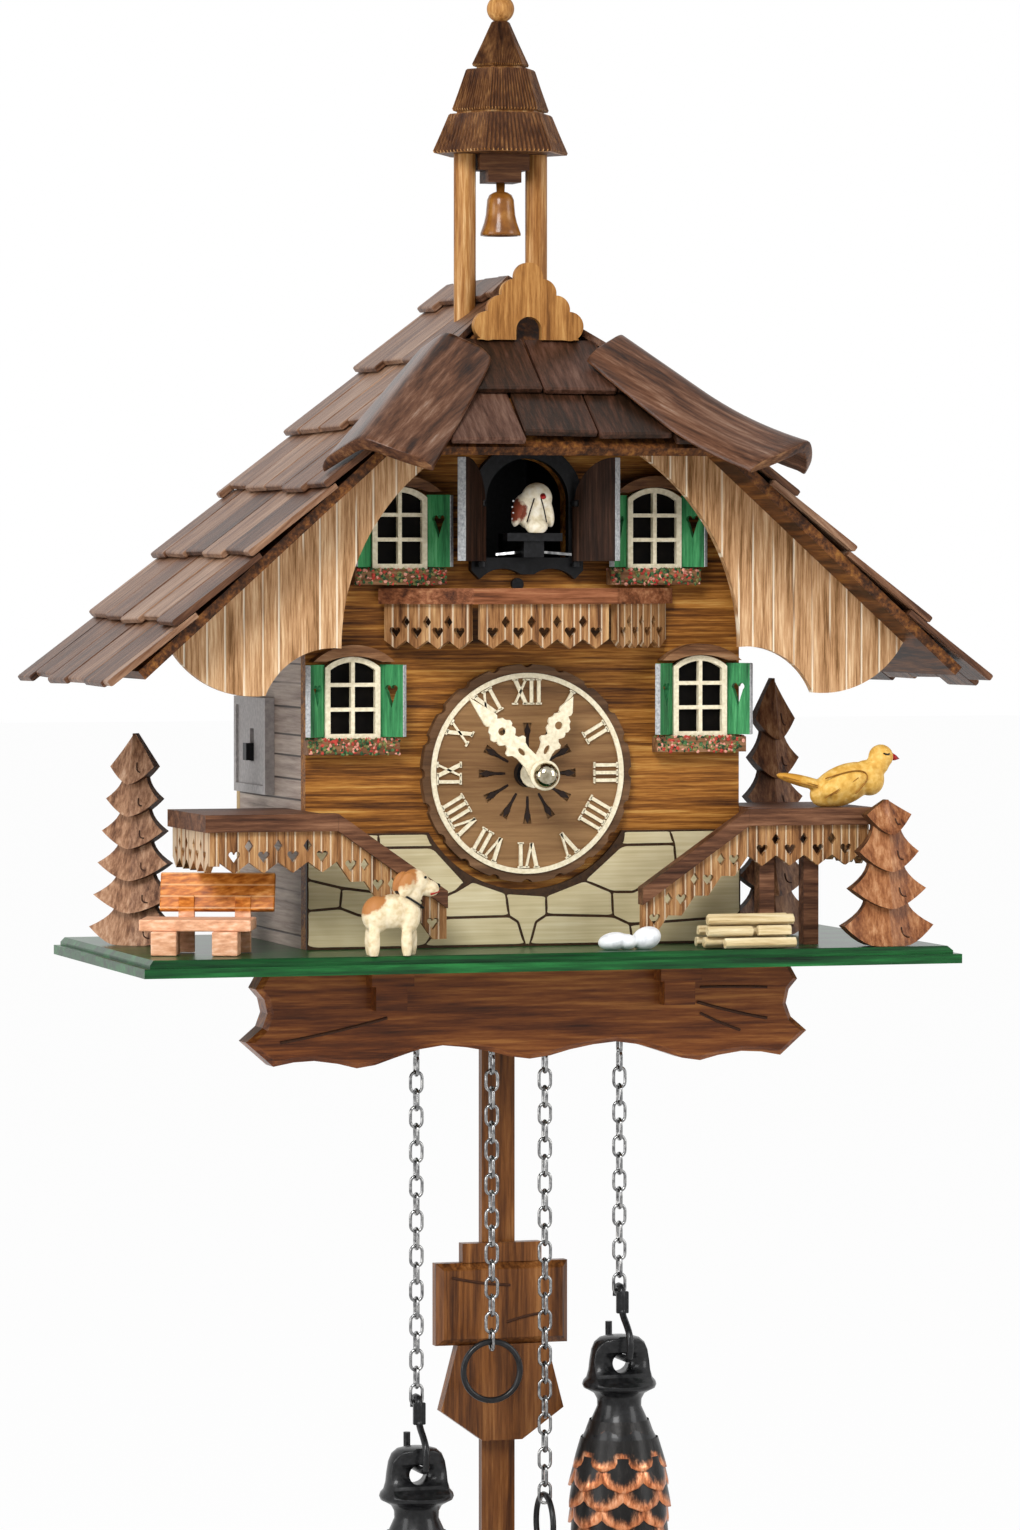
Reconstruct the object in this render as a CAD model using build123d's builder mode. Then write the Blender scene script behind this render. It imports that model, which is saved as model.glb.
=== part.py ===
from build123d import *
import os
from math import asin, atan, cos, radians, sin, sqrt, tan

# Chalet cuckoo clock with a quartz movement, in millimetres.
# X points to the viewer's right, Y into the wall behind the clock and Z up.
# The origin is the middle of the hanging hole, on the plane of the wall.
# "Ahead" is a distance in front of the front wall's face, "back" one behind it,
# and every height is counted from the top of the base plate.

# Gaps
SEAT = 0.05
RUN = 0.06
FREE = 0.3

# Case
CASE_WIDTH = 130.0
CASE_DEPTH = 80.0
WALL = 5.0
BACK_WALL = 4.0
HANG_HEIGHT = 120.0
HANG_RADIUS = 4.0
ACCESS_WIDTH = 64.0
ACCESS_LOW = 20.0
ACCESS_HIGH = 80.0

# Base plate and apron
BASE_WIDTH = 241.0
BASE_AHEAD = 36.3
BASE_THICK = 4.9
BASE_LIP = 2.7
BASE_STEP = 2.0
BASE_CHAMFER = 1.3
SLOT_WIDTH = 26.0
SLOT_DEPTH = 18.0
APRON_AHEAD = 7.0
APRON_THICK = 10.0
APRON_HALF = 83.9
APRON_DROP = 33.6
APRON_CHAMFER = 1.5
BLOCK_OUT = 43.0
BLOCK_WIDTH = 12.4
BLOCK_DEPTH = 7.0
BLOCK_HEIGHT = 12.0
BLOCK_STEP = 5.0
BLOCK_INSET = 1.6
PEG_RADIUS = 0.8

# Roof
PITCH = radians(41.8)
RIDGE_HEIGHT = 184.6
ROOF_HALF = 119.4
ROOF_AHEAD = 33.2
ROOF_BOARD = 3.0
HIP_HALF = 49.5
HIP_APEX_BACK = 16.3
HIP_JOINT = 0.6
SHINGLE = 2.0
SHINGLE_LENGTH = 31.5
SHINGLE_LAP = 0.1
SHINGLE_STEP = 4.0
SHINGLE_JOINT = 0.5
SHINGLE_OVERHANG = 12.0
ROW_PITCH = 27.5
ROW_COUNT = 7
ROW_SHINGLES = 5
ROOF_LAP = 2.0
HIP_ROW_PITCH = 21.0
HIP_ROW_COUNT = 2
CAP_THICK = 3.2
CAP_TOP_OUT = 21.4
CAP_TOP_LEAF = 14.0
CAP_MID_LEAF = 17.0
CAP_END_LEAF = 20.0
CAP_END_LIFT = 2.0
CAP_OVERHANG = 9.0
CREST_AHEAD = 2.0
CREST_THICK = 2.6
CREST_HALF = 17.6
CREST_LOW = 173.8
CREST_HIGH = 195.2
CREST_NOTCH = 3.8
GABLE_AHEAD = 18.0
GABLE_THICK = 3.0
GABLE_ARCH_HALF = 22.0
GABLE_ARCH_HIGH = 145.0
GABLE_FOOT = 86.0
GABLE_INSET = 5.8
GABLE_LOBE = 22.1
GABLE_REACH = 49.8

# Bell tower
TOWER_BACK = 24.0
POST_OUT = 10.8
POST_RADIUS = 3.2
TOWER_ROOF_LOW = 228.4
TIER_HEIGHTS = (12.25, 13.05, 13.2)
TIER_LOW_RADII = (20.4, 14.6, 8.6)
TIER_HIGH_RADII = (15.7, 10.5, 2.8)
FINIAL_RADIUS = 4.0
BEAM_WIDTH = 15.0
BEAM_HEIGHT = 4.7
BEAM_STEP_WIDTH = 10.0
BEAM_STEP_HEIGHT = 3.5
BEAM_DEPTH = 9.0
BELL_HEIGHT = 12.6
BELL_LOW_RADIUS = 5.9
BELL_HIGH_RADIUS = 3.6
BELL_STEM_RADIUS = 1.4
BELL_STEM = 2.6

# Dial, hands and movement
DIAL_HEIGHT = 49.8
DIAL_RADIUS = 31.3
DIAL_WAVE = 0.9
DIAL_WAVES = 20
DIAL_THICK = 2.9
RING_RADIUS = 28.8
RING_INNER = 27.4
RING_THICK = 0.6
DART_COUNT = 12
DART_INNER = 7.0
DART_OUTER = 14.5
DART_WIDTH = 2.6
DART_DEPTH = 0.8
BUSH_RADIUS = 4.0
BUSH_AHEAD = 6.0
TUBE_RADIUS = 2.5
ARBOR_RADIUS = 1.5
HOUR_AHEAD = 9.0
MINUTE_AHEAD = 18.5
HAND_THICK = 1.2
HOUR_LENGTH = 24.7
MINUTE_LENGTH = 31.0
HOUR_ANGLE = 27.7
MINUTE_ANGLE = -45.0
NUT_RADIUS = 3.0
MOVEMENT_SIZE = 56.0
MOVEMENT_DEPTH = 18.0
CELL_RADIUS = 7.1
CELL_LENGTH = 50.0
CELL_RISE = 16.5

# Cuckoo
OPENING_WIDTH = 24.6
OPENING_LOW = 111.6
OPENING_SPRING = 127.7
SURROUND_HALF = 16.7
SURROUND_LOW = 105.4
SURROUND_THICK = 3.0
DOOR_WIDTH = 14.0
DOOR_THICK = 2.6
DOOR_LOW = 110.6
DOOR_SPRING = 126.2
DOOR_PIN = 0.6
DOOR_LUG = 1.3
DOOR_OPEN = 130.0
BOX_WALL = 1.5
BOX_HALF = 13.0
BOX_HIGH = 140.5
BOX_DEPTH = 36.0
CARRIAGE_AHEAD = 10.5
CARRIAGE_BACK = 16.0
PLATFORM_WIDTH = 16.4
PLATFORM_DEPTH = 4.5
PLATFORM_LOW = 116.3
PLATFORM_HIGH = 118.6
STEM_WIDTH = 6.0
BIRD_HEIGHT = 14.6
BIRD_RADIUS = 5.0
WIRE_RADIUS = 0.35
WIRE_REACH = 11.3
SENSOR_RADIUS = 1.75
SENSOR_AHEAD = 1.6
SENSOR_OUT = -2.4
SENSOR_HEIGHT = 104.0

# Windows
WINDOW_WIDTH = 16.2
WINDOW_HEIGHT = 23.4
WINDOW_RISE = 3.0
WINDOW_FRAME = 1.5
WINDOW_BAR = 1.1
PANE_THICK = 1.6
FRAME_THICK = 2.1
LOWER_WINDOW_OUT = CASE_WIDTH / 2 - 13.0
LOWER_WINDOW_SILL = 60.0
UPPER_WINDOW_OUT = CASE_WIDTH / 2 - 26.9
UPPER_WINDOW_SILL = 108.3
SHUTTER_WIDTH = 7.5
SHUTTER_HEIGHT = 20.6
SHUTTER_THICK = 1.6
SHUTTER_ANGLE = 44.0
LINTEL_HALF = 12.0
LINTEL_RISE = 3.4
LINTEL_THICK = 5.4
BOX_WIDTH = 27.0
BOX_TALL = 4.4
BOX_AHEAD = 5.0

# Balcony and stair rails
BALCONY_AHEAD = 19.0
BALCONY_HALF = 20.3
BALCONY_WALL_HALF = 42.4
BALCONY_CAP_LOW = 98.4
BALCONY_CAP_HIGH = 102.9
BALCONY_TIP = 85.7
CAP_WIDTH = 5.0
PICKET_THICK = 2.0
RAIL_AHEAD = 20.0
RAIL_OUT = 97.0
RAIL_BEND = 61.0
RAIL_END = 29.0
RAIL_BACK = 24.0
RAIL_CAP_LOW = 34.7
RAIL_CAP_HIGH = 39.6
RAIL_FALL = 22.2
RAIL_PICKET = 11.6
DECK_THICK = 2.5
POST_SIZE = 4.5
POST_PLACES = (68.0, 81.5)

# Stone-look plinth
PLINTH_HIGH = 33.0
PLINTH_THICK = 1.5
PLINTH_GAP = 2.2

# Side switch
SWITCH_BACK = 53.5
SWITCH_HEIGHT = 57.0
SWITCH_WIDTH = 37.0
SWITCH_TALL = 28.0
SWITCH_THICK = 2.8
KNOB_WIDTH = 4.0
KNOB_TALL = 5.0
KNOB_TRAVEL = 4.0
KNOB_OUT = 2.2

# Pendulum
PENDULUM_BACK = 28.0
PENDULUM_HEIGHT = 30.0
PENDULUM_PIN = 1.2
ROD_WIDTH = 10.0
ROD_THICK = 3.2
ROD_END = -182.0
BOB_HIGH = -87.8
BOB_LOW = -145.5
BOB_WIDTH = 40.0
BOB_THICK = 5.4

# Chains, rings and weights
CHAIN_BACK = 6.0
CHAIN_OUTER = 30.6
CHAIN_INNER = 8.0
CHAIN_HIGH = -9.0
LINK_PITCH = 5.0
LINK_WIRE = 0.9
LINK_WIDTH = 4.4
LINK_PLAY = 0.12
STUB_LINKS = 5
LEFT_WEIGHT_LINKS = 18
LEFT_RING_LINKS = 17
RIGHT_RING_LINKS = 26
RIGHT_WEIGHT_LINKS = 12
RING_LOOP_RADIUS = 8.5
RING_LOOP_WIRE = 1.7
HOOK_WIRE = 1.6
HOOK_REACH = 10.2
HOOK_DROP = 22.4
HOOK_TIP = 9.0
CONE_EYE_RADIUS = 2.9
CONE_EYE_DROP = 6.2

FRONT = -CASE_DEPTH
BASE_TOP = -HANG_HEIGHT


def face(ahead):
    """Upright plane parallel to the front wall, drawn in x and height."""
    return Plane(origin=(0, FRONT - ahead, BASE_TOP), x_dir=(1, 0, 0), z_dir=(0, -1, 0))


def level(height):
    """Flat plane at a height, drawn in x and back."""
    return Plane(origin=(0, FRONT, BASE_TOP + height), x_dir=(1, 0, 0), z_dir=(0, 0, 1))


def flank(x):
    """Upright plane square to the front wall, drawn in back and height."""
    return Plane(origin=(x, FRONT, BASE_TOP), x_dir=(0, 1, 0), z_dir=(1, 0, 0))


def place(x, back, height):
    """A point of the model from its x, back and height."""
    return (x, FRONT + back, BASE_TOP + height)


def under_roof(x):
    """Height of the roof boards' underside."""
    return RIDGE_HEIGHT - tan(PITCH) * abs(x)


def outline(*points):
    """A closed straight-sided face in the open sketch."""
    Polygon(*points, align=None)


def heart(x, z, width, height):
    """A heart cut out of the open sketch."""
    shoulder, dip = z + height * 0.14, z + height * 0.25
    lobe = width / 4 + (dip - shoulder) ** 2 / width
    with BuildLine() as edge:
        Line((x, z - height / 2), (x + width / 2, shoulder))
        ThreePointArc((x + width / 2, shoulder), (x + lobe, dip + lobe), (x, dip))
        ThreePointArc((x, dip), (x - lobe, dip + lobe), (x - width / 2, shoulder))
        Line((x - width / 2, shoulder), (x, z - height / 2))
    make_face(edge.edges(), mode=Mode.SUBTRACT)


def diamond(x, z, width, height):
    """A diamond cut out of the open sketch."""
    Polygon((x - width / 2, z), (x, z - height / 2), (x + width / 2, z), (x, z + height / 2), align=None,
            mode=Mode.SUBTRACT)


# Roof lines that the walls, boards and shingles share
HIP_EAVE = under_roof(HIP_HALF)
HIP_RUN = ROOF_AHEAD + HIP_APEX_BACK
HIP_PITCH = atan((RIDGE_HEIGHT - HIP_EAVE) / HIP_RUN)
SLOPE_LENGTH = ROOF_HALF / cos(PITCH)
ROW_TILT = (SHINGLE + SHINGLE_LAP) / ROW_PITCH
HIP_TILT = (SHINGLE + SHINGLE_LAP) / HIP_ROW_PITCH
HIP_SHINGLE = HIP_ROW_PITCH + SHINGLE_LENGTH - ROW_PITCH
HIP_LIFT = HIP_TILT * HIP_SHINGLE + SHINGLE + SEAT
HIP_TOP_HEAD = HIP_RUN / cos(HIP_PITCH) + ROOF_LAP - (HIP_ROW_COUNT - 1) * HIP_ROW_PITCH - HIP_SHINGLE


def on_slope(sign, run, lift):
    """Point in x and height on a side slope, run down from the ridge, lifted off the board's top."""
    up = ROOF_BOARD + lift
    return (sign * (run * cos(PITCH) + up * sin(PITCH)), RIDGE_HEIGHT - run * sin(PITCH) + up * cos(PITCH))


def on_hip(run, lift):
    """Point in back and height on the hip slope."""
    up = ROOF_BOARD + lift
    return (HIP_APEX_BACK - run * cos(HIP_PITCH) - up * sin(HIP_PITCH),
            RIDGE_HEIGHT - run * sin(HIP_PITCH) + up * cos(HIP_PITCH))


# Case: walls, back and base
WALL_HALF = CASE_WIDTH / 2


def gable_outline():
    outline((-WALL_HALF, SEAT), (WALL_HALF, SEAT), (WALL_HALF, under_roof(WALL_HALF) - SEAT),
            (0, RIDGE_HEIGHT - SEAT), (-WALL_HALF, under_roof(WALL_HALF) - SEAT))


def arched_opening(half, low, spring):
    """An opening with a round head, cut out of the open sketch."""
    with BuildLine() as edge:
        Polyline((half, spring), (half, low), (-half, low), (-half, spring))
        ThreePointArc((-half, spring), (0, spring + half), (half, spring))
    make_face(edge.edges(), mode=Mode.SUBTRACT)


with BuildPart() as front_wall:
    with BuildSketch(face(0)):
        gable_outline()
        arched_opening(OPENING_WIDTH / 2, OPENING_LOW, OPENING_SPRING)
        with Locations((0, DIAL_HEIGHT)):
            Circle(BUSH_RADIUS + SEAT, mode=Mode.SUBTRACT)
        with Locations((SENSOR_OUT, SENSOR_HEIGHT)):
            Circle(SENSOR_RADIUS + SEAT, mode=Mode.SUBTRACT)
    extrude(amount=-WALL)
    with BuildSketch(flank(-WALL_HALF)):
        outline(on_hip(0, -ROOF_BOARD - SEAT), on_hip(SLOPE_LENGTH, -ROOF_BOARD - SEAT),
                (-ROOF_HALF, ROOF_HALF * 3),
                (HIP_APEX_BACK, ROOF_HALF * 3))
    extrude(amount=CASE_WIDTH, mode=Mode.SUBTRACT)


def side_wall(sign):
    inner, outer = sign * (WALL_HALF - WALL), sign * WALL_HALF
    with BuildPart() as wall:
        with BuildSketch(face(-WALL - SEAT)):
            outline((inner, SEAT), (outer, SEAT), (outer, under_roof(outer) - SEAT),
                    (inner, under_roof(inner) - SEAT))
        extrude(amount=-(CASE_DEPTH - WALL - BACK_WALL - 2 * SEAT))
    return wall


left_wall = side_wall(-1)
right_wall = side_wall(1)

with BuildPart() as back_panel:
    with BuildSketch(face(BACK_WALL - CASE_DEPTH)):
        gable_outline()
        with Locations((0, HANG_HEIGHT)):
            Circle(HANG_RADIUS, mode=Mode.SUBTRACT)
        with Locations((0, (ACCESS_LOW + ACCESS_HIGH) / 2)):
            Rectangle(ACCESS_WIDTH, ACCESS_HIGH - ACCESS_LOW, mode=Mode.SUBTRACT)
    extrude(amount=-BACK_WALL)

BASE_DEPTH = BASE_AHEAD + CASE_DEPTH
with BuildPart() as base_plate:
    with BuildSketch(level(-BASE_THICK)):
        with Locations((0, CASE_DEPTH - BASE_DEPTH / 2)):
            Rectangle(BASE_WIDTH, BASE_DEPTH)
    extrude(amount=BASE_LIP)
    with BuildSketch(level(BASE_LIP - BASE_THICK)):
        with Locations((0, CASE_DEPTH - (BASE_DEPTH - BASE_STEP) / 2)):
            Rectangle(BASE_WIDTH - 2 * BASE_STEP, BASE_DEPTH - BASE_STEP)
    extrude(amount=BASE_THICK - BASE_LIP)
    chamfer(base_plate.faces().sort_by(Axis.Z)[-1].edges().sort_by(Axis.Y)[:-1], BASE_CHAMFER)
    with BuildSketch(level(0)):
        with Locations((0, PENDULUM_BACK)):
            Rectangle(SLOT_WIDTH, SLOT_DEPTH)
    extrude(amount=-BASE_THICK, mode=Mode.SUBTRACT)

# Apron board with its wavy lower edge, two blocks and four chain pegs
with BuildPart() as apron_board:
    with BuildSketch(face(APRON_AHEAD)):
        outline((0, -BASE_THICK - SEAT), (APRON_HALF - 6, -BASE_THICK - SEAT), (APRON_HALF - 2.8, -10.5),
                (APRON_HALF - 5.4, -13.5), (APRON_HALF - 6.3, -17.5), (APRON_HALF - 4.8, -21.5),
                (APRON_HALF, 8 - APRON_DROP), (APRON_HALF - 8, 1 - APRON_DROP), (70, 2.1 - APRON_DROP),
                (64, 2.4 - APRON_DROP), (57, 1.4 - APRON_DROP), (51.4, -APRON_DROP), (46, 0.8 - APRON_DROP),
                (40, 2.8 - APRON_DROP), (33, 5 - APRON_DROP), (26, 6 - APRON_DROP), (19, 5.3 - APRON_DROP),
                (12, 4 - APRON_DROP), (6, 2.4 - APRON_DROP), (0, 1.6 - APRON_DROP))
        mirror(about=Plane.YZ)
    extrude(amount=-APRON_THICK)
    front_edges = apron_board.faces().sort_by(Axis.Y)[0].edges().sort_by(Axis.Z)[:-1]
    chamfer(front_edges, APRON_CHAMFER)
    with BuildSketch(face(APRON_AHEAD - APRON_THICK)):
        with Locations(*[(sign * out, CHAIN_HIGH + LINK_PITCH / 2 - PEG_RADIUS - LINK_PLAY / 2)
                         for out in (CHAIN_INNER, CHAIN_OUTER) for sign in (-1, 1)]):
            Circle(PEG_RADIUS)
    extrude(amount=APRON_THICK - APRON_AHEAD - CHAIN_BACK - LINK_WIRE)
    for sign in (-1, 1):
        with BuildSketch(face(APRON_AHEAD + SEAT)):
            with Locations((sign * BLOCK_OUT, -BASE_THICK - SEAT - BLOCK_STEP / 2)):
                Rectangle(BLOCK_WIDTH, BLOCK_STEP)
        extrude(amount=BLOCK_DEPTH)
        with BuildSketch(face(APRON_AHEAD + SEAT)):
            with Locations((sign * BLOCK_OUT, -BASE_THICK - SEAT - (BLOCK_STEP + BLOCK_HEIGHT) / 2)):
                Rectangle(BLOCK_WIDTH - 2 * BLOCK_INSET, BLOCK_HEIGHT - BLOCK_STEP)
        extrude(amount=BLOCK_DEPTH - BLOCK_INSET)

# Roof boards, mitred at the ridge and along the two hips
def hip_zone(shift):
    """Upright prism in front of both hip lines, moved back by shift."""
    reach = 2.5
    with BuildPart() as zone:
        with BuildSketch(level(HIP_EAVE / 2)):
            outline((0, HIP_APEX_BACK + shift), (reach * HIP_HALF, HIP_APEX_BACK + shift - reach * HIP_RUN),
                    (-reach * HIP_HALF, HIP_APEX_BACK + shift - reach * HIP_RUN))
        extrude(amount=RIDGE_HEIGHT)
    return zone


hip_cut = hip_zone(SEAT)
hip_keep = hip_zone(-SEAT)
shingle_cut = hip_zone(HIP_JOINT)
shingle_keep = hip_zone(-HIP_JOINT)


def post_holes():
    """Clear the tower posts through the open roof part."""
    with Locations(*[place(sign * POST_OUT, TOWER_BACK, RIDGE_HEIGHT) for sign in (-1, 1)]):
        Cylinder(POST_RADIUS + SEAT, RIDGE_HEIGHT / 3, mode=Mode.SUBTRACT)


def roof_board(sign):
    with BuildPart() as board:
        with BuildSketch(face(ROOF_AHEAD)):
            outline((sign * SEAT, RIDGE_HEIGHT), on_slope(sign, SLOPE_LENGTH, -ROOF_BOARD),
                    on_slope(sign, SLOPE_LENGTH, 0), (sign * SEAT, RIDGE_HEIGHT + ROOF_BOARD / cos(PITCH)))
        extrude(amount=-(ROOF_AHEAD + CASE_DEPTH))
        add(hip_cut.part, mode=Mode.SUBTRACT)
        post_holes()
    return board


roof_board_left = roof_board(-1)
roof_board_right = roof_board(1)

with BuildPart() as roof_hip_board:
    with BuildSketch(flank(-HIP_HALF - ROOF_BOARD)):
        eave_run = HIP_RUN / cos(HIP_PITCH)
        outline((HIP_APEX_BACK, RIDGE_HEIGHT), on_hip(eave_run, -ROOF_BOARD), on_hip(eave_run, 0),
                (HIP_APEX_BACK, RIDGE_HEIGHT + ROOF_BOARD / cos(HIP_PITCH)))
    extrude(amount=2 * (HIP_HALF + ROOF_BOARD))
    add(hip_keep.part, mode=Mode.INTERSECT)


# Shingles lie in rows, each tilted by its own thickness over one row
def row_edges(low, high, row):
    """Joints along a row, moved by half a shingle on every second row."""
    width = (high - low) / ROW_SHINGLES
    edges = [low + width * step for step in range(ROW_SHINGLES + 1)]
    if row % 2:
        edges = [low] + [edge + width / 2 for edge in edges[:-1]] + [high]
    return edges


def butt_step(row, spot):
    """How much shorter than the longest of its row a shingle was split."""
    return SHINGLE_STEP * ((2 * row + 3 * spot) % 4) / 3


def shingle_slope(sign):
    with BuildPart() as shingles:
        for row in range(ROW_COUNT):
            head = SLOPE_LENGTH + SHINGLE_OVERHANG - row * ROW_PITCH - SHINGLE_LENGTH
            edges = row_edges(-ROOF_AHEAD - ROOF_LAP, CASE_DEPTH, row)
            for spot, (start, stop) in enumerate(zip(edges, edges[1:])):
                butt = head + SHINGLE_LENGTH - butt_step(row, spot)
                low, high = SEAT, SEAT + ROW_TILT * (butt - head)
                with BuildSketch(face(-start - SHINGLE_JOINT / 2)):
                    outline(on_slope(sign, head, low), on_slope(sign, butt, high),
                            on_slope(sign, butt, high + SHINGLE), on_slope(sign, head, low + SHINGLE))
                extrude(amount=-(stop - start - SHINGLE_JOINT))
        add(shingle_cut.part, mode=Mode.SUBTRACT)
        split(bisect_by=Plane.YZ.offset(sign * SEAT), keep=Keep.TOP if sign > 0 else Keep.BOTTOM)
        post_holes()
    return shingles


shingles_left = shingle_slope(-1)
shingles_right = shingle_slope(1)

with BuildPart() as shingles_hip:
    for row in range(HIP_ROW_COUNT):
        head = HIP_RUN / cos(HIP_PITCH) + ROOF_LAP - row * HIP_ROW_PITCH - HIP_SHINGLE
        edges = row_edges(-HIP_HALF, HIP_HALF, row)
        for spot, (start, stop) in enumerate(zip(edges, edges[1:])):
            butt = head + HIP_SHINGLE - butt_step(row, spot)
            low, high = SEAT, SEAT + HIP_TILT * (butt - head)
            with BuildSketch(flank(start + SHINGLE_JOINT / 2)):
                outline(on_hip(head, low), on_hip(butt, high), on_hip(butt, high + SHINGLE),
                        on_hip(head, low + SHINGLE))
            extrude(amount=stop - start - SHINGLE_JOINT)
    add(shingle_keep.part, mode=Mode.INTERSECT)

# Carved caps over the hips, angled leaves lofted along the hip line
HIP_LENGTH = sqrt(HIP_HALF ** 2 + HIP_RUN ** 2 + (RIDGE_HEIGHT - HIP_EAVE) ** 2)


def cap_plane(sign, run):
    """Section plane square to a hip line, with its own Y away from the roof."""
    down = Vector(sign * HIP_HALF, -HIP_RUN, HIP_EAVE - RIDGE_HEIGHT) * (1 / HIP_LENGTH)
    away = (Vector(sign * sin(PITCH), 0, cos(PITCH)) + Vector(0, -sin(HIP_PITCH),
                                                              cos(HIP_PITCH))).normalized()
    point = Vector(*place(0, HIP_APEX_BACK, RIDGE_HEIGHT)) + down * run
    return Plane(origin=point, x_dir=away.cross(down), z_dir=down)


LEAF_DROP = asin(sqrt((1 - cos(PITCH) * cos(HIP_PITCH)) / 2))
CAP_SEAT = (ROOF_BOARD + HIP_LIFT + SEAT) / cos(LEAF_DROP)
CAP_START = HIP_LENGTH * CAP_TOP_OUT / HIP_HALF
CAP_STATIONS = ((CAP_START, CAP_TOP_LEAF, 0), ((CAP_START + HIP_LENGTH) / 2, CAP_MID_LEAF, 0),
                (HIP_LENGTH + CAP_OVERHANG, CAP_END_LEAF, CAP_END_LIFT))


def hip_cap(sign, thick):
    with BuildPart() as cap:
        for run, leaf, lift in CAP_STATIONS:
            half, drop = leaf * cos(LEAF_DROP), leaf * sin(LEAF_DROP)
            low = CAP_SEAT + lift
            high = low + thick
            with BuildSketch(cap_plane(sign, run)):
                outline((0, low), (half, low - drop), (half, high - drop), (0, high),
                        (-half, high - drop), (-half, low - drop))
        loft(ruled=True)
    return cap


with BuildPart() as hip_caps:
    add(hip_cap(-1, CAP_THICK).part)
    add(hip_cap(1, CAP_THICK).part)

# Crest: scalloped shield on the hip, trimmed to the shingles
with BuildPart() as crest:
    step_out, step_down = CREST_HALF / 4, (CREST_HIGH - CREST_LOW) / 4.6
    with BuildSketch(face(CREST_AHEAD)):
        outline((-3.4 * step_out, CREST_LOW), (3.4 * step_out, CREST_LOW),
                (0.6 * step_out, CREST_HIGH - step_down),
                (-0.6 * step_out, CREST_HIGH - step_down))
        for step in range(4):
            with Locations(*[(sign * step * step_out * 0.92,
                              CREST_HIGH - step_down * (0.75 + step)) for sign in (-1, 1)]):
                Circle(step_out * 0.95)
        with Locations((0, CREST_LOW + 2.8)):
            Circle(CREST_NOTCH, mode=Mode.SUBTRACT)
        with Locations((0, CREST_LOW)):
            Rectangle(2 * CREST_NOTCH, 2 * 2.8, mode=Mode.SUBTRACT)
    extrude(amount=CREST_THICK)
    with BuildSketch(flank(-CREST_HALF)):
        outline(on_hip(HIP_TOP_HEAD, SHINGLE + 2 * SEAT),
                on_hip(HIP_TOP_HEAD + HIP_SHINGLE, HIP_LIFT + SEAT),
                on_hip(HIP_TOP_HEAD + HIP_SHINGLE, -SLOPE_LENGTH), on_hip(HIP_TOP_HEAD, -SLOPE_LENGTH))
    extrude(amount=2 * CREST_HALF, mode=Mode.SUBTRACT)
    add(hip_cap(-1, CAP_THICK + SEAT).part, mode=Mode.SUBTRACT)
    add(hip_cap(1, CAP_THICK + SEAT).part, mode=Mode.SUBTRACT)

# Gable panels: two planked boards hung under the roof, with an arch between them
with BuildPart() as gable_panels:
    with BuildSketch(face(GABLE_AHEAD - GABLE_THICK)):
        foot = CASE_WIDTH / 2 - GABLE_INSET
        inner, outer = foot + GABLE_LOBE, foot + GABLE_REACH
        head = (GABLE_ARCH_HALF, GABLE_ARCH_HIGH)
        haunch = (foot - 15, GABLE_ARCH_HIGH - 0.2915 * (GABLE_ARCH_HIGH - GABLE_FOOT))
        cusp = (inner, GABLE_FOOT - 13.2)
        tip = (outer, under_roof(outer) - SEAT)
        top = GABLE_ARCH_HIGH + 3
        with BuildLine():
            ThreePointArc(head, haunch, (foot, GABLE_FOOT))
            ThreePointArc((foot, GABLE_FOOT), (foot + 13.6, GABLE_FOOT - 3.1), cusp)
            ThreePointArc(cusp, (inner + 16.2, GABLE_FOOT - 10.2), tip)
            Polyline(tip, ((RIDGE_HEIGHT - SEAT - top) / tan(PITCH), top), (GABLE_ARCH_HALF, top), head)
        make_face()
        mirror(about=Plane.YZ)
    extrude(amount=GABLE_THICK)

# Bell tower
with BuildPart() as tower_posts:
    for sign in (-1, 1):
        foot = under_roof(sign * POST_OUT)
        with BuildSketch(level(foot)):
            with Locations((sign * POST_OUT, TOWER_BACK)):
                Circle(POST_RADIUS)
        extrude(amount=TOWER_ROOF_LOW - SEAT - foot)

with BuildPart() as tower_roof:
    low = TOWER_ROOF_LOW
    for tall, low_radius, high_radius in zip(TIER_HEIGHTS, TIER_LOW_RADII, TIER_HIGH_RADII):
        with BuildSketch(level(low)):
            with Locations((0, TOWER_BACK)):
                RegularPolygon(low_radius, 6)
        with BuildSketch(level(low + tall - SEAT)):
            with Locations((0, TOWER_BACK)):
                RegularPolygon(high_radius, 6)
        loft()
        low += tall
    with Locations(place(0, TOWER_BACK, low + FINIAL_RADIUS * 0.9)):
        Sphere(FINIAL_RADIUS)

BEAM_LOW = TOWER_ROOF_LOW - SEAT - BEAM_HEIGHT
with BuildPart() as bell_beam:
    with BuildSketch(face(BEAM_DEPTH / 2 - TOWER_BACK)):
        with Locations((0, BEAM_LOW + BEAM_HEIGHT / 2)):
            Rectangle(BEAM_WIDTH - 2 * SEAT, BEAM_HEIGHT)
        with Locations((0, BEAM_LOW - BEAM_STEP_HEIGHT / 2)):
            Rectangle(BEAM_STEP_WIDTH, BEAM_STEP_HEIGHT)
    extrude(amount=-BEAM_DEPTH)

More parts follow.
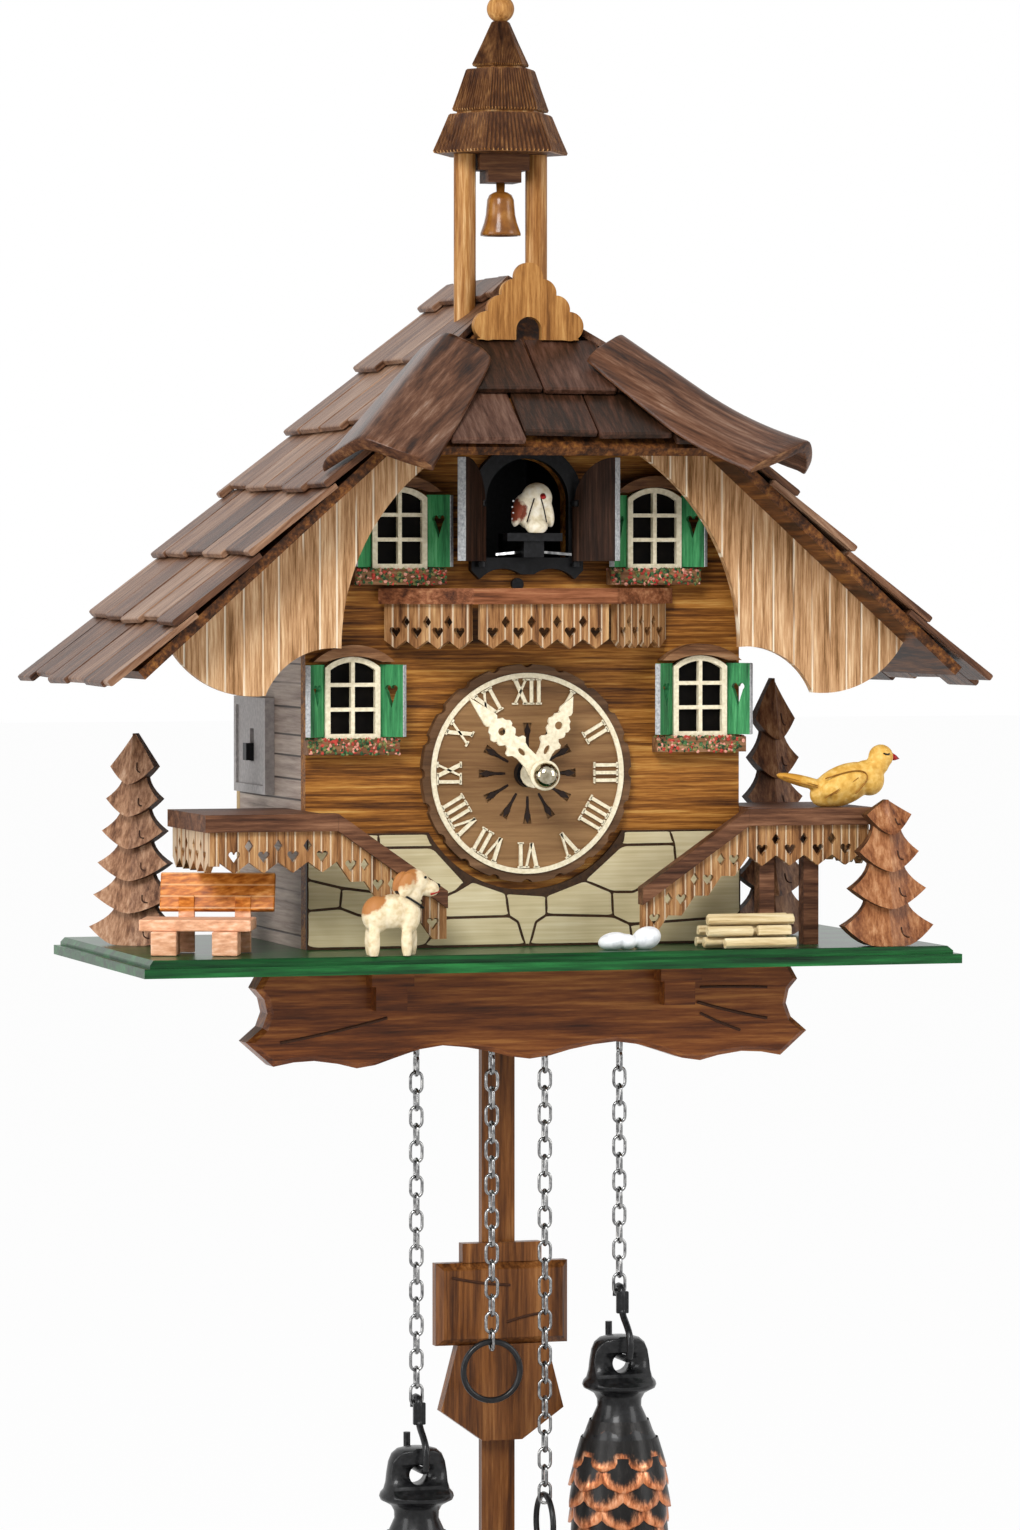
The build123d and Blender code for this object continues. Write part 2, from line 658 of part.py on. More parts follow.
with BuildPart() as bell:
    stem_top = BEAM_LOW - BEAM_STEP_HEIGHT - SEAT
    bell_top = stem_top - BELL_STEM
    with BuildSketch(flank(0)):
        with BuildLine():
            Polyline((TOWER_BACK, stem_top), (TOWER_BACK + BELL_STEM_RADIUS, stem_top),
                     (TOWER_BACK + BELL_STEM_RADIUS, bell_top),
                     (TOWER_BACK + BELL_HIGH_RADIUS, bell_top - 1))
            ThreePointArc((TOWER_BACK + BELL_HIGH_RADIUS, bell_top - 1),
                          (TOWER_BACK + BELL_HIGH_RADIUS + 0.6, bell_top - BELL_HEIGHT * 0.55),
                          (TOWER_BACK + BELL_LOW_RADIUS, bell_top - BELL_HEIGHT))
            Polyline((TOWER_BACK + BELL_LOW_RADIUS, bell_top - BELL_HEIGHT),
                     (TOWER_BACK, bell_top - BELL_HEIGHT),
                     (TOWER_BACK, stem_top))
        make_face()
    revolve(axis=Axis(place(0, TOWER_BACK, 0), (0, 0, 1)))

# Dial with a wavy edge and cut darts, and its cream ring
with BuildPart() as dial_disc:
    with BuildSketch(face(SEAT)):
        with Locations((0, DIAL_HEIGHT)):
            Circle(DIAL_RADIUS)
            with PolarLocations(DIAL_RADIUS + DIAL_WAVE, DIAL_WAVES):
                Circle(2 * DIAL_WAVE, mode=Mode.SUBTRACT)
            Circle(BUSH_RADIUS + SEAT, mode=Mode.SUBTRACT)
    extrude(amount=DIAL_THICK)
    with BuildSketch(face(SEAT + DIAL_THICK)):
        with Locations((0, DIAL_HEIGHT)):
            with PolarLocations(0, DART_COUNT):
                Polygon((DART_INNER, 0), (DART_OUTER, -DART_WIDTH / 2), (DART_OUTER, DART_WIDTH / 2),
                        align=None)
    extrude(amount=-DART_DEPTH, mode=Mode.SUBTRACT)

with BuildPart() as numeral_ring:
    with BuildSketch(face(DIAL_THICK + 2 * SEAT)):
        with Locations((0, DIAL_HEIGHT)):
            Circle(RING_RADIUS)
            Circle(RING_INNER, mode=Mode.SUBTRACT)
    extrude(amount=RING_THICK)

# Quartz movement with its hand bush, battery bay and pendulum pin
MOVEMENT_FRONT = WALL + SEAT
MOVEMENT_BACK = MOVEMENT_FRONT + MOVEMENT_DEPTH
CELL_BACK = MOVEMENT_BACK - CELL_RADIUS - FREE
with BuildPart() as quartz_movement:
    with BuildSketch(face(-MOVEMENT_FRONT)):
        with Locations((0, DIAL_HEIGHT)):
            RectangleRounded(MOVEMENT_SIZE, MOVEMENT_SIZE, 3)
    extrude(amount=-MOVEMENT_DEPTH)
    with BuildSketch(face(BUSH_AHEAD)):
        with Locations((0, DIAL_HEIGHT)):
            Circle(BUSH_RADIUS)
    extrude(amount=-(BUSH_AHEAD + MOVEMENT_FRONT))
    with BuildSketch(face(BUSH_AHEAD)):
        with Locations((0, DIAL_HEIGHT)):
            Circle(TUBE_RADIUS + RUN)
    extrude(amount=-(BUSH_AHEAD + MOVEMENT_FRONT + 5), mode=Mode.SUBTRACT)
    with BuildSketch(face(BUSH_AHEAD)):
        with Locations((0, DIAL_HEIGHT)):
            Circle(ARBOR_RADIUS + RUN)
    extrude(amount=-(BUSH_AHEAD + MOVEMENT_FRONT + 10), mode=Mode.SUBTRACT)
    with BuildSketch(face(-MOVEMENT_BACK)):
        with Locations((0, DIAL_HEIGHT + CELL_RISE)):
            Rectangle(CELL_LENGTH + 2 * FREE, 2 * (CELL_RADIUS + FREE))
    extrude(amount=2 * (CELL_RADIUS + FREE), mode=Mode.SUBTRACT)
    with BuildSketch(face(-MOVEMENT_BACK)):
        with Locations((0, PENDULUM_HEIGHT)):
            Circle(2 * PENDULUM_PIN)
    extrude(amount=-(PENDULUM_BACK - ROD_THICK / 2 - FREE - MOVEMENT_BACK))
    with BuildSketch(face(-MOVEMENT_BACK)):
        with Locations((0, PENDULUM_HEIGHT)):
            Circle(PENDULUM_PIN)
    extrude(amount=-(PENDULUM_BACK + ROD_THICK / 2 + FREE + 1 - MOVEMENT_BACK))
    with BuildSketch(face(-(PENDULUM_BACK + ROD_THICK / 2 + FREE))):
        with Locations((0, PENDULUM_HEIGHT)):
            Circle(2 * PENDULUM_PIN)
    extrude(amount=-1)

with BuildPart() as battery_cell:
    with BuildSketch(flank(-CELL_LENGTH / 2)):
        with Locations((CELL_BACK, DIAL_HEIGHT + CELL_RISE)):
            Circle(CELL_RADIUS)
    extrude(amount=CELL_LENGTH - 1.5)
    with BuildSketch(flank(CELL_LENGTH / 2 - 1.5)):
        with Locations((CELL_BACK, DIAL_HEIGHT + CELL_RISE)):
            Circle(CELL_RADIUS * 0.38)
    extrude(amount=1.5)


# Hands: a tapered blade with an open rosette and a heart near the tip
def hand_plane(ahead, angle):
    """Plane of a hand, with its own Y along the blade."""
    turn = radians(angle)
    return Plane(origin=place(0, -ahead, DIAL_HEIGHT), x_dir=(cos(turn), 0, -sin(turn)), z_dir=(0, -1, 0))


def blade(length, width, hub, bore):
    """Outline of a hand in the open sketch."""
    outline((-width / 2, 0), (-width / 2, length * 0.45), (-width * 1.3, length * 0.62),
            (-width / 2, length * 0.78),
            (0, length), (width / 2, length * 0.78), (width * 1.3, length * 0.62),
            (width / 2, length * 0.45),
            (width / 2, 0))
    Circle(hub)
    with Locations((0, length * 0.3)):
        Circle(width * 1.15)
        Circle(width * 0.5, mode=Mode.SUBTRACT)
    heart(0, length * 0.62, width * 1.1, width * 1.2)
    Circle(bore, mode=Mode.SUBTRACT)


with BuildPart() as hour_hand:
    with BuildSketch(hand_plane(HOUR_AHEAD, HOUR_ANGLE)):
        blade(HOUR_LENGTH, 2.6, 4.2, ARBOR_RADIUS + RUN)
    extrude(amount=HAND_THICK)
    with BuildSketch(face(HOUR_AHEAD)):
        with Locations((0, DIAL_HEIGHT)):
            Circle(TUBE_RADIUS)
            Circle(ARBOR_RADIUS + RUN, mode=Mode.SUBTRACT)
    extrude(amount=-(HOUR_AHEAD + MOVEMENT_FRONT + 4))

with BuildPart() as minute_hand:
    with BuildSketch(hand_plane(MINUTE_AHEAD, MINUTE_ANGLE)):
        blade(MINUTE_LENGTH, 2.6, 4.0, ARBOR_RADIUS + SEAT)
    extrude(amount=HAND_THICK)

with BuildPart() as hand_arbor:
    with BuildSketch(face(MINUTE_AHEAD + HAND_THICK + SEAT)):
        with Locations((0, DIAL_HEIGHT)):
            Circle(ARBOR_RADIUS)
    extrude(amount=-(MINUTE_AHEAD + HAND_THICK + MOVEMENT_FRONT + 9))
    with Locations(place(0, -(MINUTE_AHEAD + HAND_THICK + SEAT), DIAL_HEIGHT)):
        Sphere(NUT_RADIUS)
    with BuildSketch(face(MINUTE_AHEAD + HAND_THICK + SEAT)):
        with Locations((0, DIAL_HEIGHT)):
            Circle(2 * NUT_RADIUS)
            Circle(ARBOR_RADIUS, mode=Mode.SUBTRACT)
    extrude(amount=-NUT_RADIUS, mode=Mode.SUBTRACT)
    with BuildSketch(face(MINUTE_AHEAD - SEAT)):
        with Locations((0, DIAL_HEIGHT)):
            Circle(ARBOR_RADIUS + 0.9)
    extrude(amount=-1)

# Cuckoo: surround with hinge lugs, doors on pins, box, carriage and bird
HINGE_OUT = DOOR_WIDTH + SEAT + 0.1
HINGE_AHEAD = SURROUND_THICK + SEAT + FREE + DOOR_THICK / 2
LUG_RADIUS = DOOR_THICK / 2
with BuildPart() as door_surround:
    with BuildSketch(face(SEAT)):
        with BuildLine():
            Polyline((SURROUND_HALF, OPENING_SPRING), (SURROUND_HALF, SURROUND_LOW + 2.5),
                     (SURROUND_HALF - 2.5, SURROUND_LOW))
            ThreePointArc((SURROUND_HALF - 2.5, SURROUND_LOW), (SURROUND_HALF / 2, SURROUND_LOW + 3),
                          (2, SURROUND_LOW + 1.4))
            Line((2, SURROUND_LOW + 1.4), (-2, SURROUND_LOW + 1.4))
            ThreePointArc((-2, SURROUND_LOW + 1.4), (-SURROUND_HALF / 2, SURROUND_LOW + 3),
                          (2.5 - SURROUND_HALF, SURROUND_LOW))
            Polyline((2.5 - SURROUND_HALF, SURROUND_LOW), (-SURROUND_HALF, SURROUND_LOW + 2.5),
                     (-SURROUND_HALF, OPENING_SPRING))
            ThreePointArc((-SURROUND_HALF, OPENING_SPRING), (0, OPENING_SPRING + SURROUND_HALF),
                          (SURROUND_HALF, OPENING_SPRING))
        make_face()
        arched_opening(OPENING_WIDTH / 2, OPENING_LOW, OPENING_SPRING)
    extrude(amount=SURROUND_THICK)
    for sign in (-1, 1):
        for low in (DOOR_LOW - FREE - DOOR_LUG, DOOR_SPRING + FREE):
            with BuildSketch(level(low)):
                with Locations((sign * HINGE_OUT, -HINGE_AHEAD)):
                    Circle(LUG_RADIUS)
                with Locations((sign * HINGE_OUT, -(HINGE_AHEAD + SURROUND_THICK) / 2)):
                    Rectangle(2 * LUG_RADIUS, HINGE_AHEAD - SURROUND_THICK + 2 * FREE)
            extrude(amount=DOOR_LUG)
        with BuildSketch(level(DOOR_LOW - FREE)):
            with Locations((sign * HINGE_OUT, -HINGE_AHEAD)):
                Circle(DOOR_PIN)
        extrude(amount=FREE + 1.5)
        with BuildSketch(level(DOOR_SPRING + FREE)):
            with Locations((sign * HINGE_OUT, -HINGE_AHEAD)):
                Circle(DOOR_PIN)
        extrude(amount=-FREE - 1.5)
    with BuildSketch(face(SENSOR_AHEAD)):
        with Locations((SENSOR_OUT, SENSOR_HEIGHT)):
            Circle(SENSOR_RADIUS)
    extrude(amount=-(SENSOR_AHEAD + WALL))


def door(sign):
    """One leaf, opened about its hinge, with a barrel, pin holes and a lug for the wire."""
    turn = radians(DOOR_OPEN)
    along = Vector(-sign * cos(turn), -sin(turn), 0)
    hinge = Plane(origin=place(sign * HINGE_OUT, -HINGE_AHEAD, 0), x_dir=along, z_dir=(0, 0, 1))
    leaf_plane = Plane(origin=place(sign * HINGE_OUT, -HINGE_AHEAD, 0), x_dir=along,
                       z_dir=along.cross(Vector(0, 0, 1)))
    with BuildPart() as leaf:
        with BuildSketch(leaf_plane):
            with BuildLine():
                Polyline((0, DOOR_SPRING), (0, DOOR_LOW), (DOOR_WIDTH, DOOR_LOW),
                         (DOOR_WIDTH, DOOR_SPRING + DOOR_WIDTH))
                ThreePointArc((DOOR_WIDTH, DOOR_SPRING + DOOR_WIDTH),
                              (DOOR_WIDTH * (1 - sqrt(0.5)), DOOR_SPRING + DOOR_WIDTH * sqrt(0.5)),
                              (0, DOOR_SPRING))
            make_face()
        extrude(amount=DOOR_THICK / 2, both=True)
        with BuildSketch(hinge.offset(DOOR_LOW)):
            Circle(LUG_RADIUS)
        extrude(amount=DOOR_SPRING - DOOR_LOW)
        with BuildSketch(hinge.offset(DOOR_SPRING)):
            Circle(LUG_RADIUS * sqrt(2) + FREE)
        extrude(amount=DOOR_LUG + 2 * FREE, mode=Mode.SUBTRACT)
        with BuildSketch(hinge.offset(DOOR_LOW)):
            Circle(DOOR_PIN + RUN)
        extrude(amount=DOOR_SPRING - DOOR_LOW, mode=Mode.SUBTRACT)
        with BuildSketch(hinge.offset(OPENING_LOW + 2.2)):
            with Locations((DOOR_WIDTH * 0.55, sign * (DOOR_THICK / 2 + 1.0))):
                Rectangle(3.5, 2.4)
        extrude(amount=0.8)
    return leaf


left_door = door(-1)
right_door = door(1)

BOX_FLOOR = OPENING_LOW - SEAT
with BuildPart() as cuckoo_box:
    with BuildSketch(face(-WALL - SEAT)):
        with Locations((0, (BOX_FLOOR + BOX_HIGH) / 2)):
            Rectangle(2 * (BOX_HALF + BOX_WALL), BOX_HIGH - BOX_FLOOR + 2 * BOX_WALL)
    extrude(amount=-(BOX_DEPTH + BOX_WALL))
    with BuildSketch(face(-WALL - SEAT)):
        with Locations((0, (BOX_FLOOR + BOX_HIGH) / 2)):
            Rectangle(2 * BOX_HALF, BOX_HIGH - BOX_FLOOR)
    extrude(amount=-BOX_DEPTH, mode=Mode.SUBTRACT)

with BuildPart() as bird_carriage:
    with BuildSketch(face(CARRIAGE_AHEAD)):
        with Locations((0, (PLATFORM_LOW + PLATFORM_HIGH) / 2)):
            Rectangle(PLATFORM_WIDTH, PLATFORM_HIGH - PLATFORM_LOW)
    extrude(amount=-PLATFORM_DEPTH)
    with BuildSketch(face(CARRIAGE_AHEAD - 1)):
        with Locations((0, (OPENING_LOW + RUN + PLATFORM_HIGH) / 2)):
            Rectangle(STEM_WIDTH, PLATFORM_HIGH - OPENING_LOW - RUN)
    extrude(amount=-(CARRIAGE_AHEAD - 1 + CARRIAGE_BACK))

BIRD_AHEAD = CARRIAGE_AHEAD - PLATFORM_DEPTH / 2
with BuildPart() as cuckoo_bird:
    with BuildSketch(flank(0)):
        with BuildLine():
            foot = PLATFORM_HIGH + SEAT
            Polyline((-BIRD_AHEAD, foot), (1.2 - BIRD_AHEAD, foot), (1.2 - BIRD_AHEAD, foot + 2.2),
                     (BIRD_RADIUS * 0.8 - BIRD_AHEAD, foot + 3.4), (BIRD_RADIUS - BIRD_AHEAD, foot + 6.2),
                     (BIRD_RADIUS * 0.7 - BIRD_AHEAD, foot + 9.6),
                     (BIRD_RADIUS * 0.62 - BIRD_AHEAD, foot + 12),
                     (BIRD_RADIUS * 0.4 - BIRD_AHEAD, foot + BIRD_HEIGHT - 0.8),
                     (-BIRD_AHEAD, foot + BIRD_HEIGHT), close=True)
        make_face()
    revolve(axis=Axis(place(0, -BIRD_AHEAD, 0), (0, 0, 1)))
    with BuildSketch(face(BIRD_AHEAD)):
        with Locations((0, PLATFORM_HIGH + BIRD_HEIGHT - 3)):
            Circle(1.3)
    with BuildSketch(face(BIRD_AHEAD + BIRD_RADIUS + 1.4)):
        with Locations((0, PLATFORM_HIGH + BIRD_HEIGHT - 3.4)):
            Circle(0.3)
    loft()
    for sign in (-1, 1):
        with BuildSketch(flank(sign * (BIRD_RADIUS + 0.6))):
            outline((-BIRD_AHEAD - 2.4, foot + 8.6), (-BIRD_AHEAD + 2, foot + 8),
                    (-BIRD_AHEAD + 5.5, foot + 3.4),
                    (-BIRD_AHEAD - 1, foot + 4.6))
        extrude(amount=-sign * 3)

with BuildPart() as door_wires:
    for sign in (-1, 1):
        wire_height = OPENING_LOW + 0.9
        near, far = sign * (STEM_WIDTH / 2 + SEAT), sign * WIRE_REACH
        with BuildSketch(flank(near)):
            with Locations((-CARRIAGE_AHEAD + 4, wire_height + 0.7)):
                Rectangle(2 * WIRE_RADIUS, 2 * WIRE_RADIUS)
        with BuildSketch(flank(far)):
            with Locations((-CARRIAGE_AHEAD + 1.5, wire_height)):
                Rectangle(2 * WIRE_RADIUS, 2 * WIRE_RADIUS)
        loft()

# Windows
WINDOWS = [(sign * out, sill) for out, sill in ((LOWER_WINDOW_OUT, LOWER_WINDOW_SILL),
                                                (UPPER_WINDOW_OUT, UPPER_WINDOW_SILL))
           for sign in (-1, 1)]
FRAME_AHEAD = PANE_THICK + 2 * SEAT


def window_outline(x, sill, inset):
    """An arched window shape in the open sketch."""
    half = WINDOW_WIDTH / 2 - inset
    spring = sill + WINDOW_HEIGHT - WINDOW_RISE - inset / 2
    with BuildLine() as edge:
        Polyline((x + half, spring), (x + half, sill + inset), (x - half, sill + inset), (x - half, spring))
        ThreePointArc((x - half, spring), (x, sill + WINDOW_HEIGHT - inset), (x + half, spring))
    make_face(edge.edges())


with BuildPart() as window_panes:
    with BuildSketch(face(SEAT)):
        for x, sill in WINDOWS:
            window_outline(x, sill, SEAT)
    extrude(amount=PANE_THICK)

with BuildPart() as window_frames:
    with BuildSketch(face(FRAME_AHEAD)):
        for x, sill in WINDOWS:
            window_outline(x, sill, 0)
    extrude(amount=FRAME_THICK)
    with BuildSketch(face(FRAME_AHEAD)):
        for x, sill in WINDOWS:
            window_outline(x, sill, WINDOW_FRAME)
            with Locations((x, sill + WINDOW_HEIGHT / 2)):
                Rectangle(WINDOW_BAR, WINDOW_HEIGHT, mode=Mode.SUBTRACT)
            with Locations((x, sill + WINDOW_HEIGHT * 0.36), (x, sill + WINDOW_HEIGHT * 0.66)):
                Rectangle(WINDOW_WIDTH, WINDOW_BAR, mode=Mode.SUBTRACT)
    extrude(amount=FRAME_THICK, mode=Mode.SUBTRACT)

with BuildPart() as shutters:
    for x, sill in WINDOWS:
        for sign in (-1, 1):
            turn = radians(SHUTTER_ANGLE)
            along = Vector(sign * cos(turn), -sin(turn), 0)
            hinge = place(x + sign * (WINDOW_WIDTH / 2 + SHUTTER_THICK * sin(turn) + SEAT), -FRAME_AHEAD,
                          sill + 0.6)
            with BuildSketch(Plane(origin=hinge, x_dir=along, z_dir=along.cross(Vector(0, 0, 1)))):
                with Locations((SHUTTER_WIDTH / 2, SHUTTER_HEIGHT / 2)):
                    Rectangle(SHUTTER_WIDTH, SHUTTER_HEIGHT)
                heart(SHUTTER_WIDTH / 2, SHUTTER_HEIGHT * 0.58, 3.2, 7.5)
            extrude(amount=sign * SHUTTER_THICK)

with BuildPart() as window_lintels:
    with BuildSketch(face(SEAT)):
        for x, sill in WINDOWS:
            spring = sill + WINDOW_HEIGHT - WINDOW_RISE
            top = sill + WINDOW_HEIGHT
            with BuildLine():
                ThreePointArc((x - LINTEL_HALF, spring + 1.6), (x, top + LINTEL_RISE),
                              (x + LINTEL_HALF, spring + 1.6))
                Line((x + LINTEL_HALF, spring + 1.6), (x + WINDOW_WIDTH / 2 + SEAT, spring + 1.6))
                ThreePointArc((x + WINDOW_WIDTH / 2 + SEAT, spring + 1.6), (x, top + 4 * SEAT),
                              (x - WINDOW_WIDTH / 2 - SEAT, spring + 1.6))
                Line((x - WINDOW_WIDTH / 2 - SEAT, spring + 1.6), (x - LINTEL_HALF, spring + 1.6))
            make_face()
    extrude(amount=LINTEL_THICK)

with BuildPart() as flower_boxes:
    with BuildSketch(face(SEAT)):
        for x, sill in WINDOWS:
            with Locations((x, sill - SEAT - BOX_TALL / 2)):
                Rectangle(BOX_WIDTH, BOX_TALL)
    extrude(amount=BOX_AHEAD)


# Pickets: a board cut to points, with a heart in each picket and a diamond between two
def picket_board(plane, count, pitch, top, tip, fall=0.0):
    with BuildSketch(plane) as board:
        points = [(0, top), (count * pitch, top - fall * count * pitch)]
        for step in range(count, 0, -1):
            points.append((step * pitch, tip + pitch * 0.36 - fall * step * pitch))
            points.append(((step - 0.5) * pitch, tip - fall * (step - 0.5) * pitch))
        points.append((0, tip + pitch * 0.36))
        outline(*points)
        for step in range(count):
            middle = (step + 0.5) * pitch
            heart(middle, tip + 4.4 - fall * middle, 3.2, 3.4)
        for step in range(1, count):
            diamond(step * pitch, tip + 7.6 - fall * step * pitch, 2.6, 3.8)
    extrude(board.sketch, amount=PICKET_THICK)


def ribbon(points, half):
    """Corner points of a bar of constant width along a bent line."""
    sides = {1: [], -1: []}
    for index, (x, y) in enumerate(points):
        normals = []
        for a, b in ((index - 1, index), (index, index + 1)):
            if a >= 0 and b < len(points):
                run = Vector(points[b][0] - points[a][0], points[b][1] - points[a][1]).normalized()
                normals.append(Vector(-run.Y, run.X))
        mean = (normals[0] + normals[-1]).normalized()
        reach = half / mean.dot(normals[0])
        for sign in sides:
            sides[sign].append((x + sign * reach * mean.X, y + sign * reach * mean.Y))
    return sides[1] + sides[-1][::-1]


BALCONY_LINE = ((-BALCONY_WALL_HALF, -SEAT), (-BALCONY_HALF, -BALCONY_AHEAD),
                (BALCONY_HALF, -BALCONY_AHEAD),
                (BALCONY_WALL_HALF, -SEAT))
with BuildPart() as balcony_cap:
    with BuildSketch(level(BALCONY_CAP_LOW)):
        outline(*ribbon(BALCONY_LINE, CAP_WIDTH / 2))
    extrude(amount=BALCONY_CAP_HIGH - BALCONY_CAP_LOW)
    with BuildSketch(level(BALCONY_CAP_LOW)):
        with Locations((0, CASE_DEPTH / 2 - SEAT)):
            Rectangle(CASE_WIDTH, CASE_DEPTH)
    extrude(amount=BALCONY_CAP_HIGH - BALCONY_CAP_LOW, mode=Mode.SUBTRACT)

BALCONY_SIDE = sqrt((BALCONY_WALL_HALF - BALCONY_HALF) ** 2 + BALCONY_AHEAD ** 2)
SIDE_RUN = Vector(BALCONY_WALL_HALF - BALCONY_HALF, BALCONY_AHEAD, 0).normalized()
with BuildPart() as balcony_pickets:
    corner = PICKET_THICK * 0.6
    front_length = 2 * BALCONY_HALF - 2 * corner
    side_length = BALCONY_SIDE - 2 * corner
    picket_board(Plane(origin=place(corner - BALCONY_HALF, PICKET_THICK / 2 - BALCONY_AHEAD, 0),
                       x_dir=(1, 0, 0), z_dir=(0, -1, 0)),
                 5, front_length / 5, BALCONY_CAP_LOW - SEAT, BALCONY_TIP)
    right_start = Vector(*place(BALCONY_HALF, -BALCONY_AHEAD, 0)) + SIDE_RUN * corner
    normal = Vector(SIDE_RUN.Y, -SIDE_RUN.X, 0)
    picket_board(Plane(origin=right_start - normal * (PICKET_THICK / 2), x_dir=SIDE_RUN, z_dir=normal),
                 4, side_length / 4, BALCONY_CAP_LOW - SEAT, BALCONY_TIP)
    left_run = Vector(SIDE_RUN.X, -SIDE_RUN.Y, 0)
    left_start = Vector(*place(-BALCONY_WALL_HALF, 0, 0)) + left_run * corner
    normal = Vector(-SIDE_RUN.Y, -SIDE_RUN.X, 0)
    picket_board(Plane(origin=left_start - normal * (PICKET_THICK / 2), x_dir=left_run, z_dir=normal),
                 4, side_length / 4, BALCONY_CAP_LOW - SEAT, BALCONY_TIP)

# Stair rails with decks beside the house
RAIL_TIP = RAIL_CAP_LOW - RAIL_PICKET
RAIL_LINE = ((RAIL_BEND + SEAT, PICKET_THICK / 2 - RAIL_AHEAD), (RAIL_OUT, PICKET_THICK / 2 - RAIL_AHEAD),
             (RAIL_OUT, RAIL_BACK))
with BuildPart() as rail_caps:
    with BuildSketch(level(RAIL_CAP_LOW)):
        outline(*ribbon(RAIL_LINE, CAP_WIDTH / 2))
    extrude(amount=RAIL_CAP_HIGH - RAIL_CAP_LOW)
    with BuildSketch(face(RAIL_AHEAD - PICKET_THICK / 2 - CAP_WIDTH / 2)):
        outline((RAIL_END, RAIL_CAP_LOW - RAIL_FALL), (RAIL_BEND, RAIL_CAP_LOW), (RAIL_BEND, RAIL_CAP_HIGH),
                (RAIL_END, RAIL_CAP_HIGH - RAIL_FALL))
    extrude(amount=CAP_WIDTH)
    deck_front = RAIL_AHEAD - PICKET_THICK / 2 - CAP_WIDTH / 2 - SEAT
    deck_side = RAIL_OUT - CAP_WIDTH / 2 - SEAT
    with BuildSketch(level(RAIL_CAP_HIGH - DECK_THICK)):
        with Locations(((WALL_HALF + SEAT + deck_side) / 2, (RAIL_BACK - deck_front) / 2)):
            Rectangle(deck_side - WALL_HALF - SEAT, RAIL_BACK + deck_front)
    extrude(amount=DECK_THICK)
    mirror(about=Plane.YZ)
    for out in POST_PLACES:
        with BuildSketch(level(SEAT)):
            with Locations((out, POST_SIZE / 2 - deck_front + SEAT)):
                Rectangle(POST_SIZE, POST_SIZE)
        extrude(amount=RAIL_CAP_HIGH - DECK_THICK - 2 * SEAT)

with BuildPart() as rail_pickets:
    front = RAIL_AHEAD - PICKET_THICK
    picket_board(Plane(origin=place(RAIL_BEND + SEAT, -front, 0), x_dir=(1, 0, 0), z_dir=(0, -1, 0)),
                 4, (RAIL_OUT - RAIL_BEND - PICKET_THICK) / 4, RAIL_CAP_LOW - SEAT, RAIL_TIP)
    picket_board(Plane(origin=place(RAIL_END, -front, 0), x_dir=(1, 0, 0), z_dir=(0, -1, 0)),
                 4, (RAIL_BEND - RAIL_END - SEAT) / 4, RAIL_CAP_LOW - RAIL_FALL - SEAT,
                 RAIL_TIP - RAIL_FALL,
                 -RAIL_FALL / (RAIL_BEND - RAIL_END))
    picket_board(Plane(origin=place(RAIL_OUT - PICKET_THICK / 2, -RAIL_AHEAD + PICKET_THICK, 0),
                       x_dir=(0, 1, 0), z_dir=(1, 0, 0)),
                 5, (RAIL_BACK + RAIL_AHEAD - PICKET_THICK) / 5, RAIL_CAP_LOW - SEAT, RAIL_TIP)
    mirror(about=Plane.YZ)

# Stone-look plinth, scooped round the dial
with BuildPart() as stone_plinth:
    scoop = DIAL_RADIUS + PLINTH_GAP
    corner = sqrt(scoop ** 2 - (DIAL_HEIGHT - PLINTH_HIGH) ** 2)
    with BuildSketch(face(SEAT)):
        with BuildLine():
            Polyline((-corner, PLINTH_HIGH), (-WALL_HALF, PLINTH_HIGH), (-WALL_HALF, SEAT),
                     (WALL_HALF, SEAT),
                     (WALL_HALF, PLINTH_HIGH), (corner, PLINTH_HIGH))
            ThreePointArc((corner, PLINTH_HIGH), (0, DIAL_HEIGHT - scoop), (-corner, PLINTH_HIGH))
        make_face()
    extrude(amount=PLINTH_THICK)


# Figures on the base
def tree(x, back, turn, height, half, tiers, thick):
    """A flat carved fir: drooping tiers on a short trunk."""
    across = Vector(cos(radians(turn)), sin(radians(turn)), 0)
    plane = Plane(origin=place(x, back, SEAT), x_dir=across, z_dir=across.cross(Vector(0, 0, 1)))
    trunk = half * 0.3
    tier = height * 0.93 / tiers
    right = [(trunk, 0), (trunk, height * 0.07)]
    for step in range(tiers):
        wide = half * (1 - step / tiers * 0.86)
        low = height * 0.07 + tier * step
        right += [(wide * 0.72, low - tier * 0.06), (wide, low + tier * 0.22),
                  (wide * 0.9, low + tier * 0.55),
                  (wide * 0.56, low + tier * 0.92)]
    right[-1] = (trunk * 0.2, height)
    with BuildSketch(plane.offset(-thick / 2)) as fir:
        outline(*right, *[(-x, z) for x, z in reversed(right)])
    extrude(fir.sketch, amount=thick)


with BuildPart() as carved_trees:
    tree(-104.5, 39, -40, 61, 14, 6, 6)
    tree(86, 34, 8, 76, 13, 6, 6)
    tree(100.5, -25, 4, 42, 14, 4, 6)

with BuildPart(Plane(origin=place(-100, -13, SEAT), x_dir=(cos(0.35), -sin(0.35), 0),
                     z_dir=(0, 0, 1))) as bench:
    with Locations((-9, -2, 4), (9, -2, 4)):
        Box(7.5, 10, 8)
    with Locations((0, 3.5, 8.5)):
        Box(33, 17, 3.4)
    with Locations((-10, 11.5, 8), (10, 11.5, 8)):
        Box(5, 2.4, 16)
    with Locations(Location((0, 12.4, 16.6), (-12, 0, 0))):
        Box(33, 2, 11)

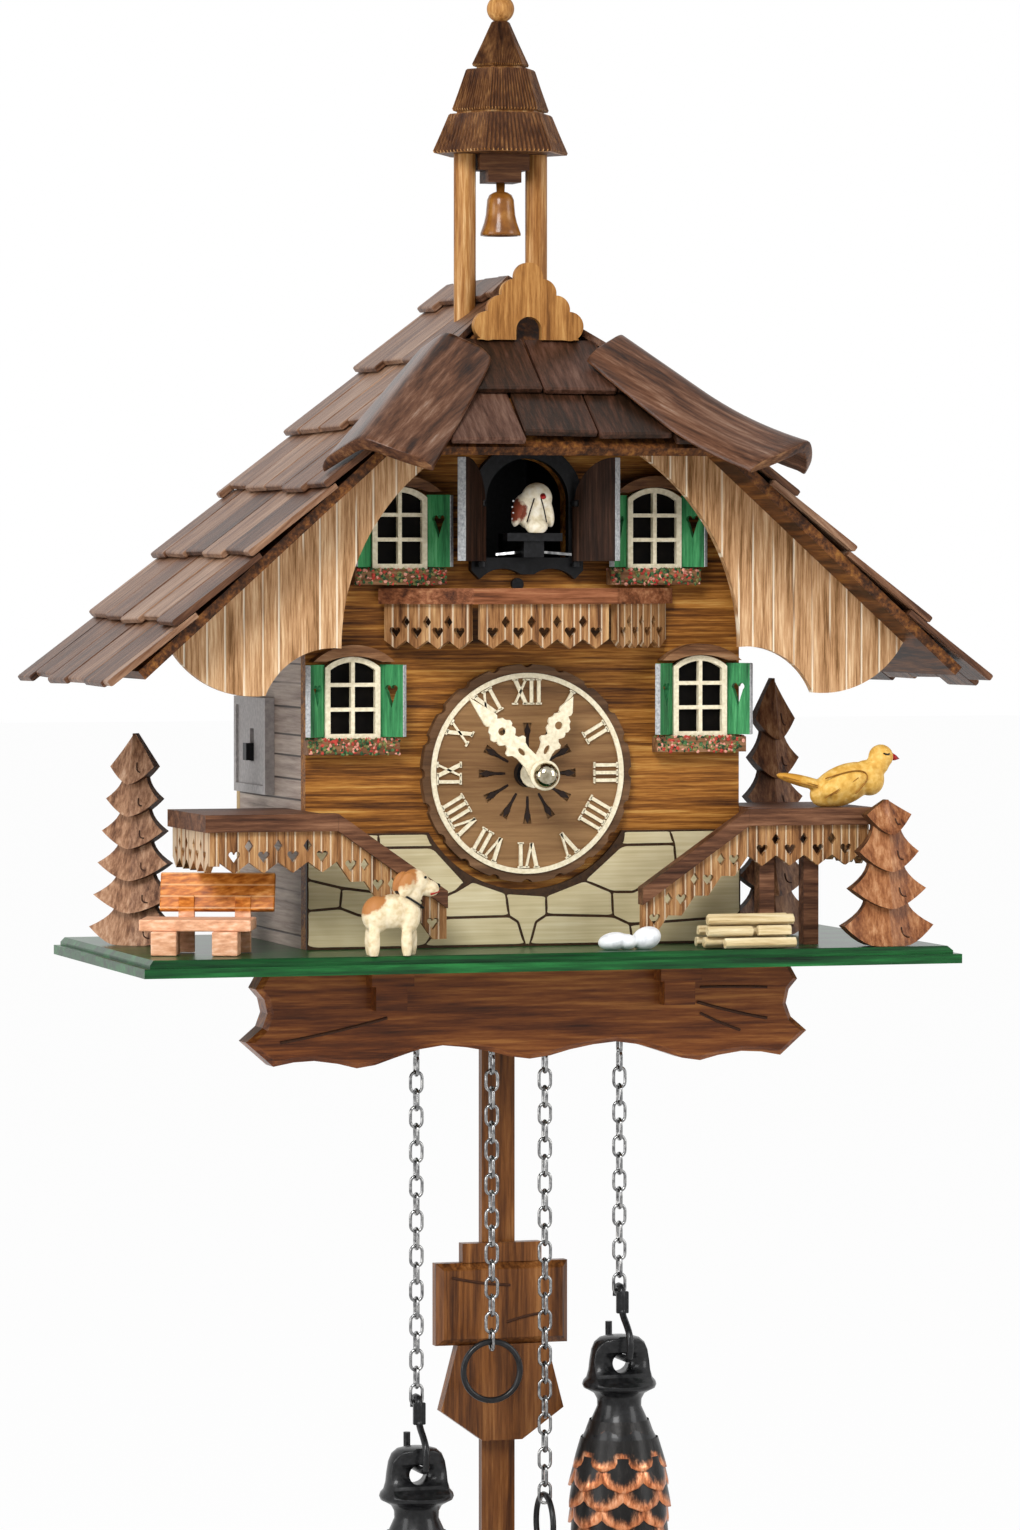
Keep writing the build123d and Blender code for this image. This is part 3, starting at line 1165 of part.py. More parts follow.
with BuildPart() as dog:
    with BuildSketch(face(27)):
        x, z = -58, SEAT
        outline((x + 2, z), (x + 6.2, z), (x + 6.4, z + 7), (x + 11.5, z + 7), (x + 12.3, z), (x + 17.5, z),
                (x + 17.8, z + 9), (x + 18.4, z + 12.5), (x + 23.2, z + 16), (x + 23.8, z + 19.5),
                (x + 21, z + 22.6),
                (x + 18, z + 25), (x + 13.8, z + 24.2), (x + 12, z + 18.4), (x + 6.5, z + 16.4),
                (x + 1.5, z + 11.5))
    extrude(amount=8)
    with BuildSketch(flank(-60)):
        with Locations((-31, SEAT + 3.4)):
            Rectangle(2.4, 6.8)
    extrude(amount=26, mode=Mode.SUBTRACT)
    chamfer(dog.edges().filter_by(Axis.Y).group_by(Axis.Z)[-1], 0.8)

with BuildPart() as log_pile:
    log, gap = 2.75, 0.15
    for out, tier in ((0, 0), (1, 0), (2, 0), (0.5, 1), (1.5, 1)):
        with BuildSketch(flank(45 + 1.5 * tier)):
            with Locations((-31.8 + out * (2 * log + gap), SEAT + log + tier * (sqrt(3) * log + gap))):
                Circle(log)
        extrude(amount=26)

with BuildPart() as pebbles:
    for x, size in ((20.5, 5.0), (30, 4.2)):
        with BuildSketch(level(SEAT)):
            with Locations((x, -23)):
                Circle(size)
        extrude(amount=size, taper=24)

with BuildPart() as yellow_bird:
    with BuildSketch(face(8)):
        x, z = 73, RAIL_CAP_HIGH + SEAT
        outline((x, z + 5.8), (x + 4, z + 3), (x + 15, z), (x + 23, z), (x + 28, z + 1.2),
                (x + 31.4, z + 4.6),
                (x + 33.2, z + 9.2), (x + 34, z + 12), (x + 37, z + 13.8), (x + 34.2, z + 15.4),
                (x + 33, z + 17.2),
                (x + 30.6, z + 18), (x + 27.6, z + 16.8), (x + 24.4, z + 13), (x + 19, z + 9.6),
                (x + 8, z + 7.6))
    extrude(amount=9)
    chamfer(yellow_bird.edges().filter_by(Axis.Y).group_by(Axis.Z)[-1], 0.6)

# Side switch
SWITCH_FACE = -WALL_HALF - SEAT
with BuildPart() as switch_plate:
    with BuildSketch(flank(SWITCH_FACE)):
        with Locations((SWITCH_BACK, SWITCH_HEIGHT)):
            Rectangle(SWITCH_WIDTH, SWITCH_TALL)
    extrude(amount=-SWITCH_THICK)
    with BuildSketch(flank(SWITCH_FACE - SWITCH_THICK)):
        with Locations((SWITCH_BACK, SWITCH_HEIGHT)):
            Rectangle(SWITCH_WIDTH - 5, SWITCH_TALL - 5)
    extrude(amount=0.8, mode=Mode.SUBTRACT)
    with BuildSketch(flank(SWITCH_FACE - SWITCH_THICK)):
        with Locations((SWITCH_BACK, SWITCH_HEIGHT)):
            Rectangle(KNOB_WIDTH + 2 * FREE, KNOB_TALL + KNOB_TRAVEL + 2 * FREE)
    extrude(amount=SWITCH_THICK - 0.6, mode=Mode.SUBTRACT)

with BuildPart() as switch_knob:
    with BuildSketch(flank(SWITCH_FACE - 0.6 - SEAT)):
        with Locations((SWITCH_BACK, SWITCH_HEIGHT - KNOB_TRAVEL / 2)):
            Rectangle(KNOB_WIDTH, KNOB_TALL)
    extrude(amount=-(SWITCH_THICK - 0.6 + KNOB_OUT - 0.8))

# Pendulum: a flat rod on the movement's pin, with a carved bob in front
with BuildPart() as pendulum_rod:
    with BuildSketch(face(-PENDULUM_BACK + ROD_THICK / 2)):
        with Locations((0, PENDULUM_HEIGHT)):
            Circle(ROD_WIDTH / 2)
        with Locations((0, (PENDULUM_HEIGHT + ROD_END) / 2)):
            Rectangle(ROD_WIDTH, PENDULUM_HEIGHT - ROD_END)
        with Locations((0, PENDULUM_HEIGHT)):
            Circle(PENDULUM_PIN + RUN, mode=Mode.SUBTRACT)
    extrude(amount=-ROD_THICK)

BOB_FACE = ROD_THICK / 2 - PENDULUM_BACK + SEAT
with BuildPart() as pendulum_bob:
    half = BOB_WIDTH / 2
    with BuildSketch(face(BOB_FACE)):
        with Locations((0, BOB_HIGH - 2.8)):
            Rectangle(BOB_WIDTH * 0.6, 5.6)
    extrude(amount=BOB_THICK - 1.5)
    with BuildSketch(face(BOB_FACE)):
        with Locations((0, BOB_HIGH - 5.6 - SEAT - 12)):
            Rectangle(BOB_WIDTH, 24)
    extrude(amount=BOB_THICK)
    chamfer(pendulum_bob.faces().sort_by(Axis.Y)[0].edges(), 2)
    with BuildSketch(face(BOB_FACE)):
        top = BOB_HIGH - 29.6 - 2 * SEAT
        outline((-half * 0.68, top), (half * 0.68, top), (half * 0.93, BOB_LOW + 9),
                (ROD_WIDTH / 2 + 1, BOB_LOW),
                (-ROD_WIDTH / 2 - 1, BOB_LOW), (-half * 0.93, BOB_LOW + 9))
    extrude(amount=BOB_THICK - 1)


# Chains: eight-sided links, every second one turned a quarter
def link_outline(half_width, half_length, wire):
    """Flattened ring of a link in the open sketch."""
    for inset, mode in ((0, Mode.ADD), (wire, Mode.SUBTRACT)):
        wide, tall = half_width - inset, half_length - inset
        bevel = wide * 0.55
        Polygon((wide, tall - bevel), (wide - bevel, tall), (bevel - wide, tall), (-wide, tall - bevel),
                (-wide, bevel - tall), (bevel - wide, -tall), (wide - bevel, -tall), (wide, bevel - tall),
                align=None,
                mode=mode)


def chain_link(x, height, edge_on):
    """One link about its middle, seen flat from the front or edge on."""
    plane = flank(x) if edge_on else face(-CHAIN_BACK)
    centre = Vector(x, FRONT + CHAIN_BACK, BASE_TOP + height)
    middle = Plane(origin=centre, x_dir=plane.x_dir, z_dir=plane.z_dir)
    with BuildSketch(middle.offset(-LINK_WIRE / 2)) as ring:
        link_outline(LINK_WIDTH / 2, (LINK_PITCH + LINK_PLAY) / 2 + LINK_WIRE, LINK_WIRE)
    extrude(ring.sketch, amount=LINK_WIRE)


def strand(x, count, high):
    """A run of links below a height, whose first link is edge on."""
    for step in range(count):
        chain_link(x, high - (step + 0.5) * LINK_PITCH, step % 2 == 0)


STUB_LOW = CHAIN_HIGH - STUB_LINKS * LINK_PITCH
with BuildPart() as chain_stubs:
    for x in (-CHAIN_OUTER, -CHAIN_INNER, CHAIN_INNER, CHAIN_OUTER):
        for step in range(STUB_LINKS):
            chain_link(x, CHAIN_HIGH - (step + 0.5) * LINK_PITCH + LINK_PITCH / 2, step % 2 == 1)
STRAND_HIGH = STUB_LOW + LINK_PITCH / 2


def hook(x, high):
    """A weight hook in a plane square to the front: over the last link and through the cone's eye."""
    top = high + LINK_PITCH / 2 - LINK_WIRE
    low = high - HOOK_DROP - CONE_EYE_DROP
    points = ((CHAIN_BACK + 3, top - 3), (CHAIN_BACK + 3, top), (CHAIN_BACK - 3, top),
              (CHAIN_BACK - 3, high - HOOK_DROP + 5),
              (CHAIN_BACK - HOOK_REACH, high - HOOK_DROP + 1), (CHAIN_BACK - HOOK_REACH, low),
              (CHAIN_BACK + HOOK_REACH, low),
              (CHAIN_BACK + HOOK_REACH, low + HOOK_TIP))
    half = HOOK_WIRE / 2
    with BuildSketch(flank(x - half)) as wire:
        outline(*ribbon(points, half))
    extrude(wire.sketch, amount=HOOK_WIRE)


with BuildPart() as chain_left:
    strand(-CHAIN_OUTER, LEFT_WEIGHT_LINKS, STRAND_HIGH)
    strand(-CHAIN_INNER, LEFT_RING_LINKS, STRAND_HIGH)
    hook(-CHAIN_OUTER, STRAND_HIGH - LEFT_WEIGHT_LINKS * LINK_PITCH)

with BuildPart() as chain_right:
    strand(CHAIN_INNER, RIGHT_RING_LINKS, STRAND_HIGH)
    strand(CHAIN_OUTER, RIGHT_WEIGHT_LINKS, STRAND_HIGH)
    hook(CHAIN_OUTER, STRAND_HIGH - RIGHT_WEIGHT_LINKS * LINK_PITCH)


def loop_ring(x, links, edge_on):
    """A round ring through the last link of a strand."""
    high = STRAND_HIGH - links * LINK_PITCH
    centre = place(x, CHAIN_BACK, high + FREE - RING_LOOP_RADIUS + RING_LOOP_WIRE)
    middle = Plane(origin=centre, x_dir=(0, 1, 0), z_dir=(1, 0, 0)) if edge_on else Plane(
        origin=centre, x_dir=(1, 0, 0), z_dir=(0, -1, 0))
    with BuildPart() as ring:
        with BuildSketch(middle.offset(-RING_LOOP_WIRE / 2)):
            Circle(RING_LOOP_RADIUS)
            Circle(RING_LOOP_RADIUS - RING_LOOP_WIRE, mode=Mode.SUBTRACT)
        extrude(amount=RING_LOOP_WIRE)
    return ring


ring_left = loop_ring(-CHAIN_INNER, LEFT_RING_LINKS, False)
ring_right = loop_ring(CHAIN_INNER, RIGHT_RING_LINKS, True)


def pine_cone(x, links):
    """A cone weight with a domed cap, a collar and an eye for the hook."""
    high = STRAND_HIGH - links * LINK_PITCH - HOOK_DROP
    axis = Axis(place(x, CHAIN_BACK, 0), (0, 0, 1))
    with BuildPart() as cone:
        with BuildSketch(flank(x)):
            def at(radius, drop):
                return (CHAIN_BACK + radius, high - drop)
            with BuildLine():
                ThreePointArc(at(0, 0), at(6.2, 2.6), at(8.6, 8.6))
                Polyline(at(8.6, 8.6), at(10.75, 15), at(10.75, 17.2), at(7.3, 19.5), at(7.3, 22),
                         at(10.6, 26.5), at(13.4, 37),
                         at(14.35, 50), at(13.2, 64), at(10, 79), at(5, 90), at(0, 95), at(0, 0))
            make_face()
        revolve(axis=axis)
        with BuildSketch(face(HOOK_REACH)):
            with Locations((x, high - CONE_EYE_DROP - CONE_EYE_RADIUS + HOOK_WIRE / 2 + FREE)):
                Circle(CONE_EYE_RADIUS)
        extrude(amount=-4 * HOOK_REACH, mode=Mode.SUBTRACT)
    return cone


cone_left = pine_cone(-CHAIN_OUTER, LEFT_WEIGHT_LINKS)
cone_right = pine_cone(CHAIN_OUTER, RIGHT_WEIGHT_LINKS)

PIECES = {
    "front_wall": front_wall, "left_wall": left_wall, "right_wall": right_wall, "back_panel": back_panel,
    "base_plate": base_plate, "apron_board": apron_board, "roof_board_left": roof_board_left,
    "roof_board_right": roof_board_right, "roof_hip_board": roof_hip_board, "shingles_left": shingles_left,
    "shingles_right": shingles_right, "shingles_hip": shingles_hip, "hip_caps": hip_caps, "crest": crest,
    "gable_panels": gable_panels, "tower_posts": tower_posts, "tower_roof": tower_roof,
          "bell_beam": bell_beam,
    "bell": bell, "dial_disc": dial_disc, "numeral_ring": numeral_ring, "quartz_movement": quartz_movement,
    "battery_cell": battery_cell, "hour_hand": hour_hand, "minute_hand": minute_hand,
          "hand_arbor": hand_arbor,
    "door_surround": door_surround, "left_door": left_door, "right_door": right_door,
          "cuckoo_box": cuckoo_box,
    "bird_carriage": bird_carriage, "cuckoo_bird": cuckoo_bird, "door_wires": door_wires,
    "window_panes": window_panes, "window_frames": window_frames,
    "shutters": shutters, "window_lintels": window_lintels, "flower_boxes": flower_boxes,
    "balcony_cap": balcony_cap, "balcony_pickets": balcony_pickets, "rail_caps": rail_caps,
    "rail_pickets": rail_pickets, "stone_plinth": stone_plinth, "carved_trees": carved_trees,
          "bench": bench,
    "dog": dog, "log_pile": log_pile, "pebbles": pebbles, "yellow_bird": yellow_bird,
    "switch_plate": switch_plate, "switch_knob": switch_knob, "pendulum_rod": pendulum_rod,
    "pendulum_bob": pendulum_bob, "chain_stubs": chain_stubs, "chain_left": chain_left,
    "chain_right": chain_right, "ring_left": ring_left, "ring_right": ring_right, "cone_left": cone_left,
    "cone_right": cone_right,
}

os.makedirs("parts", exist_ok=True)
for name, piece in PIECES.items():
    piece.part.label = name
    export_step(piece.part, f"parts/{name}.step")
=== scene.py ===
# %% [markdown]
# # Cuckoo clock
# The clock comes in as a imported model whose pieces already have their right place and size, in metres.
# This lesson gives every wooden, painted and metal surface its finish. It then builds finer pieces where a
# carver, a wire bender or a foundry gave the real one more shape than a plain solid has.

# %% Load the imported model
import random
from math import cos, hypot, pi, radians, sin, sqrt

import bmesh
import bpy
from mathutils import Euler, Matrix, Vector


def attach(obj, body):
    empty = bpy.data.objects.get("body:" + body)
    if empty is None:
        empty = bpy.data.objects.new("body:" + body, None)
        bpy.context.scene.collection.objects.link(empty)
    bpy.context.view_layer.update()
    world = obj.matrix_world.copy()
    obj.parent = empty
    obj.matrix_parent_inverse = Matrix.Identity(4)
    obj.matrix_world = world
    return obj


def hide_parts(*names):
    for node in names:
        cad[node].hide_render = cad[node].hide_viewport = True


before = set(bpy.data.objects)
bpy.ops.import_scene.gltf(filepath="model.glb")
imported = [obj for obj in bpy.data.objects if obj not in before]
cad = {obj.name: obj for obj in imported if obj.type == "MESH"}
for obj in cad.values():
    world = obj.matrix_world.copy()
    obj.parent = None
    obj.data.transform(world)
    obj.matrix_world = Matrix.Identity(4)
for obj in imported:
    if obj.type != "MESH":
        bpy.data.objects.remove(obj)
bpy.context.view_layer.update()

scene = bpy.context.scene

# %% [markdown]
# A clockmaker measures from the foot of the front wall, so a place here is given in millimetres across, back
# and up from that foot. Colours are written as on a paint chart, in sRGB hex, and turned to linear light once.
# A single function adds every node of every tree, so each line below reads as one step of a recipe.

# %% Places, colours and one way to add a node
MM = 0.001
FOOT_BACK, FOOT_UP = -80.0, -120.0  # the wall's foot, seen from the middle of the hanging hole
SQUARE = (1, 0, 0), (0, 1, 0), (0, 0, 1)  # the directions of a board that stands straight


def at(across, back, up):
    return Vector((across, back + FOOT_BACK, up + FOOT_UP)) * MM


def rgb(code):
    parts = [int(code[i:i + 2], 16) / 255 for i in (0, 2, 4)]
    return [c / 12.92 if c <= 0.04045 else ((c + 0.055) / 1.055) ** 2.4 for c in parts] + [1.0]


def per(size_mm):
    """How many features of this size fit in a metre, which is what a texture's scale counts."""
    return 1.0 / (size_mm * MM)


def put(tree, kind, inputs=None, stops=None, take=0, **settings):
    """Add one node with its settings, its values or links and a ramp's stops, and give the output to take."""
    made = tree.nodes.new(kind)
    for key, value in settings.items():
        setattr(made, key, value)
    for key, value in (inputs or {}).items():
        if isinstance(value, bpy.types.NodeSocket):
            tree.links.new(value, made.inputs[key])
        else:
            made.inputs[key].default_value = value
    if stops:
        bar = made.color_ramp.elements
        while len(bar) < len(stops):
            bar.new(0.5)
        for spot, (place, code) in zip(bar, stops):
            spot.position = place
            spot.color = rgb(code)
    return made.outputs if take is None else made.outputs[take]


def new_finish(name, values):
    """A material whose shader has these values, with its node tree and the piece's own coordinates."""
    made = bpy.data.materials.new(name)
    made.use_nodes = True
    tree = made.node_tree
    for title, value in values.items():
        tree.nodes["Principled BSDF"].inputs[title].default_value = value
    return made, tree, put(tree, "ShaderNodeTexCoord", take="Object")


def finished(made, links, height, strength, depth_mm):
    """Join what was worked out to the shader, over a shallow relief that follows the height."""
    tree = made.node_tree
    relief = put(tree, "ShaderNodeBump", {"Strength": strength, "Distance": depth_mm * MM, "Height": height})
    for title, socket in {**links, "Normal": relief}.items():
        tree.links.new(socket, tree.nodes["Principled BSDF"].inputs[title])
    return made


print("helpers ready")

# %% [markdown]
# ## Wood
# Nearly all of the clock is wood: spruce and lime for the carvings, oak veneer for the panels, beech for the
# turned pieces. Sawn wood shows fine pores drawn out along the grain over broad bands of early and late
# growth. A noise texture squeezed along one axis gives both, and a ramp turns it into the stain's tones.
# Planked boards add scored joints, which an uneven one-dimensional cell texture draws.


# %% A stained wood
def stained_wood(name, tones, pore_mm=1.1, along="X", draw=0.05, turn=(0, 0, 0), roughness=0.5, coat=0.0,
                 relief=0.35, between=0.0, joints=None, contrast=1.45, painted_shade=None):
    """Pores drawn out along one axis, with more or less tone between boards, joints, or a patch of painted shade."""
    made, tree, where = new_finish(name, {"Roughness": roughness, "Specular IOR Level": 0.14,
                                          "Coat Weight": coat, "Coat Roughness": 0.18})
    turned = put(tree, "ShaderNodeMapping", {"Vector": where, "Rotation": turn})
    squeeze = [draw if axis == along else 1.0 for axis in "XYZ"]
    drawn = put(tree, "ShaderNodeMapping", {"Vector": turned, "Scale": squeeze})
    bands = put(tree, "ShaderNodeTexNoise", {"Vector": drawn, "Scale": per(pore_mm * 4.5), "Detail": 2.0,
                                             "Distortion": 0.8})
    pores = put(tree, "ShaderNodeTexNoise", {"Vector": drawn, "Scale": per(pore_mm), "Detail": 5.0,
                                             "Roughness": 0.7})
    tone = put(tree, "ShaderNodeMix", {0: 0.58, 2: bands, 3: pores})
    tone = put(tree, "ShaderNodeMath", {0: tone, 1: contrast, 2: 0.5 - 0.5 * contrast}, operation="MULTIPLY_ADD")
    if between:
        board = put(tree, "ShaderNodeNewGeometry", take="Random Per Island")
        centred = put(tree, "ShaderNodeMath", {0: board, 1: 0.5}, operation="SUBTRACT")
        tone = put(tree, "ShaderNodeMath", {0: centred, 1: between, 2: tone}, operation="MULTIPLY_ADD")
    colour = put(tree, "ShaderNodeValToRGB", {0: tone}, tones)
    height = pores
    if joints:
        axis, pitch, width, code, strength = joints
        run = put(tree, "ShaderNodeSeparateXYZ", {0: turned}, take=axis)
        boards = put(tree, "ShaderNodeTexVoronoi", {"W": run, "Scale": per(pitch), "Randomness": 0.75},
                     take="Distance", voronoi_dimensions="1D", feature="DISTANCE_TO_EDGE")
        scored = put(tree, "ShaderNodeMapRange", {0: boards, 1: width / pitch, 2: 0.35 * width / pitch},
                     interpolation_type="SMOOTHSTEP")
        filled = put(tree, "ShaderNodeTexNoise", {"Vector": drawn, "Scale": per(pore_mm * 3.2), "Detail": 1.0})
        kept = put(tree, "ShaderNodeMapRange", {0: filled, 1: 0.34, 2: 0.5}, interpolation_type="SMOOTHSTEP")
        shown = put(tree, "ShaderNodeMath", {0: scored, 1: kept}, operation="MULTIPLY")
        share = put(tree, "ShaderNodeMath", {0: shown, 1: strength}, operation="MULTIPLY")
        colour = put(tree, "ShaderNodeMix", {0: share, 6: colour, 7: rgb(code)}, take=2, data_type="RGBA")
        height = put(tree, "ShaderNodeMath", {0: height, 1: shown}, operation="SUBTRACT")
    # Painted shade: a near-black patch mixed into the colour where a piece in front shades the wood.
    if painted_shade:
        place = put(tree, "ShaderNodeSeparateXYZ", {0: where}, take=None)
        share, soft = 0.85, 2
        for axis, middle, half in painted_shade:
            off = put(tree, "ShaderNodeMath", {0: place[axis], 1: middle * MM}, operation="SUBTRACT")
            off = put(tree, "ShaderNodeMath", {0: off}, operation="ABSOLUTE")
            inside = put(tree, "ShaderNodeMapRange", {0: off, 1: half * MM, 2: (half - soft) * MM})
            share = put(tree, "ShaderNodeMath", {0: inside, 1: share}, operation="MULTIPLY")
        colour = put(tree, "ShaderNodeMix", {0: share, 6: colour, 7: rgb("0e0704")}, take=2, data_type="RGBA")
    return finished(made, {"Base Color": colour}, height, relief, 0.4)


print("one recipe for wood")

# %% [markdown]
# Every wood below is that recipe with its own stain, pore size and direction of grain. The pores are drawn at
# about a millimetre, which is coarser than real ones, because those are too fine to show.

# %% Woods of the house
PITCH = radians(41.8)  # of all three roof slopes
# Stained spruce on the front wall: long dark and orange bands, a low sheen, and the balcony's shade painted dark on
# the wall behind it.
wall_spruce = stained_wood(
    "stained_spruce", [(0.28, "2e180a"), (0.40, "5f3815"), (0.50, "82501f"), (0.60, "a66f30"), (0.76, "c69a55")],
    0.7, "X", 0.035, relief=0.3, contrast=1.5, painted_shade=[("X", 0.0, 41.0), ("Z", -28.0, 6.4)])
# Oak veneer on the gable: short pores, planked with pale filled joints.
gable_oak = stained_wood(
    "oak_veneer", [(0.30, "6f4c2a"), (0.43, "a07750"), (0.55, "bd946b"), (0.70, "d8b891")],
    0.55, "Z", 0.05, relief=0.4, joints=("X", 5.4, 0.36, "f0e4cc", 0.7))
# Sawn oak pickets: coarse and dark in the pores, with pale saw marks.
picket_oak = stained_wood(
    "sawn_oak", [(0.30, "472a16"), (0.44, "7f5531"), (0.56, "9d7349"), (0.72, "bf9a6c")],
    0.85, "Z", 0.06, relief=0.5, joints=("X", 2.8, 0.32, "e2d0b4", 0.55))
# Walnut-stained beech on the stair rails: even and dark.
rail_beech = stained_wood(
    "walnut_stained_beech", [(0.30, "2b180f"), (0.46, "4d3020"), (0.58, "67442f"), (0.75, "8a6349")],
    1.1, "X", 0.06)
# The balcony's beech took a redder stain.
balcony_beech = stained_wood(
    "red_stained_beech", [(0.30, "3a1f12"), (0.46, "693c22"), (0.58, "875336"), (0.75, "ab7a55")], 1.1, "X", 0.06)
# Brown oak over the windows and on the flower boxes, a little greyer than the wall.
lintel_oak = stained_wood(
    "brown_oak", [(0.3, "43291a"), (0.48, "704c31"), (0.62, "8b6647"), (0.78, "a98663")], 1.1, "X", 0.08)
# Weathered siding: grey stain, scored by hand into boards.
siding = stained_wood(
    "weathered_siding", [(0.30, "76675d"), (0.46, "a08f84"), (0.60, "b5a598"), (0.75, "c9bcb0")],
    1.4, "Y", 0.05, relief=0.4, joints=("Z", 6.4, 0.42, "2b2321", 0.9))
# Birch plywood on the back: pale, with faint broad bands.
back_ply = stained_wood(
    "birch_ply", [(0.3, "8e6c45"), (0.48, "b08f62"), (0.62, "c3a678"), (0.78, "d4bc93")], 2.0, "Z", 0.06)
# Nearly black walnut stain on the cuckoo's doors.
door_walnut = stained_wood(
    "door_walnut", [(0.30, "140b07"), (0.44, "27170e"), (0.56, "382318"), (0.72, "503728")], 1.1, "Z", 0.06)
# Green stain on the shutters, thin enough for the grain to show through.
shutter_stain = stained_wood(
    "green_stain", [(0.28, "1a482b"), (0.44, "2c7043"), (0.58, "3a8651"), (0.74, "59a26d")],
    0.8, "Z", 0.08, relief=0.3)
# Brushed green enamel over the base board: glossy, with streaks of the brush.
base_enamel = stained_wood(
    "green_enamel", [(0.28, "07170a"), (0.42, "0e341a"), (0.56, "144c23"), (0.72, "236c35")],
    1.6, "X", 0.05, roughness=0.3, coat=0.12, relief=0.12)
print("woods so far", len(bpy.data.materials))

# %% Woods of the roof, the tower and the carvings
# Split shingles: grey-brown, and each board has taken the stain in its own way.
SHINGLE_TONES = [(0.20, "26150c"), (0.36, "4c3020"), (0.50, "6b4a35"), (0.63, "86664f"), (0.82, "a88870")]
HIP_TONES = [(0.2, "100804"), (0.4, "26170d"), (0.52, "3a2317"), (0.64, "4e3327"), (0.82, "6a4f41")]
left_shingle, right_shingle, hip_shingle = [
    stained_wood("split_shingle_" + side, tones, 1.2, along, 0.06, turn, 0.4, 0.05, 0.5, 0.3)
    for side, tones, along, turn in (("left", SHINGLE_TONES, "X", (0, PITCH, 0)),
                                     ("right", SHINGLE_TONES, "X", (0, -PITCH, 0)),
                                     ("hip", HIP_TONES, "Y", (-PITCH, 0, 0)))]
# Spruce boards under the shingles: their sawn edges show dark and orange.
roof_board = stained_wood(
    "roof_spruce", [(0.3, "1a0f09"), (0.45, "3a2212"), (0.58, "643c1e"), (0.74, "8e602d")], 1.4, "Y", 0.06)
# Carved and polished caps over the hips: long streaks under a clear coat.
CAP_TONES = [(0.28, "1b0d07"), (0.42, "3d2313"), (0.55, "593825"), (0.68, "755643"), (0.84, "968375")]
left_cap_lime, right_cap_lime = [
    stained_wood("polished_lime_" + side, CAP_TONES, 1.3, "X", 0.06, (0, -sign * PITCH * 0.8, sign * 0.7),
                 0.3, 0.14, 0.3) for side, sign in (("left", -1), ("right", 1))]
# Golden oak on the crest and the finial, with the warmest tone of all.
crest_oak = stained_wood(
    "golden_oak", [(0.30, "613b19"), (0.44, "8a5b2b"), (0.57, "a67640"), (0.72, "c1955a")], 0.9, "Z", 0.07)
# Turned dowels: pale and close-grained, a little shinier than sawn wood.
post_ramin = stained_wood(
    "turned_dowel", [(0.28, "5e3616"), (0.44, "8a5a2b"), (0.58, "ab7d49"), (0.75, "d2ae80")],
    0.8, "Z", 0.05, roughness=0.4)
# Dark spruce on beams and on sawn edges.
beam_spruce = stained_wood(
    "dark_spruce", [(0.30, "22120a"), (0.44, "422718"), (0.56, "5a3923"), (0.72, "7e5a3b")], 1.1, "X", 0.06)
# Lime of the spire, stained dark before it was grooved.
spire_lime = stained_wood(
    "grooved_lime", [(0.28, "24130a"), (0.43, "482b18"), (0.56, "634024"), (0.72, "87603a")], 1.0, "Z", 0.08)
# Lacquered lime on the apron and the pendulum: deep brown under a clear coat.
apron_lime = stained_wood(
    "lacquered_lime", [(0.28, "2e1508"), (0.43, "572c12"), (0.55, "75411c"), (0.70, "96602f")],
    1.4, "X", 0.05, roughness=0.36, coat=0.1, relief=0.2)
bob_lime = stained_wood(
    "pendulum_lime", [(0.28, "351d0e"), (0.43, "583317"), (0.56, "734621"), (0.72, "926337")],
    1.2, "Z", 0.05, roughness=0.34, coat=0.1, relief=0.2)
# Carved firs: three pieces of lime that took the same brown stain unevenly, one of them greyer, one warmer.
fir_lime = stained_wood(
    "carved_lime", [(0.28, "2e180d"), (0.44, "5f3b24"), (0.57, "7c5437"), (0.74, "a07a58")],
    1.0, "Z", 0.12, roughness=0.42, coat=0.05, relief=0.3)
left_fir_lime = stained_wood(
    "carved_lime_grey", [(0.28, "4a2e1f"), (0.44, "805b43"), (0.57, "a07a5e"), (0.74, "bf9d83")],
    1.0, "Z", 0.12, roughness=0.45, relief=0.3)
right_fir_lime = stained_wood(
    "carved_lime_warm", [(0.28, "472310"), (0.44, "764526"), (0.57, "96623d"), (0.74, "b98a63")],
    1.0, "Z", 0.12, roughness=0.4, coat=0.05, relief=0.3)
# Split spruce for the firewood: bare and pale.
log_spruce = stained_wood(
    "split_spruce", [(0.3, "a98f63"), (0.48, "cdb88c"), (0.62, "dfcfa9"), (0.78, "efe4c8")], 0.9, "X", 0.06)
print("woods", len(bpy.data.materials))

# %% [markdown]
# ## Plastics, metals and paint
# Moulded plastic, plated wire and cast iron have an even colour with a fine unevenness in it and in the gloss.
# One noise texture drives the colour, the roughness and a shallow bump. The grain is drawn a little coarser
# than on the real surface, because moulding texture is too fine to show.


# %% A moulded, plated or cast surface
def cast_surface(name, tones, grain_mm=0.9, roughness=0.6, metallic=0.0, coat=0.0, relief=0.1, shine=0.2):
    made, tree, where = new_finish(name, {"Metallic": metallic, "Specular IOR Level": shine, "Coat Weight": coat})
    cloud = put(tree, "ShaderNodeTexNoise", {"Vector": where, "Scale": per(grain_mm), "Detail": 4.0})
    colour = put(tree, "ShaderNodeValToRGB", {0: cloud}, tones)
    gloss = put(tree, "ShaderNodeMapRange", {0: cloud, 1: 0.2, 2: 0.8, 3: roughness - 0.05, 4: roughness + 0.07})
    return finished(made, {"Base Color": colour, "Roughness": gloss}, cloud, relief, 0.2)


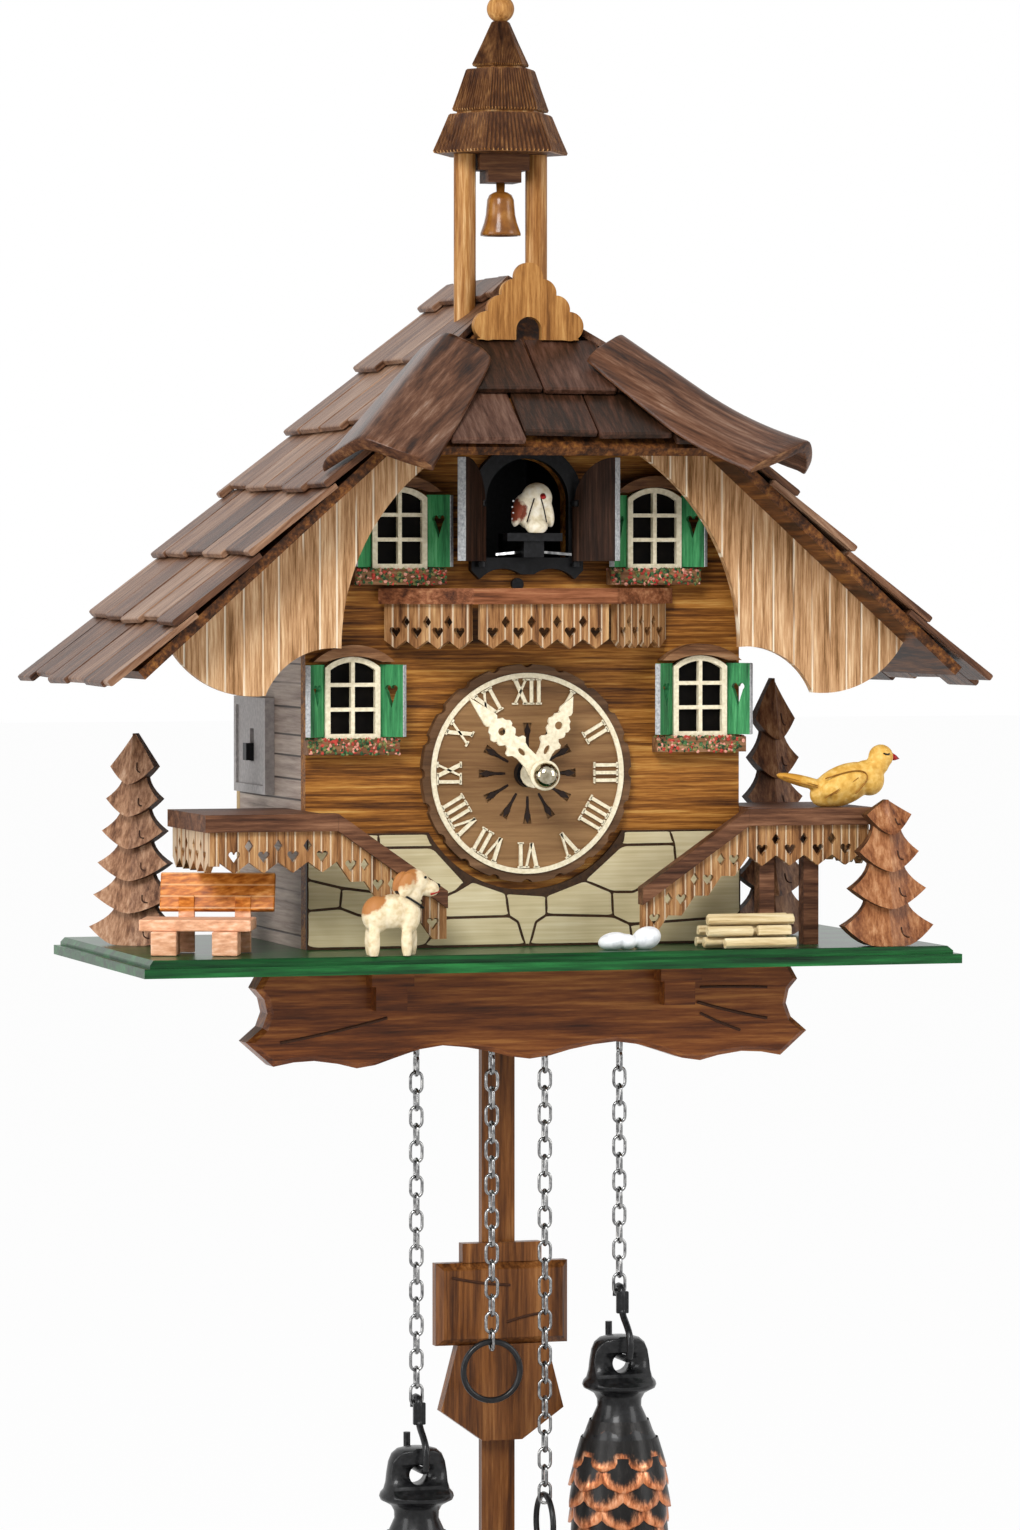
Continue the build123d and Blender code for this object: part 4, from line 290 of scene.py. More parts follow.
# Lacquered beech of the bell: brown, with the highest gloss of the wooden pieces.
bell_lacquer = cast_surface("lacquered_beech", [(0.25, "5f3610"), (0.5, "7d4d1c"), (0.75, "99692f")],
                            4.0, 0.24, coat=0.18, relief=0.05)
# Moulded ABS: black round the cuckoo, and warm grey on the side switch.
black_abs = cast_surface("black_abs", [(0.3, "070708"), (0.55, "121214"), (0.8, "1f1f22")], 1.1, 0.42)
grey_abs = cast_surface("grey_abs", [(0.3, "9a9594"), (0.55, "aea9a7"), (0.8, "bfbab7")], 1.2, 0.5)
# Polystyrene: the warm cream of window frames, numerals and hands.
cream_ps = cast_surface("cream_polystyrene", [(0.3, "cfc3a4"), (0.55, "e2d7bb"), (0.8, "f0e8d2")], 1.1, 0.42)
# Panes of black card: they take nearly no light.
dark_pane = cast_surface("black_pane", [(0.3, "040303"), (0.6, "0b0907"), (0.8, "17120e")],
                         3.3, 0.5, relief=0.02, shine=0.04)
# Nickel on the chain wire, bright and grey, and polished to a warm mirror on the hands' nut.
nickel = cast_surface("nickel_plated_wire", [(0.3, "5a5a5b"), (0.5, "888888"), (0.75, "b4b3b0")],
                      1.4, 0.14, metallic=1.0, relief=0.05)
polished_nickel = cast_surface("polished_nickel", [(0.3, "897e66"), (0.5, "a89f89"), (0.75, "c6c2b4")],
                               2.0, 0.08, metallic=1.0, relief=0.02)
# Black lacquer on cast iron: soft highlights on a deep black.
black_iron = cast_surface("black_lacquered_iron", [(0.3, "0b0b0c"), (0.5, "141415"), (0.75, "222223")],
                          1.6, 0.3, coat=0.12)
# Shrink wrap of the battery cell: plain slate blue.
cell_wrap = cast_surface("shrink_wrap", [(0.3, "2c3b4a"), (0.55, "3b4d5f"), (0.8, "536879")], 2.0, 0.35)
# Sawn edges of painted boards: bare, grey and dull.
pale_edge = cast_surface("bare_painted_edge", [(0.3, "85878a"), (0.5, "a6a8a9"), (0.75, "c6c7c6")], 0.7, 0.55)
# Dark finish for carved cuts: the shade in each cut painted on, with the stain that gathered there, brown on the
# boards and nearly black on the dial. Golden stain lines on the wing.
cut_shade_and_stain = cast_surface("brown_stain_in_cut", [(0.3, "2a160b"), (0.6, "402412")])
wing_stain = cast_surface("golden_stain_line", [(0.3, "7a4f18"), (0.6, "966624")])
carved_shadow = cast_surface("stain_in_cut", [(0.3, "140a05"), (0.55, "1f1109"), (0.8, "2b190f")])
# Dark print between the plinth's stones.
joint_print = cast_surface("joint_print", [(0.3, "26170c"), (0.6, "3a2614")], roughness=0.5)
# Paint on small figures: chalky white pebbles, and glossy red and black for beaks and eyes.
white_stone = cast_surface("painted_pebble", [(0.3, "d4d6da"), (0.5, "eceef0"), (0.75, "fbfbfb")], 2.5, 0.5)
beak_red = cast_surface("red_gloss", [(0.3, "6b0f10"), (0.55, "a31a1a"), (0.8, "c8403a")], roughness=0.35)
eye_black = cast_surface("black_gloss", [(0.3, "030303"), (0.6, "0a0908"), (0.8, "141210")], roughness=0.2)
print("all plain materials", len(bpy.data.materials))

# %% [markdown]
# ## Surfaces with a pattern of their own
# Some finishes don't fit the two recipes. The dial is one wood inside the number ring and a darker one on its
# carved rim. The plinth's stones are printed with brushed streaks. The bench has a pale seat under an orange,
# lined back, and the figures are painted in patches by hand.

# %% Dial and plinth
DIAL_UP = 49.8  # the hands' axis over the foot of the wall


def dial_beech():
    """Stained beech: an even brown with short pores, darker on the carved rim outside the number ring."""
    made, tree, where = new_finish("dial_beech", {"Specular IOR Level": 0.2})
    drawn = put(tree, "ShaderNodeMapping", {"Vector": where, "Scale": (0.05, 1, 1)})
    pores = put(tree, "ShaderNodeTexNoise", {"Vector": drawn, "Scale": per(1.1), "Detail": 5.0, "Roughness": 0.7})
    bands = put(tree, "ShaderNodeTexNoise", {"Vector": drawn, "Scale": per(5.0), "Detail": 2.0})
    tone = put(tree, "ShaderNodeMix", {0: 0.45, 2: bands, 3: pores})
    face = put(tree, "ShaderNodeValToRGB", {0: tone},
               [(0.28, "4a311b"), (0.43, "6f4f30"), (0.57, "866541"), (0.74, "a07d55")])
    rim = put(tree, "ShaderNodeValToRGB", {0: tone},
              [(0.28, "2e1c10"), (0.45, "503722"), (0.6, "6d4f35"), (0.78, "8f6f50")])
    away = put(tree, "ShaderNodeVectorMath", {0: where, 1: at(0, -3, DIAL_UP)}, take="Value", operation="DISTANCE")
    outside = put(tree, "ShaderNodeMapRange", {0: away, 1: 27.2 * MM, 2: 28.4 * MM},
                  interpolation_type="SMOOTHSTEP")
    mixed = put(tree, "ShaderNodeMix", {0: outside, 6: face, 7: rim}, take=2, data_type="RGBA")
    return finished(made, {"Base Color": mixed}, pores, 0.25, 0.4)


def printed_stone():
    """Printed board: cream stone with brushed streaks and a low sheen."""
    made, tree, where = new_finish("printed_stone", {"Specular IOR Level": 0.2, "Roughness": 0.42})
    drawn = put(tree, "ShaderNodeMapping", {"Vector": where, "Scale": (0.03, 1, 1)})
    brushed = put(tree, "ShaderNodeTexNoise", {"Vector": drawn, "Scale": per(0.7), "Detail": 3.0})
    cloud = put(tree, "ShaderNodeTexNoise", {"Vector": where, "Scale": per(14), "Detail": 2.0})
    tone = put(tree, "ShaderNodeMix", {0: 0.5, 2: brushed, 3: cloud})
    face = put(tree, "ShaderNodeValToRGB", {0: tone}, [(0.25, "a89a74"), (0.5, "c0b28c"), (0.75, "d5caa8")])
    return finished(made, {"Base Color": face}, brushed, 0.15, 0.2)


dial_wood, plinth_print = dial_beech(), printed_stone()
print("finishes", dial_wood.name, plinth_print.name)

# %% Bench and painted figures
BENCH_TURN = 0.35  # how far the bench is turned to the viewer's left


def bench_pine():
    """Stained pine: a pale pink seat, and an orange back with fine pale lines scored along it."""
    made, tree, where = new_finish("stained_pine", {"Specular IOR Level": 0.2, "Roughness": 0.42})
    drawn = put(tree, "ShaderNodeMapping", {"Vector": where, "Rotation": (0, 0, BENCH_TURN), "Scale": (0.06, 1, 1)})
    grain = put(tree, "ShaderNodeTexNoise", {"Vector": drawn, "Scale": per(1.1), "Detail": 4.0})
    pale = put(tree, "ShaderNodeValToRGB", {0: grain}, [(0.3, "bb8461"), (0.5, "d8a17d"), (0.72, "ecc3a4")])
    deep = put(tree, "ShaderNodeValToRGB", {0: grain},
               [(0.3, "82400f"), (0.48, "b5661f"), (0.62, "d08337"), (0.78, "e6a75e")])
    up = put(tree, "ShaderNodeSeparateXYZ", {0: where}, take="Z")
    back = put(tree, "ShaderNodeMapRange", {0: up, 1: at(0, 0, 11.4).z, 2: at(0, 0, 12.0).z})
    rows = put(tree, "ShaderNodeMath", {0: up, 1: per(3.2)}, operation="MULTIPLY")
    cell = put(tree, "ShaderNodeMath", {0: rows}, operation="FRACT")
    groove = put(tree, "ShaderNodeMath", {0: cell, 1: 0.5, 2: 0.07}, operation="COMPARE")
    line = put(tree, "ShaderNodeMath", {0: groove, 1: back}, operation="MULTIPLY")
    share = put(tree, "ShaderNodeMath", {0: line, 1: 0.45}, operation="MULTIPLY")
    body = put(tree, "ShaderNodeMix", {0: back, 6: pale, 7: deep}, take=2, data_type="RGBA")
    colour = put(tree, "ShaderNodeMix", {0: share, 6: body, 7: rgb("e6bd88")}, take=2, data_type="RGBA")
    height = put(tree, "ShaderNodeMath", {0: grain, 1: line}, operation="SUBTRACT")
    return finished(made, {"Base Color": colour}, height, 0.35, 0.4)


def hand_painted(name, tones, patches):
    """Paint on a small carving: a ground colour with brushed patches round given places."""
    made, tree, where = new_finish(name, {"Specular IOR Level": 0.2, "Roughness": 0.5})
    brush = put(tree, "ShaderNodeTexNoise", {"Vector": where, "Scale": per(1.6), "Detail": 4.0})
    colour = put(tree, "ShaderNodeValToRGB", {0: brush}, tones)
    ragged, soft = 2.2, 0.3
    for centre, radius, code in patches:
        away = put(tree, "ShaderNodeVectorMath", {0: where, 1: centre}, take="Value", operation="DISTANCE")
        rough = put(tree, "ShaderNodeMath", {0: brush, 1: -ragged * MM, 2: away}, operation="MULTIPLY_ADD")
        edge = radius - ragged / 2
        inside = put(tree, "ShaderNodeMapRange", {0: rough, 1: (edge + soft) * MM, 2: (edge - soft) * MM})
        colour = put(tree, "ShaderNodeMix", {0: inside, 6: colour, 7: rgb(code)}, take=2, data_type="RGBA")
    return finished(made, {"Base Color": colour}, brush, 0.25, 0.4)


bench_wood = bench_pine()
print("finish", bench_wood.name)

# %% [markdown]
# ## Finishes on the pieces that stay
# A sawn board, a wall or a hinge is already right as a solid, so it stays and only takes its finish, through
# its own material slots. Pieces that are built again below are given one too, for the views that show them.

# %% Dress the carried-over pieces
DRESSED = [
    (base_enamel, "base_plate"), (apron_lime, "apron_board"), (wall_spruce, "front_wall"),
    (siding, "left_wall right_wall"), (back_ply, "back_panel"), (joint_print, "stone_plinth"),
    (roof_board, "roof_board_left roof_board_right roof_hip_board"), (left_shingle, "shingles_left"),
    (right_shingle, "shingles_right"), (hip_shingle, "shingles_hip"), (left_cap_lime, "hip_caps"),
    (crest_oak, "crest yellow_bird"), (gable_oak, "gable_panels"), (post_ramin, "tower_posts"),
    (beam_spruce, "bell_beam"), (spire_lime, "tower_roof"), (bell_lacquer, "bell"), (dial_wood, "dial_disc"),
    (cream_ps, "numeral_ring hour_hand minute_hand window_frames"), (polished_nickel, "hand_arbor"),
    (black_abs, "quartz_movement door_surround cuckoo_box bird_carriage switch_knob"), (cell_wrap, "battery_cell"),
    (dark_pane, "window_panes"), (shutter_stain, "shutters"), (lintel_oak, "window_lintels flower_boxes"),
    (picket_oak, "balcony_pickets rail_pickets"), (balcony_beech, "balcony_cap"), (rail_beech, "rail_caps"),
    (bench_wood, "bench"), (grey_abs, "switch_plate"), (nickel, "chain_stubs door_wires chain_left chain_right"),
    (door_walnut, "left_door right_door"), (bob_lime, "pendulum_rod pendulum_bob"), (fir_lime, "carved_trees"),
    (log_spruce, "log_pile"), (white_stone, "pebbles dog cuckoo_bird"),
    (black_iron, "ring_left ring_right cone_left cone_right"),
]
for finish, names in DRESSED:
    for name in names.split():
        for slot in cad[name].material_slots:
            slot.material = finish
print("dressed", sum(len(names.split()) for finish, names in DRESSED), "of", len(cad))

# %% [markdown]
# ## Making pieces
# A few makers are used again and again: a mesh from points and faces, a turned form, a bent wire, a soft form
# pressed together from lumps, and a step that turns modifiers and node trees into a plain mesh at the origin.


# %% Objects and meshes
def new_object(name, data):
    made = bpy.data.objects.new(name, data)
    scene.collection.objects.link(made)
    return made


def shade(made, smooth=True):
    for face in made.data.polygons:
        face.use_smooth = smooth
    return made


def piece(name, points, faces, material, smooth=True):
    mesh = bpy.data.meshes.new(name)
    mesh.from_pydata([tuple(point) for point in points], [], faces)
    tool = bmesh.new()
    tool.from_mesh(mesh)
    bmesh.ops.recalc_face_normals(tool, faces=tool.faces)
    tool.to_mesh(mesh)
    tool.free()
    mesh.materials.append(material)
    return shade(new_object(name, mesh), smooth)


def settle(made, material=None, place=None):
    """Turn what an object's modifiers, curve or node tree give into a plain mesh at the origin."""
    name = made.name
    mesh = bpy.data.meshes.new_from_object(made.evaluated_get(bpy.context.evaluated_depsgraph_get()))
    bpy.data.objects.remove(made)
    if place is not None:
        mesh.transform(place)
    if material is not None:
        mesh.materials.clear()
        mesh.materials.append(material)
    return new_object(name, mesh)


print("objects can be made and settled")


# %% Join, trim and hang a piece
def joined(name, parts):
    """Several makers' pieces as one object, each keeping its own finish."""
    tool = bmesh.new()
    finishes = []
    for part in parts:
        first = len(tool.faces)
        tool.from_mesh(part.data)
        tool.faces.ensure_lookup_table()
        for k in range(first, len(tool.faces)):
            finish = part.data.materials[tool.faces[k].material_index]
            if finish not in finishes:
                finishes.append(finish)
            tool.faces[k].material_index = finishes.index(finish)
        bpy.data.objects.remove(part)
    mesh = bpy.data.meshes.new(name)
    tool.to_mesh(mesh)
    tool.free()
    for finish in finishes:
        mesh.materials.append(finish)
    return new_object(name, mesh)


def trimmed(made, cuts):
    """Saw a piece off at each plane, given by a point and the direction that falls away, and close the cut."""
    tool = bmesh.new()
    tool.from_mesh(made.data)
    for point, away in cuts:
        bmesh.ops.bisect_plane(tool, geom=tool.verts[:] + tool.edges[:] + tool.faces[:], plane_co=point,
                               plane_no=away, clear_outer=True)
        bmesh.ops.holes_fill(tool, edges=tool.edges[:], sides=0)
    bmesh.ops.recalc_face_normals(tool, faces=tool.faces[:])
    tool.to_mesh(made.data)
    tool.free()
    return made


def rides(made, body, slot, *nodes):
    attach(made, body)
    if nodes:
        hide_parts(*nodes)
    print(made.name, "rides on", body, "with", len(made.data.polygons), "faces")
    return made


print("pieces can be joined, trimmed and hung on a body")


# %% Rings, shells and boards
def circle(count):
    """Cosine and sine of evenly spaced angles, once round."""
    return [(cos(2 * pi * k / count), sin(2 * pi * k / count)) for k in range(count)]


def ring_faces(rings, count):
    """Faces that join each ring of points to the next and close the first and the last."""
    walls = [(r * count + k, r * count + (k + 1) % count, (r + 1) * count + (k + 1) % count, (r + 1) * count + k)
             for r in range(rings - 1) for k in range(count)]
    return walls + [tuple(range(count)), tuple(range((rings - 1) * count, rings * count))]


def shell_faces(rows, columns):
    """Faces of two grids of points, one over the other, closed along their four edges."""
    under, faces = rows * columns, []
    for i in range(rows - 1):
        for k in range(i * columns, i * columns + columns - 1):
            faces += [(k, k + 1, k + columns + 1, k + columns),
                      (under + k, under + k + columns, under + k + columns + 1, under + k + 1)]
        for k in (i * columns, i * columns + columns - 1):
            faces.append((k, k + columns, under + k + columns, under + k))
    for j in range(columns - 1):
        for k in (j, (rows - 1) * columns + j):
            faces.append((k, k + 1, under + k + 1, under + k))
    return faces


def bevelled(made, width):
    edge = made.modifiers.new("edge", "BEVEL")
    edge.width = width * MM
    edge.segments = 2
    edge.limit_method = "ANGLE"
    return settle(made)


def slab(name, centre, sides, size, material, edge=0.15):
    """A board: its centre, three unit directions and its three sizes in millimetres."""
    a, b, c = [Vector(side) * length * MM / 2 for side, length in zip(sides, size)]
    corners = [centre + a * i + b * j + c * k for i in (-1, 1) for j in (-1, 1) for k in (-1, 1)]
    faces = [(0, 1, 3, 2), (4, 6, 7, 5), (0, 4, 5, 1), (2, 3, 7, 6), (0, 2, 6, 4), (1, 5, 7, 3)]
    return bevelled(piece(name, corners, faces, material, False), edge)


print("a ring of four points has", len(ring_faces(2, 4)), "faces when it is raised")


# %% Wires, turned and pressed forms
def wire(name, points, radius, material, closed=False, resolution=6):
    curve = bpy.data.curves.new(name, "CURVE")
    curve.dimensions = "3D"
    curve.bevel_depth = radius * MM
    curve.bevel_resolution = 2
    curve.use_fill_caps = True
    curve.resolution_u = resolution
    line = curve.splines.new("NURBS")
    line.points.add(len(points) - 1)
    for spot, point in zip(line.points, points):
        spot.co = (*point, 1.0)
    line.order_u = 3
    line.use_cyclic_u = closed
    line.use_endpoint_u = not closed
    return settle(new_object(name, curve), material)


def turned(name, profile, centre, material, turns=48):
    """A lathe form: radius and height pairs in millimetres, from the top down."""
    points = [at(centre[0] + radius * c, centre[1] + radius * s, up) for radius, up in profile
              for c, s in circle(turns)]
    return piece(name, points, ring_faces(len(profile), turns), material)


def pressed(name, lumps, voxel, material, passes=4):
    """Lumps of a carving (centre, radii and lean in degrees) pressed into one skin and smoothed."""
    tool = bmesh.new()
    for centre, radii, lean in lumps:
        spin = Euler((0, radians(lean), 0)).to_matrix().to_4x4()
        size = Matrix.Diagonal((*[radius * MM for radius in radii], 1.0))
        bmesh.ops.create_icosphere(tool, subdivisions=3, radius=1.0,
                                   matrix=Matrix.Translation(centre) @ spin @ size)
    made = new_object(name, bpy.data.meshes.new(name))
    tool.to_mesh(made.data)
    tool.free()
    skin = made.modifiers.new("skin", "REMESH")
    skin.mode = "VOXEL"
    skin.voxel_size = voxel * MM
    calm = made.modifiers.new("calm", "SMOOTH")
    calm.factor = 0.5
    calm.iterations = passes
    return shade(settle(made, material))


print("wires, turned and pressed forms ready")


# %% Node trees that grow a piece
def node_tree(name, sockets):
    """An empty node tree with a geometry result, and the outputs of its named inputs."""
    tree = bpy.data.node_groups.new(name, "GeometryNodeTree")
    tree.interface.new_socket("Geometry", in_out="OUTPUT", socket_type="NodeSocketGeometry")
    for title, kind in sockets.items():
        tree.interface.new_socket(title, in_out="INPUT", socket_type="NodeSocket" + kind)
    return tree, put(tree, "NodeGroupInput", take=None)


def closed_tree(tree, copies, material):
    """End a tree: copies become plain geometry, take their finish and go out."""
    solid = put(tree, "GeometryNodeRealizeInstances", {"Geometry": copies})
    done = put(tree, "GeometryNodeSetMaterial", {"Geometry": solid, "Material": material})
    put(tree, "NodeGroupOutput", {"Geometry": done}, take=None)
    print(tree.name, "tree has", len(tree.nodes), "nodes")
    return tree


def grown(name, tree, sizes, place=None):
    """Run a node tree with these sizes and keep the result as a plain mesh."""
    made = new_object(name, bpy.data.meshes.new(name))
    work = made.modifiers.new(tree.name, "NODES")
    work.node_group = tree
    for item in tree.interface.items_tree:
        if item.item_type == "SOCKET" and item.in_out == "INPUT":
            work[item.identifier] = sizes[item.name]
    return settle(made, None, place)


print("makers ready")

# %% [markdown]
# ## Chains
# Each strand is welded from oval links of plated wire, every second one turned by a right angle. One link could
# be modelled and copied by hand, but a node tree that walks down the strand keeps the pitch exact and lets
# every strand be grown from its count of links.


# %% The chain's node tree
def chain_tree():
    tree, size = node_tree("chain_links", {"Count": "Int", "Pitch": "Float", "Width": "Float", "Wire": "Float",
                                           "First Turn": "Float", "Metal": "Material"})
    down = put(tree, "ShaderNodeMath", {0: size["Pitch"], 1: -1.0}, operation="MULTIPLY")
    step = put(tree, "ShaderNodeCombineXYZ", {"Z": down})
    run = put(tree, "GeometryNodeMeshLine", {"Count": size["Count"], "Offset": step})
    wide = put(tree, "ShaderNodeMath", {0: size["Width"], 1: size["Wire"]}, operation="SUBTRACT")
    tall = put(tree, "ShaderNodeMath", {0: size["Pitch"], 1: size["Wire"]}, operation="ADD")
    corner = put(tree, "ShaderNodeMath", {0: wide, 1: 0.495}, operation="MULTIPLY")
    plain = put(tree, "GeometryNodeCurvePrimitiveQuadrilateral", {"Width": wide, "Height": tall})
    oval = put(tree, "GeometryNodeFilletCurve", {"Curve": plain, "Radius": corner, "Count": 5}, mode="POLY")
    half = put(tree, "ShaderNodeMath", {0: size["Wire"], 1: 0.5}, operation="MULTIPLY")
    section = put(tree, "GeometryNodeCurvePrimitiveCircle", {"Resolution": 8, "Radius": half})
    link = put(tree, "GeometryNodeCurveToMesh", {"Curve": oval, "Profile Curve": section})
    smooth = put(tree, "GeometryNodeSetShadeSmooth", {"Geometry": link})
    every = put(tree, "ShaderNodeMath", {0: put(tree, "GeometryNodeInputIndex"), 1: 2.0}, operation="MODULO")
    turn = put(tree, "ShaderNodeMath", {0: every, 1: pi / 2, 2: size["First Turn"]}, operation="MULTIPLY_ADD")
    euler = put(tree, "ShaderNodeCombineXYZ", {"X": pi / 2, "Z": turn})
    spin = put(tree, "FunctionNodeEulerToRotation", {0: euler})
    links = put(tree, "GeometryNodeInstanceOnPoints", {"Points": run, "Instance": smooth, "Rotation": spin})
    return closed_tree(tree, links, size["Metal"])


links_tree = chain_tree()

# %% [markdown]
# The strands hang from the last link under the base. The outer ones end in black hooks that pass through the
# cones' eyes, and the inner ones end in pull rings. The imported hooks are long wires, and here two more links and
# a short strap take the place of their upper part, as on the real clock.

# %% Strands, hooks and rings
LINK_PITCH, LINK_WIDTH, LINK_WIRE = 5.0, 4.4, 0.95
STRAND_TOP, STUB_TOP, STUB_LINKS = -31.5, -6.5, 5
CHAIN_BACK, INNER, OUTER = 6.0, 8, 30.6  # where the strands hang: behind the wall's face, and to each side
LEFT_LINKS, RIGHT_LINKS, HOOK_LINKS = 18, 12, 2  # down to the weights
LEFT_RING_LINKS, RIGHT_RING_LINKS = 17, 26
RING_RADIUS, RING_WIRE, RING_DROP, HOOK_WIRE, HOOK_DROP = 8.55, 0.9, 6.5, 1.05, 28.6


def strand(name, across, top, count):
    return grown(name, links_tree, {"Count": count, "Pitch": LINK_PITCH * MM, "Width": LINK_WIDTH * MM,
                                    "Wire": LINK_WIRE * MM, "First Turn": pi / 2, "Metal": nickel},
                 Matrix.Translation(at(across, CHAIN_BACK, top - LINK_PITCH / 2)))


def weight_hook(name, across, links):
    end = STRAND_TOP - (links + HOOK_LINKS) * LINK_PITCH
    top = end + HOOK_LINKS * LINK_PITCH
    low = top - HOOK_DROP
    run = [(9, end - 1.4), (9.2, end + 1.2), (6, end + 2.0), (3, end + 1.2), (3, end - 3), (3.2, top - 16),
           (-1.5, top - 19), (-4.6, top - 22), (-4.4, low + 1.2), (-2.6, low), (6, low), (14.6, low),
           (16.2, low + 1.6), (16.2, low + 9)]
    bent = wire(name, [at(across, back, up) for back, up in run], HOOK_WIRE, black_iron)
    strap = slab(name + "_strap", at(across, 3, end - 2.6), SQUARE, (3.6, 1.5, 6.4), black_iron, 0.3)
    return joined(name, [bent, strap])


def pull_ring(name, across, links, sides):
    centre = at(across, CHAIN_BACK, STRAND_TOP - links * LINK_PITCH - RING_DROP)
    points = [centre + (Vector(sides[0]) * c + Vector(sides[1]) * s) * RING_RADIUS * MM for c, s in circle(24)]
    return wire(name, points, RING_WIRE, black_iron, True)


left = [strand("outer_left", -OUTER, STRAND_TOP, LEFT_LINKS + HOOK_LINKS),
        strand("inner_left", -INNER, STRAND_TOP, LEFT_RING_LINKS), weight_hook("hook_left", -OUTER, LEFT_LINKS)]
right = [strand("inner_right", INNER, STRAND_TOP, RIGHT_RING_LINKS),
         strand("outer_right", OUTER, STRAND_TOP, RIGHT_LINKS + HOOK_LINKS),
         weight_hook("hook_right", OUTER, RIGHT_LINKS)]
stubs = [strand("stub", across, STUB_TOP, STUB_LINKS) for across in (-OUTER, -INNER, INNER, OUTER)]
rides(joined("left_chain_links", left), "left_chain", "chain_metal", "chain_left")
rides(joined("right_chain_links", right), "right_chain", "chain_metal", "chain_right")
rides(joined("chain_stub_links", stubs), "case", "chain_metal", "chain_stubs")
facing, sideways = ((1, 0, 0), (0, 0, 1)), ((0, 1, 0), (0, 0, 1))
rides(pull_ring("left_pull_ring", -INNER, LEFT_RING_LINKS, facing), "left_chain", "iron", "ring_left")
rides(pull_ring("right_pull_ring", INNER, RIGHT_RING_LINKS, sideways), "right_chain", "iron", "ring_right")

# %% [markdown]
# ## Cone weights
# The weights are cast iron fir cones, blackened and rubbed with copper where the scales stand out. A turned body
# carries the domed cap with its eye, and a node tree lays the scales in staggered rows. Each scale carries a value
# that rises towards its rounded edge, and the finish shows copper there: copper rubbed on the edge, with a painted
# shade that leaves each scale black towards the scale over it.


# %% Copper rubbed over black, and one scale
def rubbed_copper():
    """Black lacquered iron with a copper bloom, metallic only where it was rubbed; the scales' painted shade keeps it
    black.
    """
    made, tree, where = new_finish("copper_rubbed_iron", {"Roughness": 0.34, "Specular IOR Level": 0.25})
    drawn = put(tree, "ShaderNodeMapping", {"Vector": where, "Scale": (1, 1, 0.3)})
    wear = put(tree, "ShaderNodeTexNoise", {"Vector": drawn, "Scale": per(1.6), "Detail": 5.0, "Roughness": 0.7})
    rub = put(tree, "ShaderNodeAttribute", take="Fac", attribute_name="rub")
    both = put(tree, "ShaderNodeMath", {0: wear, 1: 0.9, 2: rub}, operation="MULTIPLY_ADD")
    share = put(tree, "ShaderNodeMapRange", {0: both, 1: 0.74, 2: 1.3}, interpolation_type="SMOOTHSTEP")
    copper = put(tree, "ShaderNodeValToRGB", {0: wear}, [(0.3, "8a4728"), (0.5, "cf8154"), (0.75, "f2ba92")])
    dark = put(tree, "ShaderNodeValToRGB", {0: wear}, [(0.3, "0e0d0c"), (0.55, "191716"), (0.8, "2e2b29")])
    colour = put(tree, "ShaderNodeMix", {0: share, 6: dark, 7: copper}, take=2, data_type="RGBA")
    metal = put(tree, "ShaderNodeMapRange", {0: share, 3: 0.35, 4: 0.75})
    return finished(made, {"Base Color": colour, "Metallic": metal}, wear, 0.3, 0.3)


copper_iron = rubbed_copper()
SCALE_HALF, SCALE_LONG, SHOULDER = 7.4, 10.5, 0.4  # half its width, its length, and where the rounding begins


def cone_scale():
    """One scale, its rounded edge at the bottom and its face along minus Y."""
    points, rub_and_shade_values, faces = [], [], []
    rows, columns = 8, 9
    for row in range(rows):
        down = row / (rows - 1)
        rounding = (down - SHOULDER) / (1 - SHOULDER)
        half = 1.0 if down < SHOULDER else sqrt(max(0.0, 1 - rounding ** 2))
        for column in range(columns):
            side = 2 * column / (columns - 1) - 1
            across = SCALE_HALF * side * max(half, 0.18)
            out = 1.5 * down + 0.7 * (1 - side * side) - across * across / 30
            points.append(Vector((across, -out, -SCALE_LONG * down)) * MM)
            to_edge = min(1.0, hypot(side * half, rounding))
            # copper rubbed on towards the rounded edge; its fall to black towards the scale above is painted shade
            rub_and_shade_values.append(0.12 + 0.88 * to_edge ** 2 if down > SHOULDER else 0.0)
    for row in range(rows - 1):
        for first in range(row * columns, row * columns + columns - 1):
            faces.append((first, first + 1, first + columns + 1, first + columns))
    rim = [row * columns for row in range(rows)] + [(rows - 1) * columns + k for k in range(1, columns)]
    rim += [row * columns + columns - 1 for row in range(rows - 2, -1, -1)]
    under = len(points)
    points += [points[spot] + Vector((0, 1.3, 0.3)) * MM for spot in rim]
    rub_and_shade_values += [0.0] * len(rim)
    faces += [(rim[k], rim[k + 1], under + k + 1, under + k) for k in range(len(rim) - 1)]
    made = piece("cone_scale", points, faces, copper_iron)
    made.data.attributes.new("rub", "FLOAT", "POINT").data.foreach_set("value", rub_and_shade_values)
    return made


print("copper over black iron")


